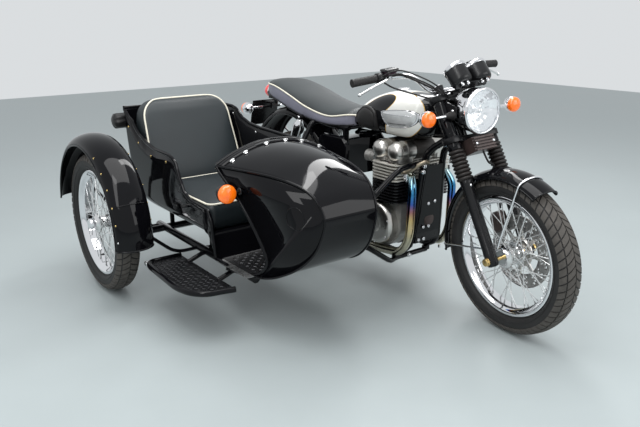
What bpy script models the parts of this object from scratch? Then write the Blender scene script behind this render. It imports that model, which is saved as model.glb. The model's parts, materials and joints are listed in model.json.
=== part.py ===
# Motorcycle with a sidecar on its right, in Blender. Metres, +Z up, +X forward, +Y to the left.
# Everything is laid out in the motorcycle's own frame, whose origin is on the ground under the rear
# axle. The last step stands the whole machine with its origin at the middle of its base.

import math

import bmesh
import bpy
from mathutils import Matrix, Vector

# Whole machine
WHEELBASE = 1.500
RAKE = math.radians(28)
TRAIL = 0.110
STEER_AT_REST = math.radians(-7.6)
SEAT_GAP = 0.0003
OVERRUN = 0.020
SMOOTH_ANGLE = math.radians(35)
TUBE_SIDES = 8

# Wheels
WHEEL_SIDES = 28
HUB_SIDES = 12
SPOKES = 32
FRONT_TYRE_RADIUS = 0.331
FRONT_TYRE_HALF = 0.0525
FRONT_RIM_RADIUS = 0.2525
REAR_TYRE_RADIUS = 0.320
REAR_TYRE_HALF = 0.065
REAR_RIM_RADIUS = 0.2270
RIM_HALF = 0.0370
RIM_FLANGE = 0.0055
RIM_FLANGE_HEIGHT = 0.0100
RIM_WELL_DEPTH = 0.0170
RIM_WELL_HALF = 0.0120
RIM_SKIN = 0.0060
HUB_BARREL_RADIUS = 0.0300
HUB_FLANGE_RADIUS = 0.0480
HUB_FLANGE_THICKNESS = 0.0060
HUB_FLANGE_Y = 0.0340
HUB_HALF = 0.0480
SPOKE_RADIUS = 0.0017
SPOKE_CROSS = math.radians(62)
AXLE_RADIUS = 0.0085
AXLE_PLAY = 0.0004
DISC_RADIUS = 0.155
DISC_BORE_RADIUS = 0.014
DISC_THICKNESS = 0.0045
DISC_CARRIER_RADIUS = 0.0800

# Fork and steering
FORK_HALF_SPAN = 0.100
LEG_LENGTH = 0.7130
FORK_TOP_X = WHEELBASE - LEG_LENGTH * math.sin(RAKE)
FORK_TOP_Z = FRONT_TYRE_RADIUS + LEG_LENGTH * math.cos(RAKE)
FRAME_HEIGHT = FORK_TOP_Z * 0.8329
LEG_BELOW_AXLE = 0.026
STANCHION_RADIUS = 0.0205
SLIDER_RADIUS = 0.0250
SHROUD_RADIUS = 0.0300
SLIDER_TOP = LEG_LENGTH * 0.4769
SHROUD_BOTTOM = LEG_LENGTH * 0.6592
GAITER_RADIUS = 0.0340
GAITER_GROOVE_RADIUS = 0.0270
GAITER_RIBS = 7
LEG_SIDES = 10
YOKE_THICKNESS = 0.024
LOWER_YOKE_S = LEG_LENGTH * 0.7013
UPPER_YOKE_S = LEG_LENGTH * 0.9537
YOKE_HALF_WIDTH = 0.135
YOKE_BACK = 0.030
YOKE_FRONT = 0.038
STEM_RADIUS = 0.0150
HEAD_TUBE_RADIUS = 0.0280
HEAD_TUBE_PLAY = 0.0010

# Handlebar and its controls
BAR_RADIUS = 0.0110
BAR_HALF_SPAN = 0.395
GRIP_RADIUS = 0.0165
GRIP_LENGTH = 0.115
CONTROL_LENGTH = 0.035
CONTROL_RADIUS = 0.0210
LEVER_RADIUS = 0.0045
RESERVOIR_LENGTH = 0.052
RESERVOIR_WIDTH = 0.062
RESERVOIR_HEIGHT = 0.030

# Lamps and instruments
LAMP_RADIUS = 0.0950
LAMP_DEPTH = 0.1180
LAMP_REACH = 0.1877
LAMP_FALL = 0.0605
LAMP_X = FORK_TOP_X + LAMP_REACH
LAMP_Z = FORK_TOP_Z - LAMP_FALL
LAMP_WALL = 0.0040
GAUGE_RADIUS = 0.0430
GAUGE_LENGTH = 0.0760
GAUGE_HALF_SPAN = 0.0520
GAUGE_TILT = math.radians(44)
INDICATOR_HALF_SPAN = 0.230
INDICATOR_RADIUS = 0.0320
INDICATOR_STEM_RADIUS = 0.0070

# Front mudguard
FRONT_GUARD_RADIUS = 0.3600
FRONT_GUARD_HALF = 0.0620
FRONT_GUARD_FROM = math.radians(60)
FRONT_GUARD_TO = math.radians(191)
GUARD_SKIN = 0.0030

# Frame, engine and rear end
TUBE_RADIUS = 0.0160
FRAME_HALF_WIDTH = 0.100
ENGINE_HALF_WIDTH = 0.125
COVER_THICKNESS = 0.055
BARREL_HALF_WIDTH = 0.170
FIN_DEPTH = 0.0120
CAM_COVER_RADIUS = 0.0450
EXHAUST_HALF_SPAN = 0.128
HEADER_RADIUS = 0.0190
SILENCER_RADIUS = 0.0420
SWINGARM_HALF_WIDTH = 0.112
SHOCK_HALF_SPAN = 0.1500
REAR_GUARD_RADIUS = 0.4000
REAR_GUARD_HALF = 0.0850
REAR_GUARD_Z = FRAME_HEIGHT * 0.4812

# Tank and seat
TANK_LENGTH = 0.485
TANK_FRONT_X = 1.0850
TANK_HALF_WIDTH = 0.140
TANK_HEIGHT = 0.205
TANK_BASE_Z = FRAME_HEIGHT * 0.9187
PAD_LENGTH = 0.150
PAD_HEIGHT = 0.100
PAD_THICKNESS = 0.014
SEAT_LENGTH = 0.800
SEAT_HALF_WIDTH = 0.140

# Sidecar body
BODY_Y = -0.655
BODY_HALF_WIDTH = 0.265
BODY_FLOOR_Z = 0.2600
BODY_WALL = 0.0140
TUB_REAR_X = -0.2400
TUB_HEIGHT = 0.5500
NOSE_LENGTH = 0.4940
NOSE_HEIGHT = 0.4360
NOSE_TOE_IN = 0.287
COWL_CROWN = 0.0750
COWL_LEAN = 0.0300
STEP_Z = 0.2150
STEP_TUBE_RADIUS = 0.0130
STEP_PLATE_THICKNESS = 0.0040
CHASSIS_TUBE_RADIUS = 0.0190
CHASSIS_Z = BODY_FLOOR_Z - CHASSIS_TUBE_RADIUS - SEAT_GAP

# Sidecar wheel and its mudguard
SIDECAR_WHEEL_X = 0.0250
SIDECAR_WHEEL_Y = -1.1640
SIDE_GUARD_RADIUS = 0.4250
SIDE_GUARD_HALF = 0.0850
SIDE_GUARD_FROM = math.radians(-4)
SIDE_GUARD_TO = math.radians(172)

# More sizes of the pieces above
AXLE_NUT_LENGTH = 0.0120
DISC_OFFSET = 0.0090
DISC_RUNNING_GAP = 0.0060
CALIPER_WALL = 0.0140
LAMP_SHELL_SHARE = 0.96
LAMP_RIM_WIDTH = 0.0160
LAMP_SIDES = 20
LENS_DOME = 0.0120
EAR_LENGTH = 0.0600
EAR_HEIGHT = 0.0340
EAR_THICKNESS = 0.0050
BRACKET_HALF = 0.0130
BAR_S = LEG_LENGTH * 1.0365
BAR_W = -0.0450
BAR_CLAMP_Y = 0.0500
BAR_SIDES = 10
BAR_BEND = 0.0250
BAR_PULL_BACK = 0.1350
BAR_RISE = 0.0750
LEVER_GAP = 0.0350
LEVER_DROP = 0.0450
GAUGE_REACH = 0.0987
GAUGE_RISE = 0.0515
GAUGE_X = FORK_TOP_X + GAUGE_REACH
GAUGE_Z = FORK_TOP_Z + GAUGE_RISE
GAUGE_PLATE = 0.0090
REGULATOR_HEIGHT = 0.0620
REGULATOR_DEPTH = 0.0340
REGULATOR_HALF = 0.0540
REGULATOR_FINS = 5
INDICATOR_SETBACK = 0.0700
INDICATOR_FALL = 0.0100
INDICATOR_X = LAMP_X - INDICATOR_SETBACK
INDICATOR_Z = LAMP_Z - INDICATOR_FALL
BACKBONE_RADIUS = 0.0180
RAIL_RADIUS = 0.0125
RAIL_Y = REAR_GUARD_HALF + RAIL_RADIUS * 1.4
TUBE_BEND = 0.0500
CASE_TOP_Z = FRAME_HEIGHT * 0.5688
HEAD_Z = FRAME_HEIGHT * 0.6938
COVER_Z = FRAME_HEIGHT * 0.8012
ENGINE_X = 0.5750
ENGINE_LENGTH = 0.4000
BARREL_X = 0.9050
BARREL_HALF_LENGTH = 0.0730
BARREL_CORNER = 0.0200
CAM_SPACING = 0.1000
CARB_HALF_SPAN = 0.0750
CARB_Z = FRAME_HEIGHT * 0.7812
CARB_RADIUS = 0.0280
CARB_LENGTH = 0.1300
EXHAUST_BEND = 0.0500
SILENCER_LENGTH = 0.7400
PIVOT_RADIUS = 0.0180
ARM_RADIUS = 0.0200
SHOCK_EYE = 0.0130
SHOCK_RADIUS = 0.0330
SHOCK_COILS = 7
REAR_GUARD_FROM = math.radians(35)
REAR_GUARD_TO = math.radians(158)
SEAT_REAR_X = TANK_FRONT_X - TANK_LENGTH - SEAT_GAP - SEAT_LENGTH
TAIL_LAMP_SETBACK = 0.1047
TAIL_LAMP_RISE = 0.0420
TAIL_LAMP_X = SEAT_REAR_X - TAIL_LAMP_SETBACK
TAIL_LAMP_Z = FRAME_HEIGHT + TAIL_LAMP_RISE
TAIL_LAMP_LENGTH = 0.0550
TAIL_LAMP_RADIUS = 0.0380
PLATE_SETBACK = 0.1447
PLATE_FALL = 0.0050
PLATE_X = SEAT_REAR_X - PLATE_SETBACK
PLATE_TOP_Z = FRAME_HEIGHT - PLATE_FALL
PLATE_HEIGHT = 0.1500
PLATE_HALF = 0.0900
PLATE_THICKNESS = 0.0040
REAR_INDICATOR_SETBACK = 0.0847
REAR_INDICATOR_FALL = 0.0500
REAR_INDICATOR_X = SEAT_REAR_X - REAR_INDICATOR_SETBACK
REAR_INDICATOR_Z = FRAME_HEIGHT - REAR_INDICATOR_FALL
REAR_INDICATOR_HALF_SPAN = 0.1650
CAP_RADIUS = 0.0300
CAP_HEIGHT = 0.0080
TUNNEL_GAP = 0.0040
PANEL_THICKNESS = 0.0180
LOWER_RAIL_Z = FRAME_HEIGHT * 0.25625
FOOTREST_RADIUS = 0.0110
FOOTREST_LENGTH = 0.1100
FOOTREST_RISE = 0.0600
TUB_LENGTH = 1.0100
NOSE_REAR_X = TUB_REAR_X + TUB_LENGTH + SEAT_GAP
TUB_CORNER = 0.0350
CUSHION_GAP = 0.0050
CUSHION_EDGE = 0.0140
HOOD_RADIUS = 0.0450
HOOD_OVERHANG = 0.0500
STEP_REAR_X = 0.3850
STEP_LENGTH = 0.5000
STEP_WIDTH = 0.2100
STEP_BEND = 0.0400
CHASSIS_REAR_X = -0.0500
CHASSIS_MIDDLE_X = 0.4500
CHASSIS_FRONT_X = 0.9000
RAIL_HALF_SPAN = 0.2000
FRONT_STRUT_X = 0.8600
STRUT_BEND = 0.0500
POST_HALF_SPAN = 0.1600
KNUCKLE_HALF = 0.0250
KNUCKLE_Y = -1.0600
KNUCKLE_WIDTH = 0.0120
POST_RADIUS = 0.0120
STAY_RADIUS = 0.0080
STRUT_RADIUS = 0.0130
UPPER_STRUT_Z = FRAME_HEIGHT * 0.8
STRUT_DROP = 0.1100
REAR_STRUT_X = 0.2800
REAR_STRUT_Z = 0.4600
SIDE_INDICATOR_SETBACK = 0.0897
SIDE_INDICATOR_RISE = 0.3500
SIDE_INDICATOR_X = NOSE_REAR_X + SIDE_INDICATOR_SETBACK
SIDE_INDICATOR_Z = BODY_FLOOR_Z + SIDE_INDICATOR_RISE
SIDE_INDICATOR_REACH = 0.0600
SIDE_INDICATOR_RADIUS = 0.0400

# Shapes, as shares of the sizes above

# Half the handlebar from the middle out: back, out, up
BAR_PATH_SHARES = [
    (0.00, 0.000, 0.00), (0.00, 0.235, 0.00), (-0.50, 0.335, 0.97), (-0.95, 0.610, 0.97), (-1.00, 1.000, 0.85)]
# Headlamp bowl from the back: place before the rim, radius
LAMP_BOWL_SHARES = [(-0.98, 0.30), (-0.90, 0.58), (-0.70, 0.82), (-0.42, 0.96), (-0.24, 1.00)]
# Instrument cup: along its axis, radius
GAUGE_SHARES = [
    (0.00, 0.60), (0.04, 0.84), (0.12, 0.90), (0.80, 0.95), (0.80, 1.00), (0.98, 1.00), (1.00, 0.94), (0.96, 0.90)]
# Indicator lamp from its domed back to its lens: along, radius
INDICATOR_SHARES = [
    (-1.30, 0.20), (-1.15, 0.52), (-0.75, 0.82), (-0.10, 1.00), (0.30, 1.00), (0.62, 0.80), (0.78, 0.35)]
# Backbone and one side of the cradle: shares of wheelbase, frame half width and frame height
BACKBONE_HEAD_SHARE = 0.981
BACKBONE_SHARES = [(0.700, 0, 0.956), (0.493, 0, 0.956), (0.413, 0, 0.881), (0.3633, 0, 0.869)]
CRADLE_HEAD_SHARES = (0.20, 0.9875)
CRADLE_SHARES = [
    (0.700, 0.55, 0.8625), (0.670, 0.85, 0.3125), (0.633, 1.00, 0.25625),
    (0.400, 1.00, 0.25625), (0.3633, 1.00, 0.325), (0.3633, 1.00, 0.923)]
PIVOT_SHARE = (0.3633, 0.0, 0.494)
# Where the seat rails pass under the seat, as shares of its length, and the cross tubes' inset
RAIL_STATION_SHARES = [0.03, 0.20, 0.42, 0.60, 0.80, 0.93]
RAIL_CROSS_SHARE = 0.04
SHOCK_TOP_SHARE = 0.46
SHOCK_FOOT_SHARE = 0.040
REAR_STRUT_SHARE = 0.33
GUARD_LUG_SHARES = [0.625, 0.800]
# Crankcase outline: along, up
CRANKCASE_SHARES = [
    (0.00, 0.38), (0.17, 0.00), (0.78, 0.00), (1.00, 0.32), (1.00, 1.00), (0.55, 1.00), (0.36, 1.00),
    (0.12, 0.92), (0.00, 0.68)]
# Side covers of the crankcase: along, up, radius
COVER_SHARES = [(0.70, 0.52, 0.44), (0.34, 0.50, 0.34)]
# Carburettor body: along, radius
CARB_SHARES = [(0.00, 0.80), (0.30, 0.80), (0.30, 1.00), (0.72, 1.00), (0.72, 0.86), (1.00, 1.05)]
# Exhaust header after its port: shares of wheelbase, frame half width and frame height
HEADER_SHARES = [
    (0.677, 1.05, 0.731), (0.698, 1.28, 0.6625), (0.693, 1.30, 0.375), (0.660, 1.35, 0.275),
    (0.567, 1.50, 0.265), (0.400, 1.65, 0.269), (0.267, 1.72, 0.285)]
# Silencer: along, radius
SILENCER_SHARES = [(0.00, 0.50), (0.10, 0.80), (0.24, 1.00), (0.82, 1.00), (0.94, 0.85), (1.00, 0.45)]
# Shock absorber below its spring: along, radius
SHOCK_SHARES = [(0.06, 0.45), (0.14, 0.60), (0.20, 0.80)]
SHOCK_SPRING_SHARE = 0.22
SHOCK_COVER_SHARE = 0.66
TAIL_LAMP_SHARES = [(0.00, 0.90), (0.20, 1.00), (0.70, 0.98), (0.92, 0.80), (1.00, 0.45)]
# Fuel tank from the front: along, half width, base, top
TANK_SHARES = [
    (0.00, 0.28, 0.32, 0.64), (0.05, 0.52, 0.15, 0.83), (0.14, 0.80, 0.04, 0.94), (0.32, 0.97, 0.00, 0.99),
    (0.55, 1.00, 0.00, 0.98), (0.76, 0.90, 0.02, 0.83), (0.90, 0.78, 0.04, 0.63), (1.00, 0.64, 0.06, 0.44)]
CAP_SHARE = 0.58
PAD_SHARE = 0.72
PAD_UP_SHARE = 0.38
# Seat from the front: along, half width, base and top as shares of frame height
SEAT_SHARES = [
    (0.00, 0.52, 0.944, 1.010), (0.05, 0.76, 0.940, 1.040), (0.20, 0.95, 0.935, 1.042), (0.42, 1.00, 0.956, 1.075),
    (0.60, 1.00, 0.994, 1.118), (0.80, 0.95, 1.050, 1.156), (0.94, 0.78, 1.081, 1.152), (1.00, 0.50, 1.098, 1.132)]
SIDE_PANEL_SHARES = [
    (0.236, 0.84), (0.250, 0.64), (0.330, 0.60), (0.385, 0.64), (0.398, 0.82), (0.370, 0.87), (0.260, 0.87)]
AIRBOX_SHARES = (0.272, 0.350, 0.61, 0.84)
FOOTREST_SHARE = (0.467, 0, 0)
# Tub: x from the rear and z from the floor, as shares of its length and height
TUB_PROFILE_SHARES = [
    (0.000, 1.05), (0.020, 0.66), (0.070, 0.34), (0.150, 0.21), (0.250, 0.185), (0.830, 0.185), (0.900, 0.00)]
SEAT_PAN_SHARE = 0.185
TUB_RIGHT_EDGE_SHARES = [
    (0.000, 1.000), (0.005, 0.992), (0.180, 0.810), (0.345, 0.730), (0.509, 0.724), (0.567, 0.674), (0.609, 0.495),
    (0.697, 0.413), (0.850, 0.400), (0.885, 0.300), (0.905, 0.026)]
TUB_LEFT_EDGE_SHARES = [
    (0.000, 1.000), (0.120, 1.000), (0.218, 0.990), (0.293, 0.900), (0.371, 0.862), (0.466, 0.847), (0.900, 0.825),
    (0.930, 0.740), (1.000, 0.730)]
SEAT_BACK_SHARES = [
    (0.080, 1.080), (0.135, 1.110), (0.160, 1.070), (0.300, 0.440), (0.300, 0.211), (0.264, 0.211),
    (0.185, 0.250), (0.105, 0.440), (0.062, 0.700)]
CUSHION_SHARES = [(0.306, 0.25), (0.835, 0.435)]
HOOD_UP_SHARE = 0.90
# Nose outline from the cowl's rear edge round the front to the floor: along, up, share of the crown
NOSE_PROFILE_SHARES = [
    (0.00, 1.000, 1.00), (0.22, 1.000, 0.95), (0.48, 0.995, 0.70), (0.68, 0.970, 0.38), (0.83, 0.925, 0.12),
    (0.94, 0.835, 0.02), (1.00, 0.690, 0.00), (0.97, 0.530, 0.00), (0.90, 0.370, 0.00), (0.77, 0.220, 0.00),
    (0.62, 0.110, 0.00), (0.45, 0.030, 0.00), (0.25, 0.000, 0.00), (0.00, 0.000, 0.00), (0.00, 0.930, 0.90)]
NOSE_ACROSS_SHARES = [-1.0, -0.75, -0.45, -0.15, 0.15, 0.45, 0.75, 1.0]
# Rear edge of the right panel beside the doorway, from the top: along, up
DOOR_EDGE_SHARES = [(0.000, 0.990), (0.20, 0.680), (0.37, 0.390), (0.445, 0.200), (0.40, 0.090), (0.30, 0.035)]
# Step, from its inner rear corner round the outside: along, out from the body
STEP_SHARES = [
    (0.00, 0.12), (0.00, 0.85), (0.10, 0.94), (0.40, 0.97), (0.69, 1.00), (0.85, 0.90), (0.95, 0.68),
    (0.97, 0.40), (1.00, 0.12)]

# Colour, roughness and metallic value of each finish
FINISHES = {
    "gloss_black": ((0.008, 0.008, 0.010), 0.12, 0.0),
    "satin_black": ((0.020, 0.020, 0.022), 0.45, 0.0),
    "cream_paint": ((0.830, 0.820, 0.770), 0.15, 0.0),
    "chrome": ((0.780, 0.780, 0.790), 0.08, 1.0),
    "cast_alloy": ((0.560, 0.540, 0.510), 0.35, 1.0),
    "polished_alloy": ((0.720, 0.720, 0.720), 0.18, 1.0),
    "steel": ((0.500, 0.500, 0.500), 0.35, 1.0),
    "tinted_steel": ((0.520, 0.430, 0.260), 0.25, 1.0),
    "tyre": ((0.020, 0.020, 0.020), 0.85, 0.0),
    "rubber": ((0.030, 0.028, 0.028), 0.75, 0.0),
    "vinyl": ((0.035, 0.040, 0.043), 0.50, 0.0),
    "lamp_glass": ((0.850, 0.880, 0.900), 0.05, 0.0),
    "amber_lens": ((0.900, 0.200, 0.010), 0.20, 0.0),
    "red_lens": ((0.600, 0.010, 0.010), 0.20, 0.0),
    "brass": ((0.600, 0.420, 0.150), 0.30, 1.0),
}


def clear_scene():
    for obj in list(bpy.data.objects):
        bpy.data.objects.remove(obj, do_unlink=True)


def material(name, finish):
    colour, roughness, metallic = FINISHES[finish]
    made = bpy.data.materials.new(name)
    made.use_nodes = True
    shader = made.node_tree.nodes["Principled BSDF"]
    shader.inputs["Base Color"].default_value = (*colour, 1.0)
    shader.inputs["Roughness"].default_value = roughness
    shader.inputs["Metallic"].default_value = metallic
    return made


def empty(name, place, parent=None):
    made = bpy.data.objects.new(name, None)
    bpy.context.scene.collection.objects.link(made)
    made.matrix_world = place
    if parent:
        made.parent = parent
        made.matrix_parent_inverse = parent.matrix_world.inverted()
    bpy.context.view_layer.update()
    return made


def piece(form, name, finish, parent):
    """Gives a finished form its name and material, and hangs it on its body's empty."""
    form.name = name
    form.data.name = name
    form.data.materials.clear()
    form.data.materials.append(material(name, finish))
    form.data.shade_smooth()
    form.data.set_sharp_from_angle(angle=SMOOTH_ANGLE)
    form.parent = parent
    form.matrix_parent_inverse = parent.matrix_world.inverted()
    return form


# Forms

def loft(rings, closed=False):
    """A closed solid through rings that have equally many points, capped at both ends or closed in a loop."""
    form = bmesh.new()
    rows = [[form.verts.new(point) for point in ring] for ring in rings]
    pairs = list(zip(rows, rows[1:]))
    if closed:
        pairs.append((rows[-1], rows[0]))
    for low, high in pairs:
        for i in range(len(low)):
            j = (i + 1) % len(low)
            form.faces.new((low[i], low[j], high[j], high[i]))
    if not closed:
        form.faces.new(rows[0][::-1])
        form.faces.new(rows[-1])
    bmesh.ops.recalc_face_normals(form, faces=form.faces)
    mesh = bpy.data.meshes.new("form")
    form.to_mesh(mesh)
    form.free()
    made = bpy.data.objects.new("form", mesh)
    bpy.context.scene.collection.objects.link(made)
    return made


def combine(target, tools, operation="UNION", crossing=False):
    """Joins the tools to the target, or cuts them from it, and removes them."""
    for tool in tools:
        step = target.modifiers.new(operation.lower(), "BOOLEAN")
        step.operation = operation
        step.use_self = crossing
        step.object = tool
    bpy.context.view_layer.update()
    graph = bpy.context.evaluated_depsgraph_get()
    made = bpy.data.meshes.new_from_object(target.evaluated_get(graph))
    target.modifiers.clear()
    target.data = made
    for tool in tools:
        bpy.data.objects.remove(tool, do_unlink=True)
    return target


def fuse(first, *others):
    return combine(first, others)


def cut(target, *tools):
    return combine(target, tools, "DIFFERENCE")


def side_frame(direction, start):
    """Two unit vectors square to a direction, the first as near to start as it can be."""
    along = Vector(direction).normalized()
    first = Vector(start) - along * Vector(start).dot(along)
    if first.length < 1e-4:
        first = along.orthogonal()
    first.normalize()
    return first, along.cross(first)


def circle(centre, direction, radius, sides, start, half_step=False):
    first, second = side_frame(direction, start)
    shift = 0.5 if half_step else 0.0
    turns = [math.tau * (k + shift) / sides for k in range(sides)]
    return [Vector(centre) + radius * (first * math.cos(a) + second * math.sin(a)) for a in turns]


def turned(origin, direction, profile, sides, start=(0, 1, 0)):
    """A turned solid. Profile columns: place along the axis, radius. A cup's profile turns back inside."""
    along = Vector(direction).normalized()
    return loft([circle(Vector(origin) + along * s, along, r, sides, start) for s, r in profile])


def turned_sleeve(origin, direction, profile, sides, start=(0, 1, 0), half_step=False):
    """A turned ring with a bore. The profile is a closed outline of (place along the axis, radius)."""
    along = Vector(direction).normalized()
    rows = [
        circle(Vector(origin) + along * s, along, r, sides, start, half_step)
        for s, r in profile
    ]
    return loft(list(zip(*rows)), closed=True)


def tube(points, radius, sides=TUBE_SIDES, radii=None, start=(0, 0, 1)):
    """A tube along a path, with flat ends square to it."""
    points = [Vector(point) for point in points]
    steps = [(b - a).normalized() for a, b in zip(points, points[1:])]
    directions = [steps[0]]
    directions += [(a + b).normalized() for a, b in zip(steps, steps[1:])]
    directions.append(steps[-1])
    first, _ = side_frame(directions[0], start)
    rings = []
    for i, (point, along) in enumerate(zip(points, directions)):
        first, second = side_frame(along, first)
        size = radii[i] if radii else radius
        if 0 < i < len(points) - 1:
            widen = 1 / max(math.cos(steps[i - 1].angle(steps[i]) / 2), 0.5)
        else:
            widen = 1
        bend = along.cross(steps[i - 1]) if 0 < i < len(points) - 1 else Vector((0, 0, 0))
        ring = []
        for k in range(sides):
            turn = math.tau * (k + 0.5) / sides
            offset = size * (first * math.cos(turn) + second * math.sin(turn))
            if bend.length > 1e-9:
                out = bend.normalized().cross(along)
                offset += out * offset.dot(out) * (widen - 1)
            ring.append(point + offset)
        rings.append(ring)
    return loft(rings)


def flat(radius, sides=TUBE_SIDES):
    """How far a tube's flats lie from its middle."""
    return radius * math.cos(math.pi / sides)


def rounded(points, corner, steps=2):
    """A path with each inner corner rounded over the given distance either side of it."""
    points = [Vector(point) for point in points]
    path = [points[0]]
    for before, here, after in zip(points, points[1:], points[2:]):
        back = before - here
        ahead = after - here
        reach = min(corner, back.length * 0.45, ahead.length * 0.45)
        start = here + back.normalized() * reach
        end = here + ahead.normalized() * reach
        for k in range(steps + 1):
            t = k / steps
            path.append(start * (1 - t) ** 2 + here * (2 * t * (1 - t)) + end * t ** 2)
    path.append(points[-1])
    return path


def prism(outline, low, high, inset_share=1.0):
    """An (x, z) outline extruded along Y from low to high, its far end shrunk to inset_share."""
    middle = Vector((sum(x for x, _ in outline), sum(z for _, z in outline))) / len(outline)
    ends = []
    for y, share in ((low, 1.0), (high, inset_share)):
        ring = [middle + (Vector(point) - middle) * share for point in outline]
        ends.append([Vector((x, y, z)) for x, z in ring])
    return loft(ends)


def box(low, high):
    corners = [(low[0], low[2]), (high[0], low[2]), (high[0], high[2]), (low[0], high[2])]
    return prism(corners, low[1], high[1])


def bevelled(form, width, segments=1):
    step = form.modifiers.new("bevel", "BEVEL")
    step.width = width
    step.segments = segments
    step.limit_method = "ANGLE"
    return combine(form, [])


def round_rectangle(half_a, half_b, corner, steps=2):
    """Points of a rectangle with round corners, about its middle."""
    points = []
    for quarter, (sign_a, sign_b) in enumerate(((1, 1), (-1, 1), (-1, -1), (1, -1))):
        for k in range(steps + 1):
            turn = (quarter + k / steps) * math.pi / 2
            a = sign_a * (half_a - corner) + corner * math.cos(turn)
            b = sign_b * (half_b - corner) + corner * math.sin(turn)
            points.append((a, b))
    return points


def arc_sweep(section, centre_x, centre_z, y, start, end, steps):
    """A section of (radius, y) points swept about an axis along Y, from one angle to another."""
    rings = []
    for k in range(steps + 1):
        turn = start + (end - start) * k / steps
        rings.append([
            Vector((centre_x + r * math.cos(turn), y + across, centre_z + r * math.sin(turn)))
            for r, across in section
        ])
    return loft(rings)


def guard_section(radius, half, drop, skin, steps=4):
    """A mudguard's section: a crowned skin, outer side first, then the inner side back."""
    outer = []
    inner = []
    for k in range(steps + 1):
        turn = math.pi / 2 * (2 * k / steps - 1)
        fall = drop * (1 - math.cos(turn))
        outer.append((radius - fall, half * math.sin(turn)))
        inner.append((radius - skin - fall, (half - skin) * math.sin(turn)))
    return outer + inner[::-1]


# Wheels, built about their own centre with the axle along Y and a flat of the tyre at the bottom

def tyre(radius, half, rim_radius):
    bead = rim_radius - RIM_FLANGE_HEIGHT + SEAT_GAP
    inside = RIM_HALF - RIM_FLANGE - SEAT_GAP
    height = radius - rim_radius
    half_outline = [
        (inside, bead),
        (inside, rim_radius + SEAT_GAP),
        (half * 0.86, rim_radius + SEAT_GAP + height * 0.08),
        (half, rim_radius + height * 0.42),
        (half * 0.76, rim_radius + height * 0.84),
        (half * 0.24, radius),
    ]
    return wheel_ring(half_outline + [(-y, r) for y, r in half_outline[::-1]], WHEEL_SIDES)


def wheel_ring(outline, sides):
    """A ring about Y whose flats, and not its corners, touch the stated radii."""
    widen = 1 / math.cos(math.pi / sides)
    profile = [(y, r * widen) for y, r in outline]
    return turned_sleeve((0, 0, 0), (0, 1, 0), profile, sides, (0, 0, -1), half_step=True)


def wire_wheel(rim_radius):
    """Rim, hub and crossed spokes, joined where the spokes enter them."""
    bead = rim_radius - RIM_FLANGE_HEIGHT
    well = bead - RIM_WELL_DEPTH
    half_rim = [
        (RIM_HALF - RIM_FLANGE / 2, bead - RIM_SKIN),
        (RIM_HALF, rim_radius),
        (RIM_HALF - RIM_FLANGE, rim_radius),
        (RIM_HALF - RIM_FLANGE, bead),
        (RIM_WELL_HALF, well),
    ]
    skin = [(-RIM_WELL_HALF, well - RIM_SKIN), (RIM_WELL_HALF, well - RIM_SKIN)]
    rim = wheel_ring(skin + half_rim + [(-y, r) for y, r in half_rim[::-1]], WHEEL_SIDES)
    bore = AXLE_RADIUS + AXLE_PLAY
    half_hub = [
        (HUB_FLANGE_Y - HUB_FLANGE_THICKNESS, HUB_BARREL_RADIUS),
        (HUB_FLANGE_Y - HUB_FLANGE_THICKNESS, HUB_FLANGE_RADIUS),
        (HUB_FLANGE_Y, HUB_FLANGE_RADIUS),
        (HUB_HALF, HUB_BARREL_RADIUS),
        (HUB_HALF, bore),
    ]
    hub = wheel_ring(half_hub + [(-y, r) for y, r in half_hub[::-1]], HUB_SIDES)
    nipple = well - RIM_SKIN / 2
    root = HUB_FLANGE_RADIUS - HUB_FLANGE_THICKNESS / 2
    flange = HUB_FLANGE_Y - HUB_FLANGE_THICKNESS / 2
    spokes = []
    for k in range(SPOKES):
        side = 1 if k % 2 else -1
        lean = 1 if k // 2 % 2 else -1
        turn = math.tau * (k + 0.5) / SPOKES
        start = turn + lean * SPOKE_CROSS
        spokes.append(tube(
            [
                (root * math.cos(start), side * (flange + lean * SPOKE_RADIUS / 2), root * math.sin(start)),
                (nipple * math.cos(turn), side * RIM_WELL_HALF / 3, nipple * math.sin(turn)),
            ],
            SPOKE_RADIUS, sides=3, start=(0, 1, 0),
        ))
    return combine(rim, [hub, *spokes])


def brake_disc():
    seat = HUB_HALF + SEAT_GAP
    face = seat + DISC_OFFSET
    outline = [
        (seat, DISC_BORE_RADIUS),
        (seat, DISC_CARRIER_RADIUS),
        (face, DISC_CARRIER_RADIUS + DISC_OFFSET),
        (face, DISC_RADIUS),
        (face + DISC_THICKNESS, DISC_RADIUS),
        (face + DISC_THICKNESS, DISC_CARRIER_RADIUS + DISC_OFFSET - DISC_THICKNESS),
        (seat + DISC_THICKNESS, DISC_CARRIER_RADIUS - DISC_THICKNESS),
        (seat + DISC_THICKNESS, DISC_BORE_RADIUS),
    ]
    return wheel_ring(outline, WHEEL_SIDES)


def axle(reach, washer=AXLE_RADIUS * 1.9):
    """A rod along Y with a nut outside each end of what it passes through."""
    end = reach + AXLE_NUT_LENGTH
    profile = [
        (-end, washer), (-reach, washer), (-reach, AXLE_RADIUS),
        (reach, AXLE_RADIUS), (reach, washer), (end, washer)]
    return turned((0, 0, 0), (0, 1, 0), profile, 12)


# Fork frame: s runs up the legs from the axle, w forward and square to them, y to the left

SINE = math.sin(RAKE)
COSINE = math.cos(RAKE)
AXLE_HEIGHT = FRONT_TYRE_RADIUS
UP_LEG = Vector((-SINE, 0, COSINE))
AHEAD = Vector((COSINE, 0, SINE))
FRONT_AXLE = Vector((WHEELBASE, 0, AXLE_HEIGHT))
STEER_FOOT = Vector((WHEELBASE + TRAIL, 0, 0))
FORK_OFFSET = (FRONT_AXLE - STEER_FOOT).dot(AHEAD)
FOOT_S = (STEER_FOOT - FRONT_AXLE).dot(UP_LEG)


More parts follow.
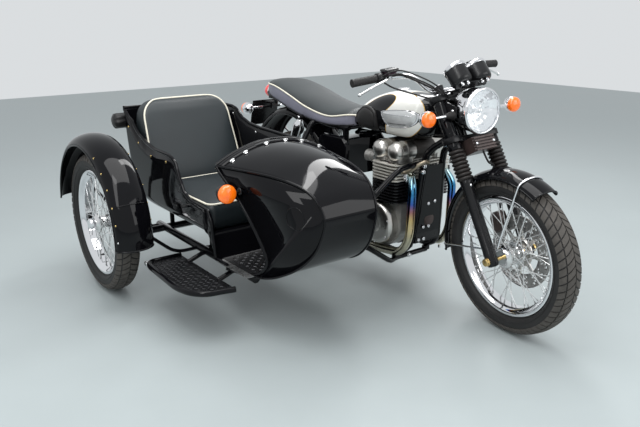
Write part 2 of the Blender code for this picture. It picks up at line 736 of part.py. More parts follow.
def fork_point(s, w, y):
    return FRONT_AXLE + UP_LEG * s + AHEAD * w + Vector((0, y, 0))


def fork_plate(outline, low, high):
    """A (w, y) outline carried up the fork from low to high."""
    return loft([[fork_point(s, w, y) for w, y in outline] for s in (low, high)])


def fork_box(s, w, y):
    outline = [(w[0], y[0]), (w[1], y[0]), (w[1], y[1]), (w[0], y[1])]
    return fork_plate(outline, s[0], s[1])


def fork_leg(side):
    foot = fork_point(0, 0, side * FORK_HALF_SPAN)
    top_yoke = UPPER_YOKE_S + YOKE_THICKNESS
    low_yoke = LOWER_YOKE_S + YOKE_THICKNESS
    profile = [
        (-LEG_BELOW_AXLE, SLIDER_RADIUS * 0.7),
        (-LEG_BELOW_AXLE * 0.6, SLIDER_RADIUS),
        (SLIDER_TOP, SLIDER_RADIUS),
        (SLIDER_TOP, STANCHION_RADIUS),
        (SHROUD_BOTTOM, STANCHION_RADIUS),
        (SHROUD_BOTTOM, SHROUD_RADIUS),
        (LOWER_YOKE_S - SEAT_GAP, SHROUD_RADIUS),
        (LOWER_YOKE_S - SEAT_GAP, STANCHION_RADIUS),
        (low_yoke + SEAT_GAP, STANCHION_RADIUS),
        (low_yoke + SEAT_GAP, SHROUD_RADIUS),
        (UPPER_YOKE_S - SEAT_GAP, SHROUD_RADIUS),
        (UPPER_YOKE_S - SEAT_GAP, STANCHION_RADIUS),
        (top_yoke, STANCHION_RADIUS),
        (LEG_LENGTH, STANCHION_RADIUS * 0.9),
    ]
    leg = turned(foot, UP_LEG, profile, LEG_SIDES)
    bore = turned(
        fork_point(0, 0, 0), (0, 1, 0),
        [(side * FORK_HALF_SPAN - OVERRUN * 2, AXLE_RADIUS + SEAT_GAP * 2),
         (side * FORK_HALF_SPAN + OVERRUN * 2, AXLE_RADIUS + SEAT_GAP * 2)], 12)
    cut(leg, bore)
    ear_side = LAMP_RADIUS * LAMP_SHELL_SHARE + SEAT_GAP
    ear_faces = (side * ear_side, side * (ear_side + EAR_THICKNESS))
    ear = box(
        (LAMP_X - LAMP_DEPTH * 0.9 - EAR_LENGTH, min(ear_faces), LAMP_Z - EAR_HEIGHT / 2),
        (LAMP_X - LAMP_DEPTH * 0.35, max(ear_faces), LAMP_Z + EAR_HEIGHT / 2),
    )
    lamp = indicator(
        Vector((INDICATOR_X, side * (ear_side + EAR_THICKNESS / 2), INDICATOR_Z)),
        Vector((INDICATOR_X, side * INDICATOR_HALF_SPAN, INDICATOR_Z)), 1)
    return fuse(leg, ear, lamp)


def gaiter(side):
    low = SLIDER_TOP + SEAT_GAP
    high = SHROUD_BOTTOM - SEAT_GAP
    pitch = (high - low) / GAITER_RIBS
    profile = []
    for k in range(GAITER_RIBS):
        profile.append((low + k * pitch, GAITER_GROOVE_RADIUS))
        profile.append((low + (k + 0.5) * pitch, GAITER_RADIUS))
    profile.append((high, GAITER_GROOVE_RADIUS))
    profile.append((high, STANCHION_RADIUS + SEAT_GAP))
    profile.append((low, STANCHION_RADIUS + SEAT_GAP))
    return turned_sleeve(fork_point(0, 0, side * FORK_HALF_SPAN), UP_LEG, profile, LEG_SIDES)


def yokes():
    back = -FORK_OFFSET - YOKE_BACK
    half_outline = [
        (back, YOKE_BACK * 0.8),
        (-YOKE_FRONT * 0.8, YOKE_HALF_WIDTH * 0.97),
        (0, YOKE_HALF_WIDTH),
        (YOKE_FRONT * 0.8, YOKE_HALF_WIDTH * 0.9),
        (YOKE_FRONT, YOKE_HALF_WIDTH * 0.7),
        (YOKE_FRONT * 0.2, YOKE_HALF_WIDTH * 0.35),
    ]
    outline = half_outline + [(w, -y) for w, y in half_outline[::-1]]
    lower = fork_plate(outline, LOWER_YOKE_S, LOWER_YOKE_S + YOKE_THICKNESS)
    upper = fork_plate(outline, UPPER_YOKE_S, UPPER_YOKE_S + YOKE_THICKNESS)
    stem = turned(
        fork_point(0, -FORK_OFFSET, 0), UP_LEG,
        [(LOWER_YOKE_S + YOKE_THICKNESS / 2, STEM_RADIUS),
         (UPPER_YOKE_S + YOKE_THICKNESS + STEM_RADIUS, STEM_RADIUS)],
        LEG_SIDES)
    clamps = [
        fork_box(
            (UPPER_YOKE_S + YOKE_THICKNESS / 2, BAR_S + BAR_RADIUS * 2),
            (BAR_W - BAR_RADIUS * 2, BAR_W + BAR_RADIUS * 2),
            (side * BAR_CLAMP_Y - BAR_RADIUS, side * BAR_CLAMP_Y + BAR_RADIUS),
        )
        for side in (-1, 1)
    ]
    bottom = LOWER_YOKE_S - REGULATOR_HEIGHT
    pitch = REGULATOR_HEIGHT / REGULATOR_FINS
    fins = [
        fork_box(
            (bottom + (k + 0.1) * pitch, bottom + (k + 0.6) * pitch),
            (YOKE_FRONT * 0.3, YOKE_FRONT + REGULATOR_DEPTH),
            (-REGULATOR_HALF * 0.96, REGULATOR_HALF * 0.96))
        for k in range(REGULATOR_FINS)
    ]
    regulator = fork_box(
        (bottom, LOWER_YOKE_S + YOKE_THICKNESS / 2), (-YOKE_FRONT * 0.4, YOKE_FRONT * 0.5),
        (-REGULATOR_HALF, REGULATOR_HALF))
    form = fuse(upper, lower, stem, *clamps, regulator, *fins)
    leg_bore = STANCHION_RADIUS + SEAT_GAP
    bar_bore = BAR_RADIUS + SEAT_GAP * 2
    bores = [
        turned(
            fork_point(0, 0, side * FORK_HALF_SPAN), UP_LEG,
            [(LOWER_YOKE_S - OVERRUN, leg_bore), (LEG_LENGTH + OVERRUN, leg_bore)],
            LEG_SIDES)
        for side in (-1, 1)
    ]
    bores.append(turned(
        fork_point(BAR_S, BAR_W, 0), (0, 1, 0),
        [(-BAR_CLAMP_Y * 2, bar_bore), (BAR_CLAMP_Y * 2, bar_bore)], BAR_SIDES, (0, 0, 1)))
    return cut(form, *bores)


def bar_path(side):
    """Half of the bar's route, from the middle out to its end."""
    middle = fork_point(BAR_S, BAR_W, 0)
    return [
        middle + Vector((BAR_PULL_BACK * back, side * BAR_HALF_SPAN * out, BAR_RISE * up))
        for back, out, up in BAR_PATH_SHARES
    ]


def handlebar():
    right = bar_path(-1)
    left = bar_path(1)
    path = rounded(right[::-1] + left[1:], BAR_BEND, 2)
    bar = tube(path, BAR_RADIUS, BAR_SIDES)
    tools = []
    for side, points in ((-1, right), (1, left)):
        inner, end = points[-2], points[-1]
        along = (end - inner).normalized()
        start = end - along * (GRIP_LENGTH + SEAT_GAP)
        root = start - along * CONTROL_LENGTH
        tools.append(turned(root, along, [(0, CONTROL_RADIUS), (CONTROL_LENGTH, CONTROL_RADIUS)], 8))
        tools.append(turned(start, along, [
            (-CONTROL_LENGTH * 0.5, GRIP_RADIUS), (GRIP_LENGTH, GRIP_RADIUS),
            (GRIP_LENGTH * 1.06, GRIP_RADIUS * 0.7)], BAR_SIDES))
        middle = root + along * CONTROL_LENGTH * 0.5
        pivot = middle + Vector((LEVER_GAP, 0, 0))
        reach = end + Vector((LEVER_GAP, -side * GRIP_LENGTH * 0.1, -LEVER_DROP))
        tools.append(tube([middle, pivot, reach], LEVER_RADIUS, 6))
    size = Vector((RESERVOIR_LENGTH, RESERVOIR_WIDTH, RESERVOIR_HEIGHT))
    out = (right[-1] - right[-2]).normalized()
    centre = right[-1] - out * (GRIP_LENGTH + CONTROL_LENGTH + size.y * 0.4)
    centre += Vector((size.x * 0.2, 0, size.z * 0.6))
    tools.append(box(centre - size / 2, centre + size / 2))
    return fuse(bar, *tools)


# Lamps and instruments

def headlamp_shell():
    shell = LAMP_RADIUS * LAMP_SHELL_SHARE
    profile = [(LAMP_DEPTH * back, shell * share) for back, share in LAMP_BOWL_SHARES]
    inner = [(back, min(radius, LAMP_RADIUS - LAMP_WALL) - LAMP_WALL) for back, radius in profile[::-1]]
    inner[-1] = (profile[0][0] + LAMP_WALL, inner[-1][1])
    rim = [
        (0, shell), (0, LAMP_RADIUS), (LAMP_RIM_WIDTH, LAMP_RADIUS),
        (LAMP_RIM_WIDTH * 1.4, LAMP_RADIUS - LAMP_WALL), (LAMP_RIM_WIDTH * 1.4, LAMP_RADIUS - LAMP_WALL * 2),
    ]
    origin = Vector((LAMP_X - LAMP_RIM_WIDTH * 1.4, 0, LAMP_Z))
    return turned(origin, (1, 0, 0), profile + rim + inner, LAMP_SIDES)


def headlamp_lens():
    radius = LAMP_RADIUS - LAMP_WALL * 2 - SEAT_GAP * 3
    back = LAMP_RIM_WIDTH * 0.4 + SEAT_GAP
    front = LAMP_RIM_WIDTH * 1.4
    profile = [
        (back, radius), (front, radius), (front + LENS_DOME * 0.7, radius * 0.65),
        (front + LENS_DOME, radius * 0.25)]
    origin = Vector((LAMP_X - LAMP_RIM_WIDTH * 1.4, 0, LAMP_Z))
    return turned(origin, (1, 0, 0), profile, LAMP_SIDES)


def gauges():
    axis = Vector((-math.sin(GAUGE_TILT), 0, math.cos(GAUGE_TILT)))
    base = Vector((GAUGE_X, 0, GAUGE_Z))
    profile = [(GAUGE_LENGTH * along, GAUGE_RADIUS * share) for along, share in GAUGE_SHARES]
    cups = [turned(base + Vector((0, side * GAUGE_HALF_SPAN, 0)), axis, profile, 16) for side in (-1, 1)]
    plate = tube(
        [base + Vector((0, -GAUGE_HALF_SPAN, 0)) - axis * GAUGE_PLATE * 0.2,
         base + Vector((0, GAUGE_HALF_SPAN, 0)) - axis * GAUGE_PLATE * 0.2], GAUGE_PLATE, 4)
    foot = fork_point(UPPER_YOKE_S + YOKE_THICKNESS + SEAT_GAP, YOKE_FRONT * 0.1, 0)
    post = tube([foot, foot + UP_LEG * GAUGE_PLATE, base], GAUGE_PLATE, 4)
    return fuse(cups[0], cups[1], plate, post)


def indicator(root, tip, facing, radius=INDICATOR_RADIUS):
    """A stem along Y from root to tip, ending in a round lamp that faces along X."""
    stem = tube([root, tip], INDICATOR_STEM_RADIUS, 6)
    profile = [(radius * along, radius * share) for along, share in INDICATOR_SHARES]
    lamp = turned(tip, (facing, 0, 0), profile, 12)
    return fuse(lamp, stem)


def front_mudguard():
    section = guard_section(FRONT_GUARD_RADIUS, FRONT_GUARD_HALF, FRONT_GUARD_HALF * 0.5, GUARD_SKIN)
    guard = arc_sweep(section, WHEELBASE, AXLE_HEIGHT, 0, FRONT_GUARD_FROM, FRONT_GUARD_TO, 11)
    brackets = []
    for side in (-1, 1):
        inner = side * (FRONT_GUARD_HALF - GUARD_SKIN * 0.7)
        outer = side * (FORK_HALF_SPAN - SLIDER_RADIUS - SEAT_GAP)
        brackets.append(fork_box(
            (FRONT_GUARD_RADIUS - FRONT_GUARD_HALF * 0.75, FRONT_GUARD_RADIUS - FRONT_GUARD_HALF * 0.4),
            (-BRACKET_HALF, BRACKET_HALF), (min(inner, outer), max(inner, outer))))
    return fuse(guard, *brackets)


def front_caliper():
    seat = HUB_HALF + SEAT_GAP + DISC_OFFSET
    slot = (seat - DISC_RUNNING_GAP, seat + DISC_THICKNESS + DISC_RUNNING_GAP)
    back = -flat(SLIDER_RADIUS, LEG_SIDES) - SEAT_GAP
    body = fork_box(
        (DISC_RADIUS * 0.62, DISC_RADIUS * 1.22), (-DISC_RADIUS * 0.62, back - SEAT_GAP),
        (slot[0] - CALIPER_WALL, slot[1] + CALIPER_WALL))
    lug = fork_box(
        (DISC_RADIUS * 0.75, DISC_RADIUS * 0.98), (back - CALIPER_WALL * 1.5, back),
        (slot[1], FORK_HALF_SPAN + CALIPER_WALL / 2))
    form = fuse(body, lug)
    swept = DISC_RADIUS + DISC_RUNNING_GAP
    gap = turned(fork_point(0, 0, 0), (0, 1, 0), [(slot[0], swept), (slot[1], swept)], 36)
    return cut(form, gap)


# Motorcycle frame, engine and rear end

def at(shares):
    """A place on the motorcycle's frame, from its shares of wheelbase, half width and height."""
    x, y, z = shares
    return Vector((WHEELBASE * x, FRAME_HALF_WIDTH * y, FRAME_HEIGHT * z))


def head_place(y, z):
    """A place beside the steering axis at a height."""
    return Vector((STEER_FOOT.x - z * math.tan(RAKE), y, z))


def seat_station(share):
    """The seat at a share of its length from the front: x, half width, base and top."""
    for before, after in zip(SEAT_SHARES, SEAT_SHARES[1:]):
        if share <= after[0]:
            t = (share - before[0]) / (after[0] - before[0])
            _, width, base, top = [a + (b - a) * t for a, b in zip(before, after)]
            break
    x = SEAT_REAR_X + SEAT_LENGTH * (1 - share)
    return x, SEAT_HALF_WIDTH * width, FRAME_HEIGHT * base, FRAME_HEIGHT * top


def rail_point(share, side):
    x, _, base, _ = seat_station(share)
    return Vector((x, side * RAIL_Y, base - RAIL_RADIUS - SEAT_GAP * 2))


def frame():
    steering_axis = fork_point(0, -FORK_OFFSET, 0)
    low = LOWER_YOKE_S + YOKE_THICKNESS + HEAD_TUBE_PLAY
    high = UPPER_YOKE_S - HEAD_TUBE_PLAY
    head = turned(steering_axis, UP_LEG, [(low, HEAD_TUBE_RADIUS), (high, HEAD_TUBE_RADIUS)], LEG_SIDES)
    backbone = [head_place(0, FRAME_HEIGHT * BACKBONE_HEAD_SHARE)] + [at(p) for p in BACKBONE_SHARES]
    tubes = [tube(rounded(backbone, TUBE_BEND), BACKBONE_RADIUS)]
    across, up = CRADLE_HEAD_SHARES
    for side in (-1, 1):
        cradle = [head_place(side * FRAME_HALF_WIDTH * across, FRAME_HEIGHT * up)]
        cradle += [Vector((p.x, side * p.y, p.z)) for p in map(at, CRADLE_SHARES)]
        tubes.append(tube(rounded(cradle, TUBE_BEND), TUBE_RADIUS))
        rails = [rail_point(share, side) for share in RAIL_STATION_SHARES]
        tubes.append(tube(rails, RAIL_RADIUS))
    for share in (RAIL_STATION_SHARES[0] + RAIL_CROSS_SHARE, RAIL_STATION_SHARES[-1] - RAIL_CROSS_SHARE):
        tubes.append(tube([rail_point(share, -1), rail_point(share, 1)], RAIL_RADIUS))
    upright = at(CRADLE_SHARES[-1])
    tubes.append(tube([upright, Vector((upright.x, -upright.y, upright.z))], RAIL_RADIUS))
    rest_x = at(FOOTREST_SHARE).x
    rest_z = LOWER_RAIL_Z - TUBE_RADIUS - FOOTREST_RADIUS / 2
    bend = EXHAUST_HALF_SPAN * 1.5
    reach = EXHAUST_HALF_SPAN + FOOTREST_LENGTH
    tubes.append(tube([
        (rest_x, -reach, rest_z + FOOTREST_RISE), (rest_x, -bend, rest_z), (rest_x, bend, rest_z),
        (rest_x, reach, rest_z + FOOTREST_RISE)], FOOTREST_RADIUS, 8))
    form = fuse(head, *tubes)
    bore = STEM_RADIUS + HEAD_TUBE_PLAY
    return cut(form, turned(steering_axis, UP_LEG, [(low - OVERRUN, bore), (high + OVERRUN, bore)], LEG_SIDES))


def crankcase():
    base = LOWER_RAIL_Z + TUBE_RADIUS + SEAT_GAP
    outline = [
        (ENGINE_X + ENGINE_LENGTH * along, base + (CASE_TOP_Z - base) * up)
        for along, up in CRANKCASE_SHARES
    ]
    block = prism(outline, -ENGINE_HALF_WIDTH, ENGINE_HALF_WIDTH)
    covers = []
    for side in (-1, 1):
        for along, up, radius in COVER_SHARES:
            centre = Vector((ENGINE_X + ENGINE_LENGTH * along, 0, base + (CASE_TOP_Z - base) * up))
            size = (CASE_TOP_Z - base) * radius
            profile = [
                (ENGINE_HALF_WIDTH * 0.8, size),
                (ENGINE_HALF_WIDTH + COVER_THICKNESS * 0.7, size),
                (ENGINE_HALF_WIDTH + COVER_THICKNESS, size * 0.82),
            ]
            covers.append(turned(centre, (0, side, 0), profile, 16))
    return fuse(block, *covers)


def finned(low, high, half_x, half_y, fins):
    """A block with level cooling fins, lofted upward through its outline at each edge of each fin."""
    pitch = (high - low) / fins
    rings = []
    for k in range(fins):
        start = low + pitch * k
        rings += [(start, FIN_DEPTH), (start + pitch * 0.3, FIN_DEPTH)]
        rings += [(start + pitch * 0.55, 0), (start + pitch * 0.9, 0)]
    rings.append((high, 0))
    return loft([
        [
            Vector((BARREL_X + x, y, z))
            for x, y in round_rectangle(half_x + depth, half_y + depth, BARREL_CORNER + depth, 1)
        ]
        for z, depth in rings
    ])


def cylinder_barrel():
    return finned(CASE_TOP_Z + SEAT_GAP, HEAD_Z, BARREL_HALF_LENGTH, BARREL_HALF_WIDTH, 6)


def cylinder_head():
    return finned(HEAD_Z + SEAT_GAP, COVER_Z, BARREL_HALF_LENGTH, BARREL_HALF_WIDTH, 6)


def cam_covers():
    """Two domed covers side by side across the engine, joined by their base."""
    base = box(
        (BARREL_X - BARREL_HALF_LENGTH, -BARREL_HALF_WIDTH * 0.8, COVER_Z + SEAT_GAP),
        (BARREL_X + BARREL_HALF_LENGTH, BARREL_HALF_WIDTH * 0.8, COVER_Z + CAM_COVER_RADIUS))
    domes = []
    for along in (-1, 1):
        centre = Vector((BARREL_X + along * CAM_SPACING / 2, 0, COVER_Z + CAM_COVER_RADIUS * 1.03))
        half = BARREL_HALF_WIDTH * 1.05
        profile = [
            (half - CAM_COVER_RADIUS + CAM_COVER_RADIUS * math.sin(turn), CAM_COVER_RADIUS * math.cos(turn))
            for turn in (0, math.radians(30), math.radians(55), math.radians(78))
        ]
        whole = [(-y, r) for y, r in profile[::-1]] + profile
        domes.append(turned(centre, (0, 1, 0), whole, 14, (0, 0, 1)))
    return fuse(base, *domes)


def carburettors():
    start = BARREL_X - BARREL_HALF_LENGTH - FIN_DEPTH - SEAT_GAP
    profile = [(CARB_LENGTH * along, CARB_RADIUS * share) for along, share in CARB_SHARES]
    bodies = []
    for side in (-1, 1):
        centre = Vector((start, side * CARB_HALF_SPAN, CARB_Z))
        bodies.append(turned(centre, (-1, 0, 0), profile, 12, (0, 0, 1)))
        bodies.append(turned(
            centre + Vector((-CARB_LENGTH * 0.5, 0, 0)), (0, 0, -1),
            [(-CARB_RADIUS * 1.6, CARB_RADIUS * 0.6), (0, CARB_RADIUS * 0.7),
             (CARB_RADIUS * 1.9, CARB_RADIUS * 0.7)], 10))
    middle = start - CARB_LENGTH * 0.5
    link = tube([(middle, -CARB_HALF_SPAN, CARB_Z), (middle, CARB_HALF_SPAN, CARB_Z)], CARB_RADIUS * 0.35, 6)
    return fuse(bodies[0], *bodies[1:], link)


def exhaust(side):
    first = at(HEADER_SHARES[0])
    port = Vector((BARREL_X + BARREL_HALF_LENGTH + FIN_DEPTH + SEAT_GAP, side * first.y, first.z))
    points = [port] + [Vector((p.x, side * p.y, p.z)) for p in map(at, HEADER_SHARES)]
    header = tube(rounded(points, EXHAUST_BEND), HEADER_RADIUS, 10)
    start, end = points[-2], points[-1]
    along = (end - start).normalized()
    profile = [(SILENCER_LENGTH * a, SILENCER_RADIUS * r) for a, r in SILENCER_SHARES]
    silencer = turned(start + (end - start) * 0.7, along, profile, 12)
    return fuse(header, silencer)


def swingarm():
    pivot = at(PIVOT_SHARE)
    reach = FRAME_HALF_WIDTH - TUBE_RADIUS - SEAT_GAP
    cross = turned(pivot, (0, 1, 0), [(-reach, PIVOT_RADIUS), (reach, PIVOT_RADIUS)], 10)
    arms = []
    for side in (-1, 1):
        path = [
            pivot + Vector((0, side * (reach - ARM_RADIUS * 1.5), 0)),
            pivot + Vector((-WHEELBASE * 0.09, side * (reach + ARM_RADIUS * 0.3), 0)),
            Vector((WHEELBASE * 0.16, side * SWINGARM_HALF_WIDTH, REAR_TYRE_RADIUS * 1.08)),
            Vector((0, side * SWINGARM_HALF_WIDTH, REAR_TYRE_RADIUS)),
        ]
        arms.append(tube(path, ARM_RADIUS, 6))
        low = SWINGARM_HALF_WIDTH - ARM_RADIUS * 0.6
        arms.append(turned(
            (0, 0, REAR_TYRE_RADIUS), (0, side, 0),
            [(low, ARM_RADIUS * 1.5), (SWINGARM_HALF_WIDTH + ARM_RADIUS, ARM_RADIUS * 1.5)], 12))
    form = fuse(cross, *arms)
    bore = AXLE_RADIUS + SEAT_GAP * 2
    through = [(-SWINGARM_HALF_WIDTH * 2, bore), (SWINGARM_HALF_WIDTH * 2, bore)]
    return cut(form, turned((0, 0, REAR_TYRE_RADIUS), (0, 1, 0), through, 12))


def shock(side):
    top = rail_point(SHOCK_TOP_SHARE, side)
    high = Vector((top.x, side * SHOCK_HALF_SPAN, top.z))
    low = Vector((WHEELBASE * SHOCK_FOOT_SHARE, side * SHOCK_HALF_SPAN, REAR_TYRE_RADIUS * 1.02))
    length = (high - low).length
    profile = [(-SHOCK_EYE, SHOCK_EYE)] + [(length * a, SHOCK_RADIUS * r) for a, r in SHOCK_SHARES]
    for k in range(SHOCK_COILS):
        start = SHOCK_SPRING_SHARE + (SHOCK_COVER_SHARE - SHOCK_SPRING_SHARE) * k / SHOCK_COILS
        half = (SHOCK_COVER_SHARE - SHOCK_SPRING_SHARE) / SHOCK_COILS / 2
        profile += [(length * start, SHOCK_RADIUS * 0.72), (length * (start + half), SHOCK_RADIUS * 0.9)]
    profile += [
        (length * SHOCK_COVER_SHARE, SHOCK_RADIUS), (length * (SHOCK_COVER_SHARE + 0.2), SHOCK_RADIUS),
        (length * 0.95, SHOCK_RADIUS * 0.6), (length + SHOCK_EYE, SHOCK_EYE),
    ]
    body = turned(low, high - low, profile, 12)
    rail_side = side * (RAIL_Y + flat(RAIL_RADIUS) + SEAT_GAP * 2)
    upper = tube([high, Vector((high.x, rail_side, high.z))], SHOCK_EYE * 0.6, 6)
    arm_side = SWINGARM_HALF_WIDTH + ARM_RADIUS + SEAT_GAP
    lower = tube([low, Vector((low.x, side * arm_side, low.z))], SHOCK_EYE * 0.6, 6)
    return fuse(body, upper, lower)


def rear_mudguard():
    section = guard_section(REAR_GUARD_RADIUS, REAR_GUARD_HALF, REAR_GUARD_HALF * 0.5, GUARD_SKIN)
    guard = arc_sweep(section, 0, REAR_GUARD_Z, 0, REAR_GUARD_FROM, REAR_GUARD_TO, 12)
    lugs = []
    for share in GUARD_LUG_SHARES:
        for side in (-1, 1):
            rail = rail_point(share, side)
            outer = Vector((rail.x, rail.y - side * (flat(RAIL_RADIUS) + SEAT_GAP * 2), rail.z))
            drop = math.sqrt(REAR_GUARD_RADIUS ** 2 - rail.x ** 2)
            inner = Vector((rail.x, side * REAR_GUARD_HALF * 0.5, REAR_GUARD_Z + drop - REAR_GUARD_HALF * 0.14))
            bend = Vector((rail.x, side * REAR_GUARD_HALF * 0.8, rail.z))
            lugs.append(tube([inner, bend, outer], RAIL_RADIUS * 0.5, 6))
    return fuse(guard, *lugs)


def tail_bracket():
    """The arm behind the seat with the lamp's base, the blank number plate and both rear indicators."""
    share = RAIL_STATION_SHARES[-1] - RAIL_CROSS_SHARE
    cross = rail_point(share, 0)
    lamp_back = TAIL_LAMP_X + TAIL_LAMP_LENGTH + SEAT_GAP
    start = Vector((cross.x - flat(RAIL_RADIUS) - SEAT_GAP, 0, cross.z))
    base = box(
        (lamp_back, -TAIL_LAMP_RADIUS, TAIL_LAMP_Z - TAIL_LAMP_RADIUS),
        (start.x, TAIL_LAMP_RADIUS, start.z + RAIL_RADIUS * 0.8))
    low = TAIL_LAMP_Z - TAIL_LAMP_RADIUS - RAIL_RADIUS * 2
    plate_top = Vector((PLATE_X, 0, PLATE_TOP_Z - RAIL_RADIUS))
    plate_low = plate_top + Vector((-PLATE_HEIGHT * 0.25, 0, -PLATE_HEIGHT * 0.97))
    arm = tube([
        (lamp_back + RAIL_RADIUS, 0, TAIL_LAMP_Z), (lamp_back + RAIL_RADIUS, 0, low),
        plate_top + Vector((0, 0, -RAIL_RADIUS)),
    ], RAIL_RADIUS * 0.9, 6)
    plate = loft([
        [Vector((p.x + dx, y, p.z)) for dx, y in (
            (0, -PLATE_HALF), (PLATE_THICKNESS, -PLATE_HALF), (PLATE_THICKNESS, PLATE_HALF), (0, PLATE_HALF))]
        for p in (plate_low, plate_top)
    ])
    bar_z = REAR_INDICATOR_Z
    bar_x = REAR_INDICATOR_X
    bar = tube(
        [(bar_x, -REAR_INDICATOR_HALF_SPAN, bar_z), (bar_x, REAR_INDICATOR_HALF_SPAN, bar_z)],
        INDICATOR_STEM_RADIUS, 6)
    drop = tube([(bar_x, 0, bar_z - RAIL_RADIUS), (bar_x, 0, low)], RAIL_RADIUS * 0.8, 6)
    tools = [base, plate, bar, drop]
    profile = [(-INDICATOR_RADIUS * along, INDICATOR_RADIUS * share) for along, share in INDICATOR_SHARES]
    for side in (-1, 1):
        tools.append(turned(
            (bar_x, side * REAR_INDICATOR_HALF_SPAN, bar_z), (1, 0, 0), profile[::-1], 12))
    return fuse(arm, *tools)


def tail_lamp():
    profile = [(TAIL_LAMP_LENGTH * a, TAIL_LAMP_RADIUS * r) for a, r in TAIL_LAMP_SHARES]
    return turned((TAIL_LAMP_X + TAIL_LAMP_LENGTH, 0, TAIL_LAMP_Z), (-1, 0, 0), profile, 14, (0, 0, 1))


def superellipse(half_y, base, top, power, count):
    """A closed ring of (y, z), squarer than an ellipse as the power rises."""
    points = []
    for k in range(count):
        turn = math.tau * (k + 0.5) / count
        c, s = math.cos(turn), math.sin(turn)
        y = half_y * math.copysign(abs(c) ** (2 / power), c)
        z = (base + top) / 2 + (top - base) / 2 * math.copysign(abs(s) ** (2 / power), s)
        points.append((y, z))
    return points


def fuel_tank():
    rings = []
    for share, width, base, top in TANK_SHARES:
        x = TANK_FRONT_X - TANK_LENGTH * share
        low, high = TANK_BASE_Z + TANK_HEIGHT * base, TANK_BASE_Z + TANK_HEIGHT * top
        outline = superellipse(TANK_HALF_WIDTH * width, low, high, 2.7, 16)
        rings.append([Vector((x, y, z)) for y, z in outline])
    body = loft(rings)
    cap_x = TANK_FRONT_X - TANK_LENGTH * CAP_SHARE
    top = TANK_BASE_Z + TANK_HEIGHT
    cap = turned(
        (cap_x, 0, top - CAP_HEIGHT * 1.5), (0, 0, 1),
        [(0, CAP_RADIUS * 0.9), (CAP_HEIGHT * 2, CAP_RADIUS), (CAP_HEIGHT * 2.5, CAP_RADIUS * 0.85)], 14)
    fuse(body, cap, knee_pad(-1), knee_pad(1))
    tunnel = BACKBONE_RADIUS + TUNNEL_GAP
    top = FRAME_HEIGHT * BACKBONE_SHARES[0][2] + tunnel
    return cut(body, box(
        (TANK_FRONT_X - TANK_LENGTH - OVERRUN, -tunnel, TANK_BASE_Z - OVERRUN),
        (TANK_FRONT_X + OVERRUN, tunnel, top)))


def knee_pad(side):
    """A pad on the tank's flank, its outline a rounded shape in (x, z)."""
    centre = Vector((TANK_FRONT_X - TANK_LENGTH * PAD_SHARE, 0, TANK_BASE_Z + TANK_HEIGHT * PAD_UP_SHARE))
    outline = round_rectangle(PAD_LENGTH / 2, PAD_HEIGHT / 2, PAD_HEIGHT * 0.4, 3)
    rings = []
    for out, share in ((-1.0, 1.0), (0.6, 1.0), (1.0, 0.86)):
        ring = []
        for x, z in outline:
            place = centre + Vector((x * share, 0, z * share))
            flank = tank_flank(centre.x + x, centre.z + z)
            ring.append(Vector((place.x, side * (flank + PAD_THICKNESS * out), place.z)))
        rings.append(ring)
    return loft(rings)


def tank_flank(x, z):
    """The tank's half width at a place on its side."""
    share = (TANK_FRONT_X - x) / TANK_LENGTH
    for before, after in zip(TANK_SHARES, TANK_SHARES[1:]):
        if share <= after[0]:
            t = (share - before[0]) / (after[0] - before[0])
            _, width, base, top = [a + (b - a) * t for a, b in zip(before, after)]
            break
    low = TANK_BASE_Z + TANK_HEIGHT * base
    high = TANK_BASE_Z + TANK_HEIGHT * top
    up = min(abs(2 * (z - low) / (high - low) - 1), 0.98)
    return TANK_HALF_WIDTH * width * (1 - up ** 2.7) ** (1 / 2.7)


def cushion_ring(x, half, base, top):
    """A seat's section: flat below, upright sides and a crowned top."""
    height = top - base
    side = [(0.94, 0), (1.0, 0.2), (1.0, 0.62), (0.88, 0.88), (0.5, 0.98)]
    points = [(half * y, base + height * z) for y, z in side] + [(0, top)]
    points += [(-half * y, base + height * z) for y, z in side[::-1]]
    return [Vector((x, y, z)) for y, z in points]


def dual_seat():
    return loft([cushion_ring(*seat_station(share)) for share, *_ in SEAT_SHARES])


def side_panels():
    """The two side panels and the airbox between them."""
    inner = FRAME_HALF_WIDTH + TUBE_RADIUS + SEAT_GAP
    outline = [(at((x, 0, z)).x, at((x, 0, z)).z) for x, z in SIDE_PANEL_SHARES]
    panels = [
        prism(outline, side * inner, side * (inner + PANEL_THICKNESS), 0.93)
        for side in (-1, 1)
    ]
    low = at((AIRBOX_SHARES[0], 0, AIRBOX_SHARES[2]))
    high = at((AIRBOX_SHARES[1], 0, AIRBOX_SHARES[3]))
    reach = inner + PANEL_THICKNESS / 2
    return fuse(panels[0], panels[1], box((low.x, -reach, low.z), (high.x, reach, high.z)))


# Sidecar

def tub_top(shares):
    return [(TUB_REAR_X + TUB_LENGTH * x, BODY_FLOOR_Z + TUB_HEIGHT * z) for x, z in shares]


def body_section(half, floor, top, corner):
    """A (y, z) outline with round lower corners."""
    points = [(-half, top)]
    for k in range(5):
        turn = math.pi + k / 4 * math.pi / 2
        points.append((-half + corner + corner * math.cos(turn), floor + corner + corner * math.sin(turn)))
    for k in range(5):
        turn = 1.5 * math.pi + k / 4 * math.pi / 2
        points.append((half - corner + corner * math.cos(turn), floor + corner + corner * math.sin(turn)))
    points.append((half, top))
    return [(BODY_Y + y, z) for y, z in points]


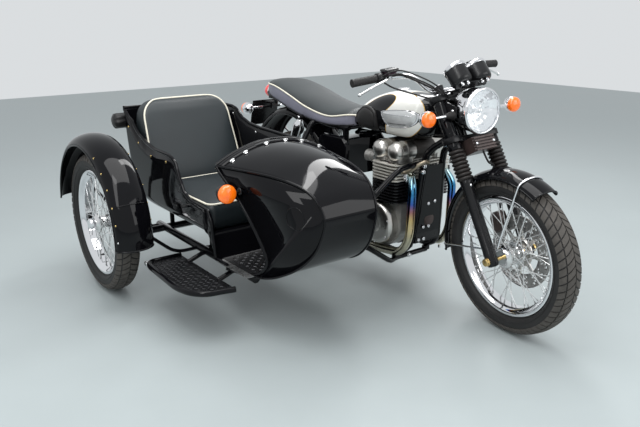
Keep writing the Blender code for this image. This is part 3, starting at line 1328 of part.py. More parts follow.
def tub_solid(inset, front):
    """The tub's outside, or its hollow when inset by the wall."""
    top = BODY_FLOOR_Z + TUB_HEIGHT + (OVERRUN if inset else 0)
    section = body_section(BODY_HALF_WIDTH - inset, BODY_FLOOR_Z + inset, top, TUB_CORNER - inset)
    rear = TUB_REAR_X - OVERRUN
    trough = loft([[Vector((x, y, z)) for y, z in section] for x in (rear, front)])
    outline = []
    for x, z in TUB_PROFILE_SHARES:
        outline.append((TUB_REAR_X + inset + TUB_LENGTH * x, BODY_FLOOR_Z + inset + TUB_HEIGHT * z))
    outline += [(front, BODY_FLOOR_Z + inset), (front, top + OVERRUN), (outline[0][0], top + OVERRUN)]
    sides = BODY_HALF_WIDTH + OVERRUN
    profile = prism(outline, BODY_Y - sides, BODY_Y + sides)
    return combine(trough, [profile], "INTERSECT")


def sidecar_tub():
    shell = tub_solid(0, TUB_REAR_X + TUB_LENGTH)
    hollow = tub_solid(BODY_WALL, TUB_REAR_X + TUB_LENGTH + OVERRUN)
    above = BODY_FLOOR_Z + TUB_HEIGHT + OVERRUN * 2
    front = TUB_REAR_X + TUB_LENGTH + OVERRUN * 2
    tools = [hollow]
    for edge, low, high in (
        (TUB_RIGHT_EDGE_SHARES, -BODY_HALF_WIDTH - OVERRUN, 0),
        (TUB_LEFT_EDGE_SHARES, 0, BODY_HALF_WIDTH + OVERRUN),
    ):
        line = tub_top(edge)
        outline = [(line[0][0] - OVERRUN, line[0][1])] + line
        outline += [(front, line[-1][1]), (front, above), (line[0][0] - OVERRUN, above)]
        tools.append(prism(outline, BODY_Y + low, BODY_Y + high))
    return cut(shell, *tools)


def nose_half_width(x):
    return BODY_HALF_WIDTH - NOSE_TOE_IN * (x - NOSE_REAR_X)


def nose_solid(inset, rear_shift):
    """The nose between its two flat sides, its top crowned towards the rear."""
    rings = []
    for across in NOSE_ACROSS_SHARES:
        ring = []
        for along, up, crown in NOSE_PROFILE_SHARES:
            x = NOSE_REAR_X + NOSE_LENGTH * along
            z = BODY_FLOOR_Z + NOSE_HEIGHT * up
            if along == 0:
                x -= rear_shift + (COWL_LEAN if up == 1 else 0)
            else:
                x -= inset * min(1, along * 1.3)
            z += COWL_CROWN * crown * (1 - across ** 2)
            z += inset * (1 - 2 * up)
            half = nose_half_width(x) - inset * 1.1
            ring.append(Vector((x, BODY_Y + across * half, z)))
        rings.append(ring)
    return loft(rings)


def sidecar_nose():
    shell = nose_solid(0, 0)
    hollow = nose_solid(BODY_WALL, OVERRUN)
    door = [
        (NOSE_REAR_X + NOSE_LENGTH * along, BODY_FLOOR_Z + NOSE_HEIGHT * up)
        for along, up in DOOR_EDGE_SHARES
    ]
    door += [(NOSE_REAR_X - OVERRUN, door[-1][1]), (NOSE_REAR_X - OVERRUN, door[0][1])]
    opening = prism(door, BODY_Y - BODY_HALF_WIDTH - OVERRUN, BODY_Y - BODY_HALF_WIDTH * 0.6)
    return cut(shell, hollow, opening)


def seat_back():
    outline = tub_top(SEAT_BACK_SHARES)
    half = BODY_HALF_WIDTH - BODY_WALL - CUSHION_GAP
    return bevelled(prism(outline, BODY_Y - half, BODY_Y + half), CUSHION_EDGE, 2)


def seat_cushion():
    half = BODY_HALF_WIDTH - BODY_WALL - CUSHION_GAP
    low = tub_top(CUSHION_SHARES[:1])[0]
    high = tub_top(CUSHION_SHARES[1:])[0]
    base = BODY_FLOOR_Z + TUB_HEIGHT * SEAT_PAN_SHARE + BODY_WALL + SEAT_GAP
    return bevelled(box((low[0], BODY_Y - half, base), (high[0], BODY_Y + half, high[1])), CUSHION_EDGE, 2)


def hood_roll():
    lean = (TUB_PROFILE_SHARES[0][1] - HOOD_UP_SHARE) / (TUB_PROFILE_SHARES[0][1] - TUB_PROFILE_SHARES[1][1])
    x = TUB_REAR_X + TUB_LENGTH * TUB_PROFILE_SHARES[1][0] * lean - HOOD_RADIUS - SEAT_GAP
    z = BODY_FLOOR_Z + TUB_HEIGHT * HOOD_UP_SHARE
    half = BODY_HALF_WIDTH + HOOD_OVERHANG
    profile = [
        (-half, HOOD_RADIUS * 0.75), (-half * 0.94, HOOD_RADIUS),
        (half * 0.94, HOOD_RADIUS), (half, HOOD_RADIUS * 0.75)]
    return turned((x, BODY_Y, z), (0, 1, 0), profile, 12, (0, 0, 1))


def step_outline():
    inner = BODY_Y - BODY_HALF_WIDTH
    return [(STEP_REAR_X + STEP_LENGTH * x, inner - STEP_WIDTH * y) for x, y in STEP_SHARES]


def sidecar_step():
    outline = step_outline()
    plate = loft([
        [Vector((x, y, z)) for x, y in outline]
        for z in (STEP_Z - STEP_PLATE_THICKNESS / 2, STEP_Z + STEP_PLATE_THICKNESS / 2)
    ])
    rim = tube(rounded([(x, y, STEP_Z) for x, y in outline], STEP_BEND, 2), STEP_TUBE_RADIUS, 8)
    rail = rail_y(-1) - flat(CHASSIS_TUBE_RADIUS) - SEAT_GAP
    arms = [
        tube([
            (x, outline[0][1] - STEP_TUBE_RADIUS, STEP_Z),
            (x, rail - STEP_TUBE_RADIUS, CHASSIS_Z), (x, rail, CHASSIS_Z)],
             STEP_TUBE_RADIUS * 0.8, 8)
        for x in (STEP_REAR_X + STEP_LENGTH * 0.2, STEP_REAR_X + STEP_LENGTH * 0.75)
    ]
    return fuse(plate, rim, *arms)


def rail_y(side):
    return BODY_Y + side * RAIL_HALF_SPAN


def sidecar_chassis():
    rails = [
        tube([(x, rail_y(side), CHASSIS_Z) for x in (CHASSIS_REAR_X, CHASSIS_FRONT_X)], CHASSIS_TUBE_RADIUS)
        for side in (-1, 1)
    ]
    crosses = [
        tube([(x, rail_y(-1), CHASSIS_Z), (x, rail_y(1), CHASSIS_Z)], CHASSIS_TUBE_RADIUS * 0.9)
        for x in (CHASSIS_FRONT_X - CHASSIS_TUBE_RADIUS * 2, CHASSIS_MIDDLE_X)
    ]
    outer = KNUCKLE_Y + KNUCKLE_WIDTH / 2
    beam = tube(
        [(SIDECAR_WHEEL_X, rail_y(1), CHASSIS_Z), (SIDECAR_WHEEL_X, outer, CHASSIS_Z)],
        CHASSIS_TUBE_RADIUS * 0.95)
    knuckle = box(
        (SIDECAR_WHEEL_X - KNUCKLE_HALF, KNUCKLE_Y - KNUCKLE_WIDTH / 2, CHASSIS_Z - CHASSIS_TUBE_RADIUS * 0.7),
        (SIDECAR_WHEEL_X + KNUCKLE_HALF, KNUCKLE_Y + KNUCKLE_WIDTH / 2, FRONT_TYRE_RADIUS + KNUCKLE_HALF))
    tub_base = BODY_FLOOR_Z + TUB_HEIGHT * SEAT_PAN_SHARE
    posts = [
        turned((x, side * POST_HALF_SPAN + BODY_Y, CHASSIS_Z), (0, 0, 1),
               [(0, POST_RADIUS), (tub_base - SEAT_GAP - CHASSIS_Z, POST_RADIUS)], 8)
        for x in (SIDECAR_WHEEL_X, CHASSIS_MIDDLE_X)
        for side in (-1, 1)
    ]
    form = fuse(rails[0], rails[1], *crosses, beam, knuckle, *posts)
    bore = AXLE_RADIUS + SEAT_GAP * 2
    centre = (SIDECAR_WHEEL_X, KNUCKLE_Y, FRONT_TYRE_RADIUS)
    return cut(form, turned(centre, (0, 1, 0), [(-KNUCKLE_WIDTH, bore), (KNUCKLE_WIDTH, bore)], 12))


def sidecar_axle():
    """A stub through the knuckle and the hub, with a nut at each end."""
    inner = KNUCKLE_Y + KNUCKLE_WIDTH / 2 + SEAT_GAP
    outer = SIDECAR_WHEEL_Y - HUB_HALF - AXLE_PLAY
    nut = AXLE_RADIUS * 1.9
    profile = [
        (inner + AXLE_NUT_LENGTH, nut), (inner, nut), (inner, AXLE_RADIUS), (outer, AXLE_RADIUS),
        (outer, nut), (outer - AXLE_NUT_LENGTH, nut)]
    return turned((SIDECAR_WHEEL_X, 0, FRONT_TYRE_RADIUS), (0, 1, 0), profile[::-1], 12)


def sidecar_mudguard():
    section = guard_section(SIDE_GUARD_RADIUS, SIDE_GUARD_HALF, SIDE_GUARD_HALF * 0.6, GUARD_SKIN)
    guard = arc_sweep(
        section, SIDECAR_WHEEL_X, FRONT_TYRE_RADIUS, SIDECAR_WHEEL_Y, SIDE_GUARD_FROM, SIDE_GUARD_TO, 14)
    inner = SIDECAR_WHEEL_Y + SIDE_GUARD_HALF - GUARD_SKIN
    edge = SIDE_GUARD_RADIUS - SIDE_GUARD_HALF * 0.55
    rail = rail_y(-1) - flat(CHASSIS_TUBE_RADIUS) - SEAT_GAP
    front = Vector((SIDECAR_WHEEL_X + edge, inner, FRONT_TYRE_RADIUS))
    rear = Vector((SIDECAR_WHEEL_X - edge, inner, FRONT_TYRE_RADIUS + SIDE_GUARD_HALF))
    seat = Vector((CHASSIS_REAR_X + STAY_RADIUS * 2, rail, CHASSIS_Z))
    stays = [
        tube([front, (front.x, (inner + rail) / 2, CHASSIS_Z), (front.x, rail, CHASSIS_Z)], STAY_RADIUS, 6),
        tube([
            rear, (rear.x * 0.6, inner * 0.5 + rail * 0.5, CHASSIS_Z),
            (seat.x, rail - STAY_RADIUS * 3, CHASSIS_Z), seat],
             STAY_RADIUS, 6),
    ]
    return fuse(guard, *stays)


def downtube_place(z):
    """The middle of the right downtube at a height."""
    high, low = at(CRADLE_SHARES[0]), at(CRADLE_SHARES[1])
    place = high.lerp(low, (high.z - z) / (high.z - low.z))
    return Vector((place.x, -place.y, place.z))


def strut_front():
    """From the sidecar's rail, one stay up to the right downtube and one down under both lower rails."""
    rail = Vector((FRONT_STRUT_X, rail_y(1) + flat(CHASSIS_TUBE_RADIUS) + SEAT_GAP, CHASSIS_Z))
    foot = Vector((rail.x, BODY_Y + BODY_HALF_WIDTH + STRUT_RADIUS * 2, rail.z))
    side = downtube_place(UPPER_STRUT_Z) + Vector((0, -TUBE_RADIUS - SEAT_GAP * 3, 0))
    near = side + Vector((0, -EXHAUST_HALF_SPAN, 0))
    elbow = Vector((side.x, foot.y, UPPER_STRUT_Z - STRUT_DROP))
    upper = tube(rounded([rail, foot, elbow, near, side], STRUT_BEND), STRUT_RADIUS)
    low = LOWER_RAIL_Z - TUBE_RADIUS - HEADER_RADIUS
    x = at(CRADLE_SHARES[2]).x - STRUT_RADIUS * 2
    bend = Vector((side.x - STRUT_BEND, foot.y, BODY_FLOOR_Z + STRUT_BEND))
    turn = Vector((x + STRUT_BEND / 2, -EXHAUST_HALF_SPAN * 1.2, low))
    path = [
        foot - Vector((0, STRUT_RADIUS * 1.5, 0)), bend, turn,
        (x, -FRAME_HALF_WIDTH, low), (x, FRAME_HALF_WIDTH, low)]
    lower = tube(rounded(path, STRUT_BEND), STRUT_RADIUS * 0.96)
    clamps = [
        box(
            (x - STRUT_RADIUS, side * FRAME_HALF_WIDTH - STRUT_RADIUS, low),
            (x + STRUT_RADIUS, side * FRAME_HALF_WIDTH + STRUT_RADIUS, LOWER_RAIL_Z - TUBE_RADIUS - SEAT_GAP))
        for side in (-1, 1)
    ]
    return fuse(upper, lower, *clamps)


def strut_rear():
    """From the sidecar's rail, one stay to the frame's upright and one to the seat rail."""
    rail = Vector((REAR_STRUT_X, rail_y(1) + flat(CHASSIS_TUBE_RADIUS) + SEAT_GAP, CHASSIS_Z))
    foot = Vector((rail.x, BODY_Y + BODY_HALF_WIDTH + STRUT_RADIUS * 2, rail.z))
    upright = at(CRADLE_SHARES[-1])
    low_end = Vector((upright.x, -upright.y - TUBE_RADIUS - SEAT_GAP * 3, REAR_STRUT_Z))
    high_end = rail_point(REAR_STRUT_SHARE, -1) + Vector((0, -flat(RAIL_RADIUS) - SEAT_GAP * 3, 0))
    rise = Vector((0, STRUT_RADIUS, REAR_STRUT_Z - CHASSIS_Z - STRUT_DROP))
    low_bend = low_end + Vector((0, -STRUT_RADIUS * 3, 0))
    low = tube(rounded([rail, foot, low_bend, low_end], STRUT_BEND), STRUT_RADIUS)
    high = tube(rounded([
        foot - Vector((0, STRUT_RADIUS * 1.5, 0)), foot + rise,
        high_end + Vector((0, -STRUT_RADIUS * 3, 0)), high_end], STRUT_BEND), STRUT_RADIUS)
    return fuse(low, high)


def sidecar_indicator():
    y = BODY_Y - nose_half_width(SIDE_INDICATOR_X) - SEAT_GAP
    root = Vector((SIDE_INDICATOR_X, y - INDICATOR_STEM_RADIUS * NOSE_TOE_IN, SIDE_INDICATOR_Z))
    tip = Vector((SIDE_INDICATOR_X, y - SIDE_INDICATOR_REACH, SIDE_INDICATOR_Z))
    return indicator(root, tip, 1, SIDE_INDICATOR_RADIUS)


# Assembly

def build():
    clear_scene()
    root = empty("root", Matrix.Identity(4))
    axis_turn = Matrix.Rotation(-RAKE, 4, "Y")
    steering = empty("steering", Matrix.Translation(fork_point(FOOT_S, -FORK_OFFSET, 0)) @ axis_turn, root)
    wheels = {
        "front": Vector((WHEELBASE, 0, AXLE_HEIGHT)),
        "rear": Vector((0, 0, REAR_TYRE_RADIUS)),
        "sidecar": Vector((SIDECAR_WHEEL_X, SIDECAR_WHEEL_Y, FRONT_TYRE_RADIUS)),
    }
    on_wheel = {
        "front": [(tyre(FRONT_TYRE_RADIUS, FRONT_TYRE_HALF, FRONT_RIM_RADIUS), "tyre", "tyre"),
                  (wire_wheel(FRONT_RIM_RADIUS), "wire_wheel", "chrome"), (brake_disc(), "brake_disc", "steel")],
        "rear": [(tyre(REAR_TYRE_RADIUS, REAR_TYRE_HALF, REAR_RIM_RADIUS), "tyre", "tyre"),
                 (wire_wheel(REAR_RIM_RADIUS), "wire_wheel", "chrome")],
        "sidecar": [(tyre(FRONT_TYRE_RADIUS, FRONT_TYRE_HALF, FRONT_RIM_RADIUS), "tyre", "tyre"),
                    (wire_wheel(FRONT_RIM_RADIUS), "wire_wheel", "chrome")],
    }
    for wheel, centre in wheels.items():
        parent = steering if wheel == "front" else root
        hub = empty(wheel + "_wheel", Matrix.Translation(centre), parent)
        for form, part, colour in on_wheel[wheel]:
            form.data.transform(Matrix.Translation(centre))
            piece(form, wheel + "_" + part, colour, hub)

    steered = [
        (yokes(), "yokes", "satin_black"),
        (handlebar(), "handlebar", "chrome"),
        (headlamp_shell(), "headlamp_shell", "chrome"),
        (headlamp_lens(), "headlamp_lens", "lamp_glass"),
        (gauges(), "gauges", "satin_black"),
        (front_mudguard(), "front_mudguard", "gloss_black"),
        (front_caliper(), "front_caliper", "satin_black"),
        (placed(axle(FORK_HALF_SPAN + SLIDER_RADIUS + SEAT_GAP), wheels["front"]), "front_axle", "brass"),
    ]
    for side, word in ((-1, "right"), (1, "left")):
        steered += [
            (fork_leg(side), "fork_leg_" + word, "gloss_black"),
            (gaiter(side), "fork_gaiter_" + word, "rubber"),
        ]
    for form, name, colour in steered:
        piece(form, name, colour, steering)

    fixed = [
        (frame(), "frame", "gloss_black"),
        (crankcase(), "crankcase", "cast_alloy"),
        (cylinder_barrel(), "cylinder_barrel", "satin_black"),
        (cylinder_head(), "cylinder_head", "cast_alloy"),
        (cam_covers(), "cam_covers", "cast_alloy"),
        (carburettors(), "carburettors", "cast_alloy"),
        (swingarm(), "swingarm", "satin_black"),
        (placed(axle(SWINGARM_HALF_WIDTH + ARM_RADIUS + SEAT_GAP), wheels["rear"]), "rear_axle", "steel"),
        (rear_mudguard(), "rear_mudguard", "gloss_black"),
        (tail_bracket(), "tail_bracket", "satin_black"),
        (tail_lamp(), "tail_lamp", "red_lens"),
        (fuel_tank(), "fuel_tank", "cream_paint"),
        (dual_seat(), "dual_seat", "vinyl"),
        (side_panels(), "side_panels", "gloss_black"),
        (sidecar_tub(), "sidecar_tub", "gloss_black"),
        (sidecar_nose(), "sidecar_nose", "gloss_black"),
        (seat_back(), "sidecar_seat_back", "vinyl"),
        (seat_cushion(), "sidecar_seat_cushion", "vinyl"),
        (hood_roll(), "sidecar_hood", "vinyl"),
        (sidecar_step(), "sidecar_step", "gloss_black"),
        (sidecar_chassis(), "sidecar_chassis", "gloss_black"),
        (sidecar_axle(), "sidecar_axle", "steel"),
        (sidecar_mudguard(), "sidecar_mudguard", "gloss_black"),
        (strut_front(), "strut_front", "gloss_black"),
        (strut_rear(), "strut_rear", "gloss_black"),
        (sidecar_indicator(), "sidecar_indicator", "amber_lens"),
    ]
    for side, word in ((-1, "right"), (1, "left")):
        fixed += [
            (exhaust(side), "exhaust_" + word, "tinted_steel"),
            (shock(side), "shock_" + word, "chrome"),
        ]
    for form, name, colour in fixed:
        piece(form, name, colour, root)

    steering.matrix_basis = steering.matrix_basis @ Matrix.Rotation(STEER_AT_REST, 4, "Z")
    stand_at_origin(root)


def placed(form, centre):
    form.data.transform(Matrix.Translation(centre))
    return form


def stand_at_origin(root):
    """Moves the whole machine so that its origin is at the middle of its base."""
    bpy.context.view_layer.update()
    corners = [
        obj.matrix_world @ vertex.co
        for obj in bpy.context.scene.objects
        if obj.type == "MESH"
        for vertex in obj.data.vertices
    ]
    low = Vector([min(corner[i] for corner in corners) for i in range(3)])
    high = Vector([max(corner[i] for corner in corners) for i in range(3)])
    root.location = Vector((-(low.x + high.x) / 2, -(low.y + high.y) / 2, -low.z))
    bpy.context.view_layer.update()


build()
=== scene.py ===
# Looks of a motorcycle with a sidecar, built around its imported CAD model. Metres, +Z up.
# Pieces are laid out in the motorcycle's own frame, as in the CAD source: +X forward, +Y to the left,
# origin on the ground under the rear axle. Two matrices carry them to the shared frame.

import json
import math

import bmesh
import bpy
from mathutils import Matrix, Vector
from mathutils.kdtree import KDTree


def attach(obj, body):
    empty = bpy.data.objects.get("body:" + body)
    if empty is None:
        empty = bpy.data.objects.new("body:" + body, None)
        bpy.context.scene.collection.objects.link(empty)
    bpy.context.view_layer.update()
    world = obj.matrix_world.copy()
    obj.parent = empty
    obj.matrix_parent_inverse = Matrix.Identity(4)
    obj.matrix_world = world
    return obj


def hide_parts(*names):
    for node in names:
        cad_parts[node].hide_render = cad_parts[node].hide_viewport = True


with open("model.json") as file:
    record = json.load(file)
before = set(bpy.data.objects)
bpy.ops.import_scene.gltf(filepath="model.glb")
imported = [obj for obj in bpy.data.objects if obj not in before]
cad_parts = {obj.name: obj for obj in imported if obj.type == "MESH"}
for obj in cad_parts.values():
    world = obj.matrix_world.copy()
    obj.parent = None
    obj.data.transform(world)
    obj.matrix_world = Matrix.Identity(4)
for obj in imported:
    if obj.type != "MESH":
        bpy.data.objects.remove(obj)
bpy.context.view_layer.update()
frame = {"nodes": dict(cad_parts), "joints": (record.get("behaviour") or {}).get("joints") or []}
JOINTS = {joint["name"]: joint for joint in frame["joints"]}

# Driving sizes, as in the CAD source
WHEELBASE = 1.5000
RAKE = math.radians(28)
TRAIL = 0.1100
STEER_AT_REST = math.radians(-7.6)
FRONT_RADIUS = 0.3310
FRONT_HALF = 0.0525
FRONT_RIM = 0.2525
REAR_RADIUS = 0.3200
REAR_HALF = 0.0650
REAR_RIM = 0.2270
LEG_LENGTH = 0.7130
FORK_HALF_SPAN = 0.1000
FRAME_HEIGHT = 0.8000
BODY_Y = -0.6550
BODY_HALF = 0.2650
BODY_FLOOR = 0.2600
WALL = 0.0140
TUB_REAR = -0.2400
TUB_LENGTH = 1.0100
TUB_HEIGHT = 0.5500
NOSE_REAR = 0.7703
NOSE_LENGTH = 0.4940
NOSE_HEIGHT = 0.4360
NOSE_TOE_IN = 0.2870
SIDE_WHEEL = Vector((0.0250, -1.1640, FRONT_RADIUS))

# Places that several pieces share
BODY_RIGHT = BODY_Y - BODY_HALF
BODY_LEFT = BODY_Y + BODY_HALF
RAIL_Y = BODY_Y - 0.20 - 0.0176
RAIL_Z = 0.2407
LAMP_FACE = 1.3306 - 0.0160 * 1.4
LAMP_Z = 0.9000
FORK_LAMP_X, FORK_LAMP_Z = 1.2606, 0.8900
REAR_LAMP_X, REAR_LAMP_Z = -0.2850, 0.7500
SEAT_REAR, SEAT_LENGTH = -0.2003, 0.8000
BAR_ALONG, BAR_AHEAD = LEG_LENGTH * 1.0365, -0.0450

X_AXIS, Y_AXIS, Z_AXIS = Vector((1, 0, 0)), Vector((0, 1, 0)), Vector((0, 0, 1))
SIDES = ((-1, "right"), (1, "left"))
UP_LEG = Vector((-math.sin(RAKE), 0, math.cos(RAKE)))
AHEAD = Vector((math.cos(RAKE), 0, math.sin(RAKE)))
FRONT_AXLE = Vector((WHEELBASE, 0, FRONT_RADIUS))
STEER_FOOT = Vector((WHEELBASE + TRAIL, 0, 0))

ROOT = Vector(JOINTS["rear_wheel_spin"]["pos_m"]) - Vector((0, 0, REAR_RADIUS))
FIXED = Matrix.Translation(ROOT)
STEERED = (
    FIXED @ Matrix.Translation(STEER_FOOT)
    @ Matrix.Rotation(STEER_AT_REST, 4, UP_LEG)
    @ Matrix.Translation(-STEER_FOOT)
)
PLACE = {
    "chassis": FIXED, "rear_wheel": FIXED, "sidecar_wheel": FIXED,
    "steering": STEERED, "front_wheel": STEERED,
}

# Camera, solved from the photograph
CAMERA_PLACE = Vector((3.0970, -2.1720, 1.2880))
CAMERA_YAW = math.radians(143.194)
CAMERA_PITCH = math.radians(-16.777)
CAMERA_ROLL = math.radians(-0.292)
CAMERA_LENS_MM = 37.73


def fork_point(s, w, y):
    """A place on the fork: s up the legs from the axle, w forward and square to them, y to the left."""
    return FRONT_AXLE + UP_LEG * s + AHEAD * w + Vector((0, y, 0))


# Materials

def shader(name, colour, roughness, metallic=0.0, coat=0.0, **inputs):
    """A material with a Principled shader. Returns the material, its nodes' maker and the shader."""
    made = bpy.data.materials.new(name)
    made.use_nodes = True
    tree = made.node_tree
    bsdf = tree.nodes["Principled BSDF"]
    bsdf.inputs["Base Color"].default_value = (*colour, 1)
    bsdf.inputs["Roughness"].default_value = roughness
    bsdf.inputs["Metallic"].default_value = metallic
    bsdf.inputs["Coat Weight"].default_value = coat
    bsdf.inputs["Coat Roughness"].default_value = 0.04
    for key, value in inputs.items():
        bsdf.inputs[key.replace("_", " ")].default_value = value

    def add(kind, **settings):
        node = tree.nodes.new("ShaderNode" + kind)
        for key, value in settings.items():
            if key in node.inputs:
                node.inputs[key].default_value = value
            elif hasattr(node, key):
                setattr(node, key, value)
            else:
                node.inputs[key.replace("_", " ")].default_value = value
        return node

    return made, add, bsdf, tree.links.new


def ramp(add, link, source, stops):
    """A colour ramp fed by a source. Stops: place, colour."""
    node = add("ValToRGB")
    elements = node.color_ramp.elements
    while len(elements) < len(stops):
        elements.new(0.5)
    for element, (place, colour) in zip(elements, stops):
        element.position = place
        element.color = (*colour, 1)
    link(source, node.inputs["Fac"])
    return node.outputs["Color"]


def shade_of(colour, factor):
    return tuple(min(1.0, c * factor) for c in colour)


def finish(name, colour, roughness, metallic=0.0, coat=0.0, patch=8.0, vary=0.2, rough_vary=0.25,
           grain=900.0, bump=0.0, bump_mm=0.1, texture="noise", stretch=(1, 1, 1), **inputs):
    """A finish with patches of colour, uneven gloss and a fine grain."""
    made, add, bsdf, link = shader(name, colour, roughness, metallic, coat, **inputs)
    place = add("TexCoord")
    mapping = add("Mapping")
    mapping.inputs["Scale"].default_value = stretch
    link(place.outputs["Object"], mapping.inputs["Vector"])
    clouds = add("TexNoise", Scale=patch, Detail=5.0, Roughness=0.6)
    link(mapping.outputs["Vector"], clouds.inputs["Vector"])
    stops = [(0.25, shade_of(colour, 1 - vary)), (0.75, shade_of(colour, 1 + vary))]
    link(ramp(add, link, clouds.outputs["Fac"], stops), bsdf.inputs["Base Color"])
    spread = add("MapRange")
    spread.inputs["To Min"].default_value = roughness * (1 - rough_vary)
    spread.inputs["To Max"].default_value = roughness * (1 + rough_vary)
    link(clouds.outputs["Fac"], spread.inputs["Value"])
    link(spread.outputs["Result"], bsdf.inputs["Roughness"])
    if bump:
        if texture == "cells":
            fine = add("TexVoronoi", Scale=grain, feature="DISTANCE_TO_EDGE")
            height = fine.outputs["Distance"]
        else:
            fine = add("TexNoise", Scale=grain, Detail=3.0)
            height = fine.outputs["Fac"]
        link(mapping.outputs["Vector"], fine.inputs["Vector"])
        relief = add("Bump", Strength=bump, Distance=bump_mm / 1000)
        link(height, relief.inputs["Height"])
        link(relief.outputs["Normal"], bsdf.inputs["Normal"])
    return made


GLOSS = finish("gloss_black_paint", (0.003, 0.003, 0.004), 0.05, patch=5, grain=260, bump=0.02,
               bump_mm=0.2, Specular_IOR_Level=0.22)
SATIN = finish("satin_black_paint", (0.008, 0.008, 0.009), 0.27, patch=14, grain=700, bump=0.15,
               Specular_IOR_Level=0.30)
CHROME = finish("chrome_plate", (0.86, 0.86, 0.88), 0.05, 1.0, patch=7, vary=0.06, rough_vary=0.5)
ALLOY = finish("brushed_alloy", (0.60, 0.58, 0.55), 0.30, 1.0, patch=20, vary=0.12, grain=320,
               bump=0.25, stretch=(1, 0.08, 1))
CAST = finish("cast_alloy", (0.40, 0.39, 0.37), 0.42, 0.6, patch=30, vary=0.25, grain=1200,
              bump=0.6, bump_mm=0.25)
POLISHED = finish("polished_alloy", (0.80, 0.80, 0.80), 0.12, 1.0, patch=12, vary=0.1, grain=500,
                  bump=0.05)
STEEL = finish("brushed_steel", (0.45, 0.45, 0.45), 0.28, 1.0, patch=25, vary=0.2, grain=500, bump=0.2)
BRASS = finish("brass_plate", (0.72, 0.52, 0.22), 0.22, 1.0, patch=60, vary=0.25, grain=900, bump=0.2)
RUBBER = finish("moulded_rubber", (0.013, 0.012, 0.012), 0.55, patch=25, vary=0.35, grain=1400,
                bump=0.5, bump_mm=0.15, Specular_IOR_Level=0.4)
GAITER = finish("gaiter_rubber", (0.013, 0.010, 0.009), 0.46, patch=30, vary=0.3, grain=1100,
                bump=0.4, bump_mm=0.15, Specular_IOR_Level=0.4)
TYRE = finish("tyre_rubber", (0.014, 0.0135, 0.0135), 0.62, patch=18, vary=0.35, grain=1500,
              bump=0.6, bump_mm=0.2)
TREAD = finish("worn_tread_rubber", (0.070, 0.063, 0.056), 0.70, patch=40, vary=0.35, grain=1600,
               bump=0.7, bump_mm=0.2)
VINYL = finish("seat_vinyl", (0.014, 0.020, 0.023), 0.46, patch=6, vary=0.2, grain=420, bump=0.5,
               bump_mm=0.3, texture="cells")
PIPING = finish("cream_piping", (0.78, 0.74, 0.62), 0.42, patch=60, vary=0.12, grain=900, bump=0.3)
HOOD = finish("hood_cloth", (0.007, 0.007, 0.008), 0.50, patch=9, vary=0.4, grain=650, bump=0.8,
              bump_mm=0.5, texture="cells", Sheen_Weight=0.05)
WET_BLACK = finish("gloss_tread_metal", (0.085, 0.085, 0.090), 0.16, 0.7, patch=30, grain=500, bump=0.3,
                   bump_mm=0.2)
AMBER = finish("amber_lens", (1.0, 0.150, 0.004), 0.14, coat=1.0, patch=60, vary=0.3, grain=190,
               bump=0.9, bump_mm=1.2, texture="cells", Emission_Color=(1.0, 0.16, 0.0, 1),
               Emission_Strength=0.35)
RED = finish("red_lens", (0.75, 0.010, 0.008), 0.14, coat=1.0, patch=60, vary=0.3, grain=190,
             bump=0.9, bump_mm=1.2, texture="cells", Emission_Color=(0.9, 0.02, 0.01, 1),
             Emission_Strength=0.2)
CLEAR = finish("lamp_glass", (0.90, 0.93, 0.96), 0.02, patch=5, vary=0.01, grain=60, bump=0.25,
               bump_mm=0.8, stretch=(1, 3, 0.4), Alpha=0.16)
BLACK_CAP = finish("moulded_black_plastic", (0.008, 0.008, 0.009), 0.30, patch=40, grain=1300, bump=0.4,
                   Specular_IOR_Level=0.4)
SILVER = finish("silver_enamel", (0.72, 0.73, 0.73), 0.24, metallic=0.55, patch=60, vary=0.1, grain=900,
                bump=0.1)
DULL_BRASS = finish("dull_brass", (0.34, 0.29, 0.22), 0.42, 1.0, patch=60, vary=0.3, grain=900, bump=0.3)
DISC_STEEL = finish("ground_disc_steel", (0.34, 0.33, 0.32), 0.34, 1.0, patch=30, vary=0.2, grain=700,
                    bump=0.3)
# The reflector's faint emission is a painted glow that brightens its mirror finish beyond what it reflects.
REFLECTOR_GLOW = finish("lamp_reflector_painted_glow", (0.93, 0.94, 0.96), 0.10, 1.0, patch=14, vary=0.05,
                   Emission_Color=(0.90, 0.93, 0.96, 1), Emission_Strength=0.08)
DIAL = finish("dial_face", (0.75, 0.75, 0.72), 0.5, patch=40, vary=0.05)
BROWN = finish("oiled_steel", (0.060, 0.041, 0.038), 0.36, metallic=0.2, patch=20, vary=0.4,
               grain=800, bump=0.4)
TINTED = finish("tinted_reservoir", (0.075, 0.040, 0.060), 0.16, coat=0.5, patch=30, vary=0.3, grain=700,
                bump=0.1)
CAST_FIN = finish("bright_cast_fins", (0.62, 0.60, 0.55), 0.36, 0.45, patch=40, vary=0.12, grain=1200,
                  bump=0.4, bump_mm=0.2)
# Near-black band for the middle of the cam covers: painted shade standing in for their shadowed, recessed
# centre.
CAM_BAND_SHADE = finish("cam_band_painted_shade", (0.045, 0.040, 0.037), 0.50, 0.3, patch=30, vary=0.3, grain=1200,
                   bump=0.5, bump_mm=0.2)
SEAT_TOP = finish("seat_top_vinyl", (0.028, 0.034, 0.036), 0.46, patch=6, vary=0.2, grain=420, bump=0.5,
                  bump_mm=0.3, texture="cells")
# The dual seat's sides and ends are painted lighter and grey-violet: a painted reflection on the same black
# vinyl as the top.
SEAT_SIDE_SHEEN = finish("seat_side_painted_sheen", (0.215, 0.215, 0.270), 0.42, patch=6, vary=0.15, grain=420,
                   bump=0.5, bump_mm=0.3, texture="cells")
FLOOR = finish("studio_floor", (0.39, 0.435, 0.44), 0.45, patch=1.2, vary=0.05, grain=40, bump=0.05)


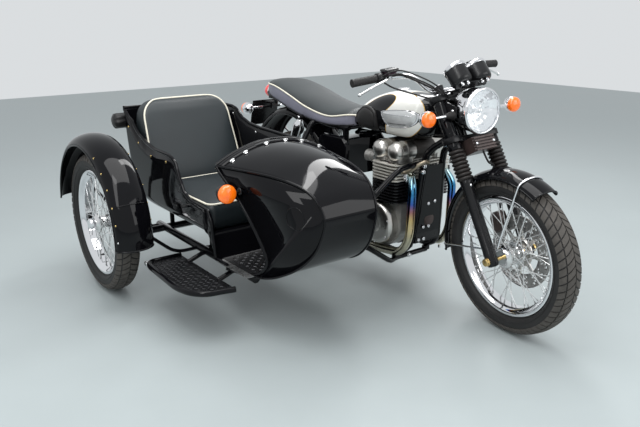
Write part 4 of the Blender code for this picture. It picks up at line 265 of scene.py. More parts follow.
def heat_tinted():
    """Header steel: blue and gold near the port, straw further along, by height."""
    made, add, bsdf, link = shader("heat_tinted_steel", (0.6, 0.5, 0.3), 0.16, 1.0)
    place = add("TexCoord")
    split = add("SeparateXYZ")
    link(place.outputs["Object"], split.inputs["Vector"])
    wobble = add("TexNoise", Scale=16.0, Detail=4.0)
    link(place.outputs["Object"], wobble.inputs["Vector"])
    mixed = add("Math", operation="MULTIPLY_ADD")
    mixed.inputs[1].default_value = 0.06
    link(wobble.outputs["Fac"], mixed.inputs[0])
    link(split.outputs["Z"], mixed.inputs[2])
    span = add("MapRange")
    span.inputs["From Min"].default_value = 0.20
    span.inputs["From Max"].default_value = 0.64
    link(mixed.outputs["Value"], span.inputs["Value"])
    stops = [
        (0.00, (0.52, 0.50, 0.44)), (0.30, (0.54, 0.50, 0.36)), (0.50, (0.56, 0.41, 0.18)),
        (0.58, (0.36, 0.16, 0.16)), (0.66, (0.05, 0.11, 0.42)), (0.80, (0.06, 0.30, 0.56)),
        (0.92, (0.34, 0.52, 0.58)), (1.00, (0.58, 0.56, 0.44))]
    link(ramp(add, link, span.outputs["Result"], stops), bsdf.inputs["Base Color"])
    return made


HEATED = heat_tinted()


# Shapes: each maker returns a form, which is a list of points and a list of faces

def loft(rings, closed=False):
    """A skin over rings of equally many points, with end caps, or with its ends joined."""
    count = len(rings[0])
    points = [Vector(p) for ring in rings for p in ring]
    faces = []
    spans = len(rings) if closed else len(rings) - 1
    for i in range(spans):
        a, b = i * count, (i + 1) % len(rings) * count
        for j in range(count):
            k = (j + 1) % count
            faces.append((a + j, a + k, b + k, b + j))
    if not closed:
        faces.append(tuple(range(count))[::-1])
        faces.append(tuple(len(points) - count + j for j in range(count)))
    return points, faces


def strip(rows):
    """An open sheet through rows that have equally many points."""
    count = len(rows[0])
    points = [Vector(p) for row in rows for p in row]
    faces = [
        (i * count + j, i * count + j + 1, (i + 1) * count + j + 1, (i + 1) * count + j)
        for i in range(len(rows) - 1) for j in range(count - 1)
    ]
    return points, faces


def square_to(direction, start):
    """Two axes square to a direction and to each other, the first as near to start as it can be."""
    direction = Vector(direction).normalized()
    first = Vector(start) - direction * direction.dot(Vector(start))
    if first.length < 1e-4:
        first = direction.orthogonal()
    first.normalize()
    return first, direction.cross(first)


def circle(centre, first, second, radius, sides):
    """A ring of points in the plane of two axes."""
    turns = [math.tau * k / sides for k in range(sides)]
    return [centre + (first * math.cos(turn) + second * math.sin(turn)) * radius for turn in turns]


def turned(origin, direction, profile, sides=48, closed=False):
    """A turned form from (place along the axis, radius). Closed joins the last ring to the first."""
    origin, direction = Vector(origin), Vector(direction).normalized()
    first, second = square_to(direction, Z_AXIS)
    return loft([
        circle(origin + direction * along, first, second, max(radius, 1e-5), sides)
        for along, radius in profile
    ], closed)


def rounded(points, corner, steps=8):
    """A path with each inner corner rounded over the given distance either side of it."""
    points = [Vector(p) for p in points]
    path = [points[0]]
    for before, at, after in zip(points, points[1:], points[2:]):
        reach = min(corner, (before - at).length * 0.49, (after - at).length * 0.49)
        enter = at + (before - at).normalized() * reach
        leave = at + (after - at).normalized() * reach
        for k in range(steps + 1):
            t = k / steps
            path.append(enter * (1 - t) ** 2 + at * 2 * t * (1 - t) + leave * t ** 2)
    return path + [points[-1]]


def smooth_path(points, steps=8):
    """A curve through the points."""
    points = [Vector(p) for p in points]
    ends = [points[0] * 2 - points[1]] + points + [points[-1] * 2 - points[-2]]
    path = []
    for a, b, c, d in zip(ends, ends[1:], ends[2:], ends[3:]):
        for k in range(steps):
            t = k / steps
            path.append(0.5 * (b * 2 + (c - a) * t + (a * 2 - b * 5 + c * 4 - d) * t ** 2
                               + (b * 3 - a - c * 3 + d) * t ** 3))
    return path + [points[-1]]


def tube(path, radius, sides=16, closed=False):
    """A tube along a path. Radius is one value or one for each point."""
    path = [Vector(p) for p in path]
    radii = radius if isinstance(radius, list) else [radius] * len(path)
    rings = []
    first = None
    count = len(path)
    for k, at in enumerate(path):
        before = path[(k - 1) % count] if closed or k else at
        after = path[(k + 1) % count] if closed or k < count - 1 else at
        along = (after - before).normalized()
        first = square_to(along, first or (0.12, 0.2, 1))[0]
        second = along.cross(first)
        rings.append(circle(at, first, second, radii[k], sides))
    return loft(rings, closed)


def prism(outline, low, high):
    """An (x, z) outline carried along Y."""
    return loft([[Vector((x, y, z)) for x, z in outline] for y in (low, high)])


def box(low, high):
    x0, y0, z0 = low
    x1, y1, z1 = high
    return loft([[(x0, y, z0), (x1, y, z0), (x1, y, z1), (x0, y, z1)] for y in (y0, y1)])


def dome(centre, direction, radius, height, sides=20, steps=4):
    """A round-headed button, such as a rivet or a bolt's cap."""
    profile = [
        (height * math.sin(math.pi / 2 * k / steps), radius * math.cos(math.pi / 2 * k / steps))
        for k in range(steps + 1)
    ]
    return turned(centre, direction, profile, sides)


def hexagon(centre, direction, radius, height):
    return turned(centre, direction, [(0, radius), (height * 0.85, radius), (height, radius * 0.9)], 6)


def from_table(table, at):
    """A row of a table between its rows, on a smooth curve through them."""
    k = max(i for i in range(len(table) - 1) if i == 0 or table[i][0] <= at)
    low, high = table[k], table[k + 1]
    before, after = table[max(k - 1, 0)], table[min(k + 2, len(table) - 1)]
    span = high[0] - low[0]
    t = min(max((at - low[0]) / span, 0), 1)
    row = []
    for a, b, c, d in zip(before[1:], low[1:], high[1:], after[1:]):
        rise_low = (c - a) / (high[0] - before[0]) * span
        rise_high = (d - b) / (after[0] - low[0]) * span
        row.append(
            b * (2 * t ** 3 - 3 * t ** 2 + 1) + rise_low * (t ** 3 - 2 * t ** 2 + t)
            + c * (3 * t ** 2 - 2 * t ** 3) + rise_high * (t ** 3 - t ** 2))
    return row


def closed_path(points, steps=6):
    """A smooth closed line through the points."""
    whole = smooth_path(points[-2:] + points + points[:3], steps)
    return whole[2 * steps:2 * steps + len(points) * steps]


def inside_by(x, y, outline):
    """The distance to a closed outline, positive inside it."""
    near, inside = 1e9, False
    for (ax, ay), (bx, by) in zip(outline, outline[1:] + outline[:1]):
        dx, dy = bx - ax, by - ay
        t = min(max(((x - ax) * dx + (y - ay) * dy) / max(dx * dx + dy * dy, 1e-12), 0), 1)
        near = min(near, math.hypot(x - ax - t * dx, y - ay - t * dy))
        if (ay > y) != (by > y) and x < ax + (y - ay) / (by - ay) * dx:
            inside = not inside
    return near if inside else -near


def corner_arc(half_a, half_b, corner, quarter, count):
    """One of the four round corners of a rectangle, as (a, b)."""
    sa, sb = ((1, 1), (-1, 1), (-1, -1), (1, -1))[quarter]
    turns = [math.radians(90 * quarter + 90 * k / (count - 1)) for k in range(count)]
    return [
        (sa * (half_a - corner) + corner * math.cos(turn), sb * (half_b - corner) + corner * math.sin(turn))
        for turn in turns
    ]


def slab(centre, first, second, half_a, half_b, corner, count=5):
    """A rounded rectangle as a ring."""
    return [
        centre + first * a + second * b
        for quarter in range(4) for a, b in corner_arc(half_a, half_b, corner, quarter, count)
    ]


def tread_bumps(piece, outline, z):
    """Short raised bars in a crossed pattern on a level plate, inside an (x, y) outline."""
    pitch, margin, radius = 0.0230, 0.0140, 0.0024
    xs, ys = [p[0] for p in outline], [p[1] for p in outline]
    for i in range(int((max(xs) - min(xs)) / pitch) + 1):
        for j in range(int((max(ys) - min(ys)) / pitch) + 1):
            x, y = min(xs) + pitch * (i + 0.5), min(ys) + pitch * (j + 0.5)
            if inside_by(x, y, outline) < margin:
                continue
            lean = math.radians(45 if (i + j) % 2 else -45)
            half = Vector((math.cos(lean), math.sin(lean), 0)) * pitch * 0.30
            at = Vector((x, y, z))
            piece.add(tube([at - half, at - half * 0.6, at + half * 0.6, at + half], radius, 6), WET_BLACK)


class Piece:
    """Gathers forms and their materials into one object that rides on a body."""

    def __init__(self, name, body="chassis", smooth=40):
        self.name, self.body, self.smooth = name, body, smooth
        self.points, self.faces, self.used, self.slots = [], [], [], []

    def add(self, form, material):
        points, faces = form
        if material not in self.slots:
            self.slots.append(material)
        base = len(self.points)
        self.points += points
        self.faces += [tuple(base + i for i in face) for face in faces]
        self.used += [self.slots.index(material)] * len(faces)
        return self

    def done(self, *nodes, bevel=0.0, slot=None):
        mesh = bpy.data.meshes.new(self.name)
        mesh.from_pydata([PLACE[self.body] @ Vector(p) for p in self.points], [], self.faces)
        for material in self.slots:
            mesh.materials.append(material)
        mesh.polygons.foreach_set("material_index", self.used)
        piece = bpy.data.objects.new(self.name, mesh)
        bpy.context.scene.collection.objects.link(piece)
        repair(mesh)
        mesh.shade_smooth()
        mesh.set_sharp_from_angle(angle=math.radians(self.smooth))
        if bevel:
            edge = piece.modifiers.new("edge", "BEVEL")
            edge.width = bevel
            edge.segments = 3
            edge.limit_method = "ANGLE"
            edge.angle_limit = math.radians(self.smooth)
            edge.harden_normals = True
        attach(piece, self.body)
        if nodes:
            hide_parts(*nodes)
        return piece


def repair(mesh):
    """Turns every face outward and drops edges with no length."""
    form = bmesh.new()
    form.from_mesh(mesh)
    bmesh.ops.remove_doubles(form, verts=form.verts, dist=1e-6)
    bmesh.ops.recalc_face_normals(form, faces=form.faces)
    form.to_mesh(mesh)
    form.free()


def dress(node, material):
    """Gives a CAD node its finish, soft edges and clean shading, with its mesh as it was."""
    bevel, angle = 0.0015, math.radians(50)
    obj = frame["nodes"][node]
    obj.data.materials.clear()
    obj.data.materials.append(material)
    custom = obj.data.attributes.get("custom_normal")
    if custom:
        obj.data.attributes.remove(custom)
    obj.data.shade_smooth()
    weld = obj.modifiers.new("weld", "WELD")
    weld.merge_threshold = 1e-5
    edge = obj.modifiers.new("edge", "BEVEL")
    edge.width = bevel
    edge.segments = 2
    edge.limit_method = "ANGLE"
    edge.angle_limit = angle
    split = obj.modifiers.new("split", "EDGE_SPLIT")
    split.split_angle = angle


# Wheels

SPOKES = 40
SPOKE_RADIUS = 0.0020
SPOKE_CROSS = math.radians(60)
TYRE_AROUND = 144
TREAD_DEPTH = 0.0035
# Width of a groove between two tread blocks, as a share of their pitch
GROOVE = 0.16
# Spans of the section, from its crown outward, that carry tread
TREAD_SPANS = 6
RIM_HALF = 0.0370


def tyre_outline(radius, half, rim):
    """Half a tyre's section from the bead to the crown, as (y, radius)."""
    height = radius - rim
    shares = [
        (0.60, -0.08), (0.64, 0.03), (0.72, 0.07), (0.86, 0.14), (0.96, 0.28), (1.00, 0.44),
        (0.985, 0.58), (0.93, 0.71), (0.83, 0.82), (0.68, 0.905), (0.50, 0.955), (0.28, 0.985), (0.0, 1.0)]
    return [(half * y, rim + height * z) for y, z in shares]


def on_tyre(outline, share):
    """A place on the tread: share runs from the crown at 0 to the shoulder at 1."""
    reach = 0.0
    spans = []
    for a, b in list(zip(outline[::-1], outline[-2::-1]))[:TREAD_SPANS]:
        length = math.hypot(b[0] - a[0], b[1] - a[1])
        spans.append((reach, length, a, b))
        reach += length
    place = share * reach
    start, length, a, b = next(span for span in spans if place <= span[0] + span[1] or span == spans[-1])
    t = (place - start) / length
    out = Vector((b[1] - a[1], a[0] - b[0])).normalized()
    return a[0] + (b[0] - a[0]) * t, a[1] + (b[1] - a[1]) * t, (-out.x, -out.y)


def wheel_place(centre, y, radius, turn):
    """A place about an axle. Turn runs from the top forward."""
    return Vector((centre.x + radius * math.sin(turn), centre.y + y, centre.z + radius * math.cos(turn)))


def wheel_ring(centre, section):
    """A (y, radius) section carried round an axle."""
    turns = [math.tau * k / TYRE_AROUND for k in range(TYRE_AROUND)]
    return loft([[wheel_place(centre, y, r, turn) for y, r in section] for turn in turns], closed=True)


def tyre(name, body, centre, radius, half, rim, node, pitches, slant):
    carcass = tyre_outline(radius - TREAD_DEPTH, half, rim)
    section = carcass + [(-y, r) for y, r in carcass[-2::-1]]
    piece = Piece(name, body, smooth=50).add(wheel_ring(centre, section), TYRE)
    pitch = math.tau / pitches
    blocks = ([], [])
    for k in range(pitches):
        for side in (-1, 1):
            for inner, outer in ((0.03, 0.52), (0.58, 0.97)):
                shift = 0 if side > 0 else 0.5
                add_block(blocks, centre, carcass, pitch, k + shift, side, inner, outer, slant)
    piece.add(blocks, TREAD)
    for side in (-1, 1):
        for share in (2, 4):
            y, r = carcass[share]
            hoop = [wheel_place(centre, side * (y + 0.0005), r, math.tau * k / 96) for k in range(96)]
            piece.add(tube(hoop, 0.0012, 6, closed=True), TYRE)
    return piece.done(node, slot="tyre")


def add_block(blocks, centre, carcass, pitch, k, side, inner, outer, slant):
    """One raised block of the tread between two slanted grooves."""
    points, faces = blocks
    steps = 4
    base = len(points)
    for j in range(steps + 1):
        share = inner + (outer - inner) * j / steps
        y, r, (ny, nr) = on_tyre(carcass, share)
        lean = slant * share ** 0.8 * pitch
        edges = (GROOVE / 2, -0.3), (GROOVE / 2 + 0.03, 1), (1 - GROOVE / 2 - 0.03, 1), (1 - GROOVE / 2, -0.3)
        for edge, lift in edges:
            turn = (k + edge) * pitch + lean
            points.append(wheel_place(
                centre, side * (y + ny * TREAD_DEPTH * lift), r + nr * TREAD_DEPTH * lift, turn))
    for j in range(steps):
        for i in range(3):
            a = base + j * 4 + i
            faces.append((a, a + 1, a + 5, a + 4))
    for a in (base, base + steps * 4):
        faces.append((a, a + 1, a + 2, a + 3))


def wire_wheel(name, body, centre, rim, node, hub_cap=False):
    """Chrome rim, hub, crossed spokes and nipples."""
    outer = [
        (RIM_HALF, rim - 0.010), (RIM_HALF + 0.001, rim - 0.003), (RIM_HALF - 0.001, rim),
        (RIM_HALF - 0.0045, rim - 0.001), (RIM_HALF - 0.0055, rim - 0.010), (0.024, rim - 0.012),
        (0.013, rim - 0.026)]
    inner = [(0.016, rim - 0.0325), (0.027, rim - 0.018), (RIM_HALF - 0.002, rim - 0.015)]
    outline = outer + [(-y, r) for y, r in outer[::-1] + inner[::-1]] + inner
    piece = Piece(name, body, smooth=48).add(wheel_ring(centre, outline), CHROME)
    half_hub = [
        (0.015, 0.030), (0.026, 0.034), (0.028, 0.048), (0.034, 0.048), (0.036, 0.040), (0.040, 0.034),
        (0.048, 0.030), (0.048, 0.0089)]
    hub = [(-y, r) for y, r in half_hub[::-1]] + half_hub
    piece.add(turned(centre, Y_AXIS, hub, 48, closed=True), POLISHED)
    nipple = rim - 0.033
    for k in range(SPOKES):
        side = 1 if k % 2 else -1
        lean = 1 if k // 2 % 2 else -1
        turn = math.tau * (k + 0.5) / SPOKES
        start = turn + lean * SPOKE_CROSS
        root = wheel_place(centre, side * (0.031 + lean * 0.003), 0.0445, start)
        tip = wheel_place(centre, side * 0.005, nipple + 0.004, turn)
        along = (tip - root).normalized()
        piece.add(tube([root, tip], SPOKE_RADIUS, 6), SILVER)
        piece.add(tube([tip - along * 0.016, tip - along * 0.001], 0.0031, 6), STEEL)
        piece.add(dome(root, (0, side * lean, 0), 0.0034, 0.002, 8, 2), CHROME)
    if hub_cap:
        outside = centre + Vector((0, -0.061, 0))
        piece.add(turned(outside, (0, -1, 0), [
            (-0.012, 0.026), (0.006, 0.026), (0.010, 0.022), (0.013, 0.020), (0.013, 0.0001)], 40), CHROME)
    return piece.done(node, slot="chrome")


for name, body, centre, radius, half, rim, pitches, slant in (
    ("front", "front_wheel", FRONT_AXLE, FRONT_RADIUS, FRONT_HALF, FRONT_RIM, 62, 1.5),
    ("rear", "rear_wheel", Vector((0, 0, REAR_RADIUS)), REAR_RADIUS, REAR_HALF, REAR_RIM, 54, 1.3),
    ("sidecar", "sidecar_wheel", SIDE_WHEEL, FRONT_RADIUS, FRONT_HALF, FRONT_RIM, 58, 1.1),
):
    tyre(name + "_tyre_tread", body, centre, radius, half, rim, name + "_tyre", pitches, slant)
    wire_wheel(name + "_laced_wheel", body, centre, rim, name + "_wire_wheel", name == "sidecar")


# Sidecar body

SKIN = 0.0110
RIM_RADIUS = 0.0085
# Tub, as shares of its length and height: its floor line, and its two top edges
TUB_FLOOR_SHARES = [
    (0.000, 1.04), (0.004, 0.90), (0.020, 0.66), (0.042, 0.47), (0.075, 0.33), (0.150, 0.215),
    (0.250, 0.185), (0.500, 0.185), (0.800, 0.185), (0.835, 0.175), (0.870, 0.085), (0.900, 0.010),
    (0.920, 0.000), (1.000, 0.000)]
TUB_RIGHT_SHARES = [
    (0.000, 1.000), (0.060, 0.940), (0.180, 0.810), (0.260, 0.757), (0.345, 0.730), (0.430, 0.729),
    (0.509, 0.724), (0.550, 0.700), (0.575, 0.650), (0.609, 0.500), (0.640, 0.445), (0.697, 0.413),
    (0.780, 0.404), (0.850, 0.396), (0.878, 0.330), (0.893, 0.150), (0.905, 0.030), (1.000, 0.026)]
TUB_LEFT_SHARES = [
    (0.000, 1.000), (0.120, 1.000), (0.180, 0.998), (0.218, 0.985), (0.293, 0.900), (0.371, 0.862),
    (0.466, 0.847), (0.900, 0.825), (0.930, 0.750), (1.000, 0.730)]
NOSE_SHARES = [
    (-0.061, 1.000, 1.00), (0.22, 1.000, 0.95), (0.48, 0.995, 0.70), (0.68, 0.970, 0.38), (0.83, 0.925, 0.12),
    (0.94, 0.835, 0.02), (1.00, 0.690, 0.00), (0.97, 0.530, 0.00), (0.90, 0.370, 0.00), (0.77, 0.220, 0.00),
    (0.62, 0.110, 0.00), (0.45, 0.030, 0.00), (0.25, 0.002, 0.00), (0.00, 0.000, 0.00)]
DOOR_SHARES = [
    (-0.061, 0.990), (0.20, 0.680), (0.37, 0.390), (0.445, 0.200), (0.40, 0.090), (0.30, 0.022),
    (0.20, 0.001)]


def along_line(shares, x):
    """The height of a line of shares at a place along it, smoothed a little at its bends."""
    for (xa, za), (xb, zb) in zip(shares, shares[1:]):
        if x <= xb:
            t = (x - xa) / (xb - xa)
            return za + (zb - za) * (t * 0.5 + t * t * (3 - 2 * t) * 0.5)
    return shares[-1][1]


def tub_point(x, z):
    """A place on the tub's side from its shares, as (x, z)."""
    return TUB_REAR + TUB_LENGTH * x, BODY_FLOOR + TUB_HEIGHT * z


def tub():
    """The open shell, its rolled edges and its rivets."""
    stations = smooth_path([(x, 0, z) for x, z in TUB_FLOOR_SHARES], 10)
    rows, right_edge, left_edge = [], [], []
    corner = 0.045
    for at in stations:
        x, base = tub_point(at.x, at.z)
        tops = [
            max(BODY_FLOOR + TUB_HEIGHT * along_line(shares, at.x), base + 0.001)
            for shares in (TUB_RIGHT_SHARES, TUB_LEFT_SHARES)
        ]
        row = []
        for side, top in ((-1, tops[0]), (1, tops[1])):
            bend = min(corner, top - base)
            half = [(BODY_Y + side * BODY_HALF, top - (top - base - bend) * k / 4) for k in range(4)]
            for k in range(9):
                turn = math.pi / 2 * k / 8
                across = BODY_HALF - bend + bend * math.cos(turn)
                half.append((BODY_Y + side * across, base + bend - bend * math.sin(turn)))
            row.append(half)
        rows.append([(x, y, z) for y, z in row[0] + row[1][::-1]])
        right_edge.append((x, BODY_RIGHT + SKIN / 2, tops[0]))
        left_edge.append((x, BODY_LEFT - SKIN / 2, tops[1]))
    piece = Piece("tub_shell", smooth=55).add(strip(rows), GLOSS)
    shell = piece.done("sidecar_tub", slot="gloss_black")
    thicken(shell, SKIN)
    rim = Piece("tub_rim", smooth=60)
    rim.add(tube(right_edge, RIM_RADIUS, 14), GLOSS)
    rim.add(tube(left_edge, RIM_RADIUS, 14), GLOSS)
    height = BODY_FLOOR + TUB_HEIGHT * 1.005
    back = [(TUB_REAR + 0.004, BODY_Y + BODY_HALF * k / 12, height) for k in range(-12, 13)]
    rim.add(tube(back, RIM_RADIUS, 14), GLOSS)
    for x, z in ((0.045, 0.86), (0.16, 0.74), (0.30, 0.66), (0.47, 0.66)):
        px, pz = tub_point(x, z)
        rim.add(dome((px, BODY_RIGHT, pz), (0, -1, 0), 0.006, 0.003, 14), BRASS)
    for x, z in ((0.20, 0.93), (0.42, 0.80), (0.66, 0.80)):
        px, pz = tub_point(x, z)
        rim.add(dome((px, BODY_LEFT - SKIN, pz), (0, -1, 0), 0.006, 0.003, 14), CHROME)
    rim.done()


def thicken(obj, depth):
    """Gives a sheet its thickness, inward from the drawn face."""
    solid = obj.modifiers.new("skin", "SOLIDIFY")
    solid.thickness = depth
    solid.offset = -1
    solid.use_even_offset = False


def nose_half(x):
    return BODY_HALF - NOSE_TOE_IN * max(x - NOSE_REAR, -0.02)


def nose_place(along, up, crown, across):
    """A place on the nose from its shares. Crown is how much the top swells in its middle."""
    x = NOSE_REAR + NOSE_LENGTH * along
    z = BODY_FLOOR + NOSE_HEIGHT * up + 0.075 * crown * (1 - across ** 2)
    return Vector((x, BODY_Y + across * nose_half(x), z))


def nose():
    """The crown, its two side panels with their edge trim, the cowl's rim and the footwell."""
    profile = smooth_path(NOSE_SHARES, 8)
    rows = [[nose_place(p.x, p.y, max(p.z, 0), k / 16) for p in profile] for k in range(-16, 17)]
    crown = Piece("nose_crown", smooth=60).add(strip(rows), GLOSS).done("sidecar_nose", slot="gloss_black")
    thicken(crown, SKIN)
    for side, name in SIDES:
        outer = [nose_place(p.x, p.y, 0, side) for p in profile]
        if side < 0:
            edge = smooth_path([(along, up, 0) for along, up in DOOR_SHARES], 8)
            back = [nose_place(p.x, p.y, 0, side) for p in edge]
        else:
            back = [nose_place(-0.061, 0.99, 0, side), nose_place(0.0, 0.001, 0, side)]
        outline = outer + back[::-1]
        lift = Vector((math.sin(NOSE_TOE_IN) * 0.0004, side * 0.0004, 0))
        panel = Piece("nose_panel_" + name, smooth=40)
        panel.add(([p + lift for p in outline], [tuple(range(len(outline)))]), GLOSS)
        sheet = panel.done(slot="gloss_black")
        thicken(sheet, SKIN * 0.6)
        trim = Piece("nose_trim_" + name, smooth=60)
        trim.add(tube(outer, 0.0045, 12), GLOSS)
        if side < 0:
            trim.add(tube(back, 0.0080, 12), GLOSS)
        middle = nose_place(0.73, 0.66, 0, side)
        first = Vector((math.cos(NOSE_TOE_IN), -side * math.sin(NOSE_TOE_IN), 0))
        trim.add(tube(circle(middle, first, Z_AXIS, 0.043, 48), 0.0028, 8, closed=True), GLOSS)
        trim.done()
    cowl_rim()
    footwell()


def cowl_rim():
    """The rolled rear edge of the cowl, its band and its turn buttons."""
    rim = Piece("cowl_rim", smooth=60)
    edge = [nose_place(-0.061, 1.0, 1.0, k / 24) + Vector((0, 0, 0.001)) for k in range(-24, 25)]
    rim.add(tube(edge, 0.0095, 14), GLOSS)
    band = [
        [nose_place(along, 1.0, 1.0 - along * 0.1, k / 24) + Vector((0, 0, lift)) for k in range(-24, 25)]
        for along, lift in ((-0.061, 0.004), (-0.055, 0.007), (0.015, 0.006), (0.020, 0.001))
    ]
    rim.add(strip(band), GLOSS)
    for across in (-0.86, -0.62, -0.24, 0.12, 0.44, 0.80):
        at = nose_place(0.035, 1.0, 0.99, across) + Vector((0, 0, 0.0015))
        up = Vector((0, across * 0.55, 1)).normalized()
        rim.add(dome(at, up, 0.0085, 0.003, 20, 3), POLISHED)
        side = Vector((0, up.z, -up.y))
        grip = [at + up * 0.004 - side * 0.010, at + up * 0.007, at + up * 0.004 + side * 0.010]
        rim.add(tube(grip, 0.0032, 10), SILVER)
        rim.add(dome(at + up * 0.004, up, 0.0045, 0.006, 14, 3), POLISHED)
    rim.done(slot="gloss_black")


def footwell():
    """The tread plate on the floor inside the doorway and the sill beside it."""
    low, high = 0.675, NOSE_REAR + 0.20
    right, left = BODY_RIGHT + 0.035, BODY_LEFT - 0.06
    floor = BODY_FLOOR + SKIN
    top = floor + 0.002
    plate = Piece("footwell_plate", smooth=40)
    plate.add(box((low, right, floor), (high, left, top)), SATIN)
    tread_bumps(plate, [(low, right), (high, right), (high, left), (low, left)], top)
    plate.done(bevel=0.0008, slot="satin_black")
    sill = Piece("footwell_sill", smooth=40)
    sill.add(box(
        (low + 0.02, BODY_RIGHT - 0.004, BODY_FLOOR + 0.013),
        (high - 0.03, BODY_RIGHT + 0.030, BODY_FLOOR + 0.0155)), STEEL)
    sill.done(bevel=0.0008, slot="steel")


# Sidecar seat, hood and step

SEAT_HALF = BODY_HALF - WALL - 0.0060
# Seat back from its foot up, as shares of the tub: height, rear face, front face
BACK_SHARES = [
    (0.211, 0.262, 0.296), (0.260, 0.190, 0.300), (0.440, 0.110, 0.300), (0.700, 0.068, 0.242),
    (0.950, 0.076, 0.190), (1.050, 0.082, 0.166), (1.090, 0.092, 0.152), (1.108, 0.108, 0.138)]


def pad_ring(centre, half_a, half_b, corner, axis_a, axis_b, crown_b=0.0):
    """A rounded rectangle whose faces towards axis_b swell by crown_b in their middle."""
    corner = min(corner, half_a * 0.98, half_b * 0.98)
    ring = []
    for quarter in range(4):
        ring += corner_arc(half_a, half_b, corner, quarter, 7)
        if quarter in (0, 2):
            face = 1 - quarter
            ring += [(face * (half_a - corner) * (1 - k / 5), face * half_b) for k in range(1, 10)]
    out = []
    for a, b in ring:
        swell = crown_b * max(0.0, 1 - (a / half_a) ** 2) * (1 if b > 0 else -0.4)
        out.append(centre + axis_a * a + axis_b * (b + swell))
    return out


def seat_back():
    rings, line = [], []
    stations = smooth_path(BACK_SHARES, 4)
    top = stations[-1].x
    for at in stations:
        height = BODY_FLOOR + TUB_HEIGHT * at.x
        rear, front = TUB_REAR + TUB_LENGTH * at.y, TUB_REAR + TUB_LENGTH * at.z
        room = TUB_HEIGHT * (top - at.x)
        round_off = 0.085
        narrow = 0.0 if room > round_off else round_off - math.sqrt(round_off ** 2 - (round_off - room) ** 2)
        half = SEAT_HALF - narrow - 0.012 * max(0, (at.x - 0.7) / 0.4)
        pulled = min(1.0, room / 0.06 + 0.15)
        rings.append(pad_ring(
            Vector(((rear + front) / 2, BODY_Y, height)), half, (front - rear) / 2, 0.022, Y_AXIS, X_AXIS,
            0.012 * pulled))
        line.append((front - 0.006, half - 0.005, height))
    piece = Piece("seat_back_pad", smooth=60).add(loft(rings), VINYL)
    pad = piece.done("sidecar_seat_back", slot="vinyl")
    route = [(x, BODY_Y - half, z) for x, half, z in line]
    front, half, height = line[-1]
    route += [(front, BODY_Y + half * k / 6, height + 0.002) for k in range(-5, 6)]
    route += [(x, BODY_Y + half, z) for x, half, z in line[::-1]]
    Piece("seat_back_piping", smooth=60).add(tube(route, 0.0046, 10), PIPING).done()


def seat_cushion():
    low, high = TUB_REAR + TUB_LENGTH * 0.308, TUB_REAR + TUB_LENGTH * 0.833
    base, top = BODY_FLOOR + TUB_HEIGHT * 0.185 + WALL + 0.001, BODY_FLOOR + TUB_HEIGHT * 0.430
    rings = []
    middle = Vector(((low + high) / 2, BODY_Y, 0))
    for share, inset in (
        (0.0, 0.012), (0.10, 0.004), (0.35, 0.0), (0.70, 0.0), (0.86, 0.003), (0.95, 0.010), (1.0, 0.024),
    ):
        centre = middle + Vector((0, 0, base + (top - base) * share))
        rings.append(pad_ring(centre, (high - low) / 2 - inset, SEAT_HALF - inset, 0.035, X_AXIS, Y_AXIS))
    for k in range(1, 7):
        t = k / 7
        centre = middle + Vector((0, 0, top + 0.014 * math.sin(math.pi / 2 * t)))
        rings.append(pad_ring(
            centre, ((high - low) / 2 - 0.024) * (1 - t), (SEAT_HALF - 0.024) * (1 - t), 0.035,
            X_AXIS, Y_AXIS))
    piece = Piece("seat_cushion_pad", smooth=60).add(loft(rings), VINYL)
    pad = piece.done("sidecar_seat_cushion", slot="vinyl")
    edge = middle + Vector((0, 0, top - 0.006))
    loop = pad_ring(edge, (high - low) / 2 - 0.008, SEAT_HALF - 0.008, 0.035, X_AXIS, Y_AXIS)
    Piece("seat_cushion_piping", smooth=60).add(tube(loop, 0.0046, 10, closed=True), PIPING).done()


def hood_roll():
    """The hood folded behind the seat, strapped at both sides."""
    radius = 0.0440
    lean = (1.05 - 0.90) / (1.05 - 0.66)
    x = TUB_REAR + TUB_LENGTH * 0.020 * lean - radius - 0.0005
    z = BODY_FLOOR + TUB_HEIGHT * 0.90
    half = BODY_HALF + 0.050
    rings = []
    for k in range(61):
        y = half * (k / 30 - 1)
        end = min(1.0, (half - abs(y)) / 0.018)
        pinch = 1 - 0.10 * sum(math.exp(-((abs(y) - at) / 0.012) ** 2) for at in (0.10, 0.235))
        ring = []
        for j in range(40):
            turn = math.tau * j / 40
            fold = 0.0022 * math.sin(turn * 9 + 3 * math.sin(y * 14)) + 0.0020 * math.sin(turn * 4 + y * 31)
            r = (radius - 0.005 + fold) * pinch * (0.45 + 0.55 * math.sqrt(max(0.0, 1 - (1 - end) ** 2)))
            ring.append(Vector((x + r * math.cos(turn), BODY_Y + y, z + r * math.sin(turn))))
        rings.append(ring)
    roll = Piece("hood_roll_cloth", smooth=60).add(loft(rings), HOOD)
    pad = roll.done("sidecar_hood", slot="vinyl")
    straps = Piece("hood_straps", smooth=60)
    for side in (-1, 1):
        for at in (0.10, 0.235):
            y = BODY_Y + side * at
            straps.add(turned((x, y - 0.011, z), Y_AXIS, [
                (0, radius * 0.90), (0, radius * 0.955), (0.022, radius * 0.955), (0.022, radius * 0.90)],
                40, closed=True), SATIN)
            straps.add(box(
                (x - radius - 0.001, y - 0.013, z - 0.004),
                (x - radius * 0.93, y + 0.013, z + 0.018)), CHROME)
    straps.done()


STEP_REAR, STEP_LENGTH, STEP_WIDTH, STEP_Z = 0.385, 0.50, 0.21, 0.2150
STEP_PLATE_HALF = 0.002
STEP_SHARES = [
    (0.00, 0.12), (0.00, 0.85), (0.10, 0.94), (0.40, 0.97), (0.69, 1.00), (0.85, 0.90), (0.95, 0.68),
    (0.97, 0.40), (1.00, 0.12)]


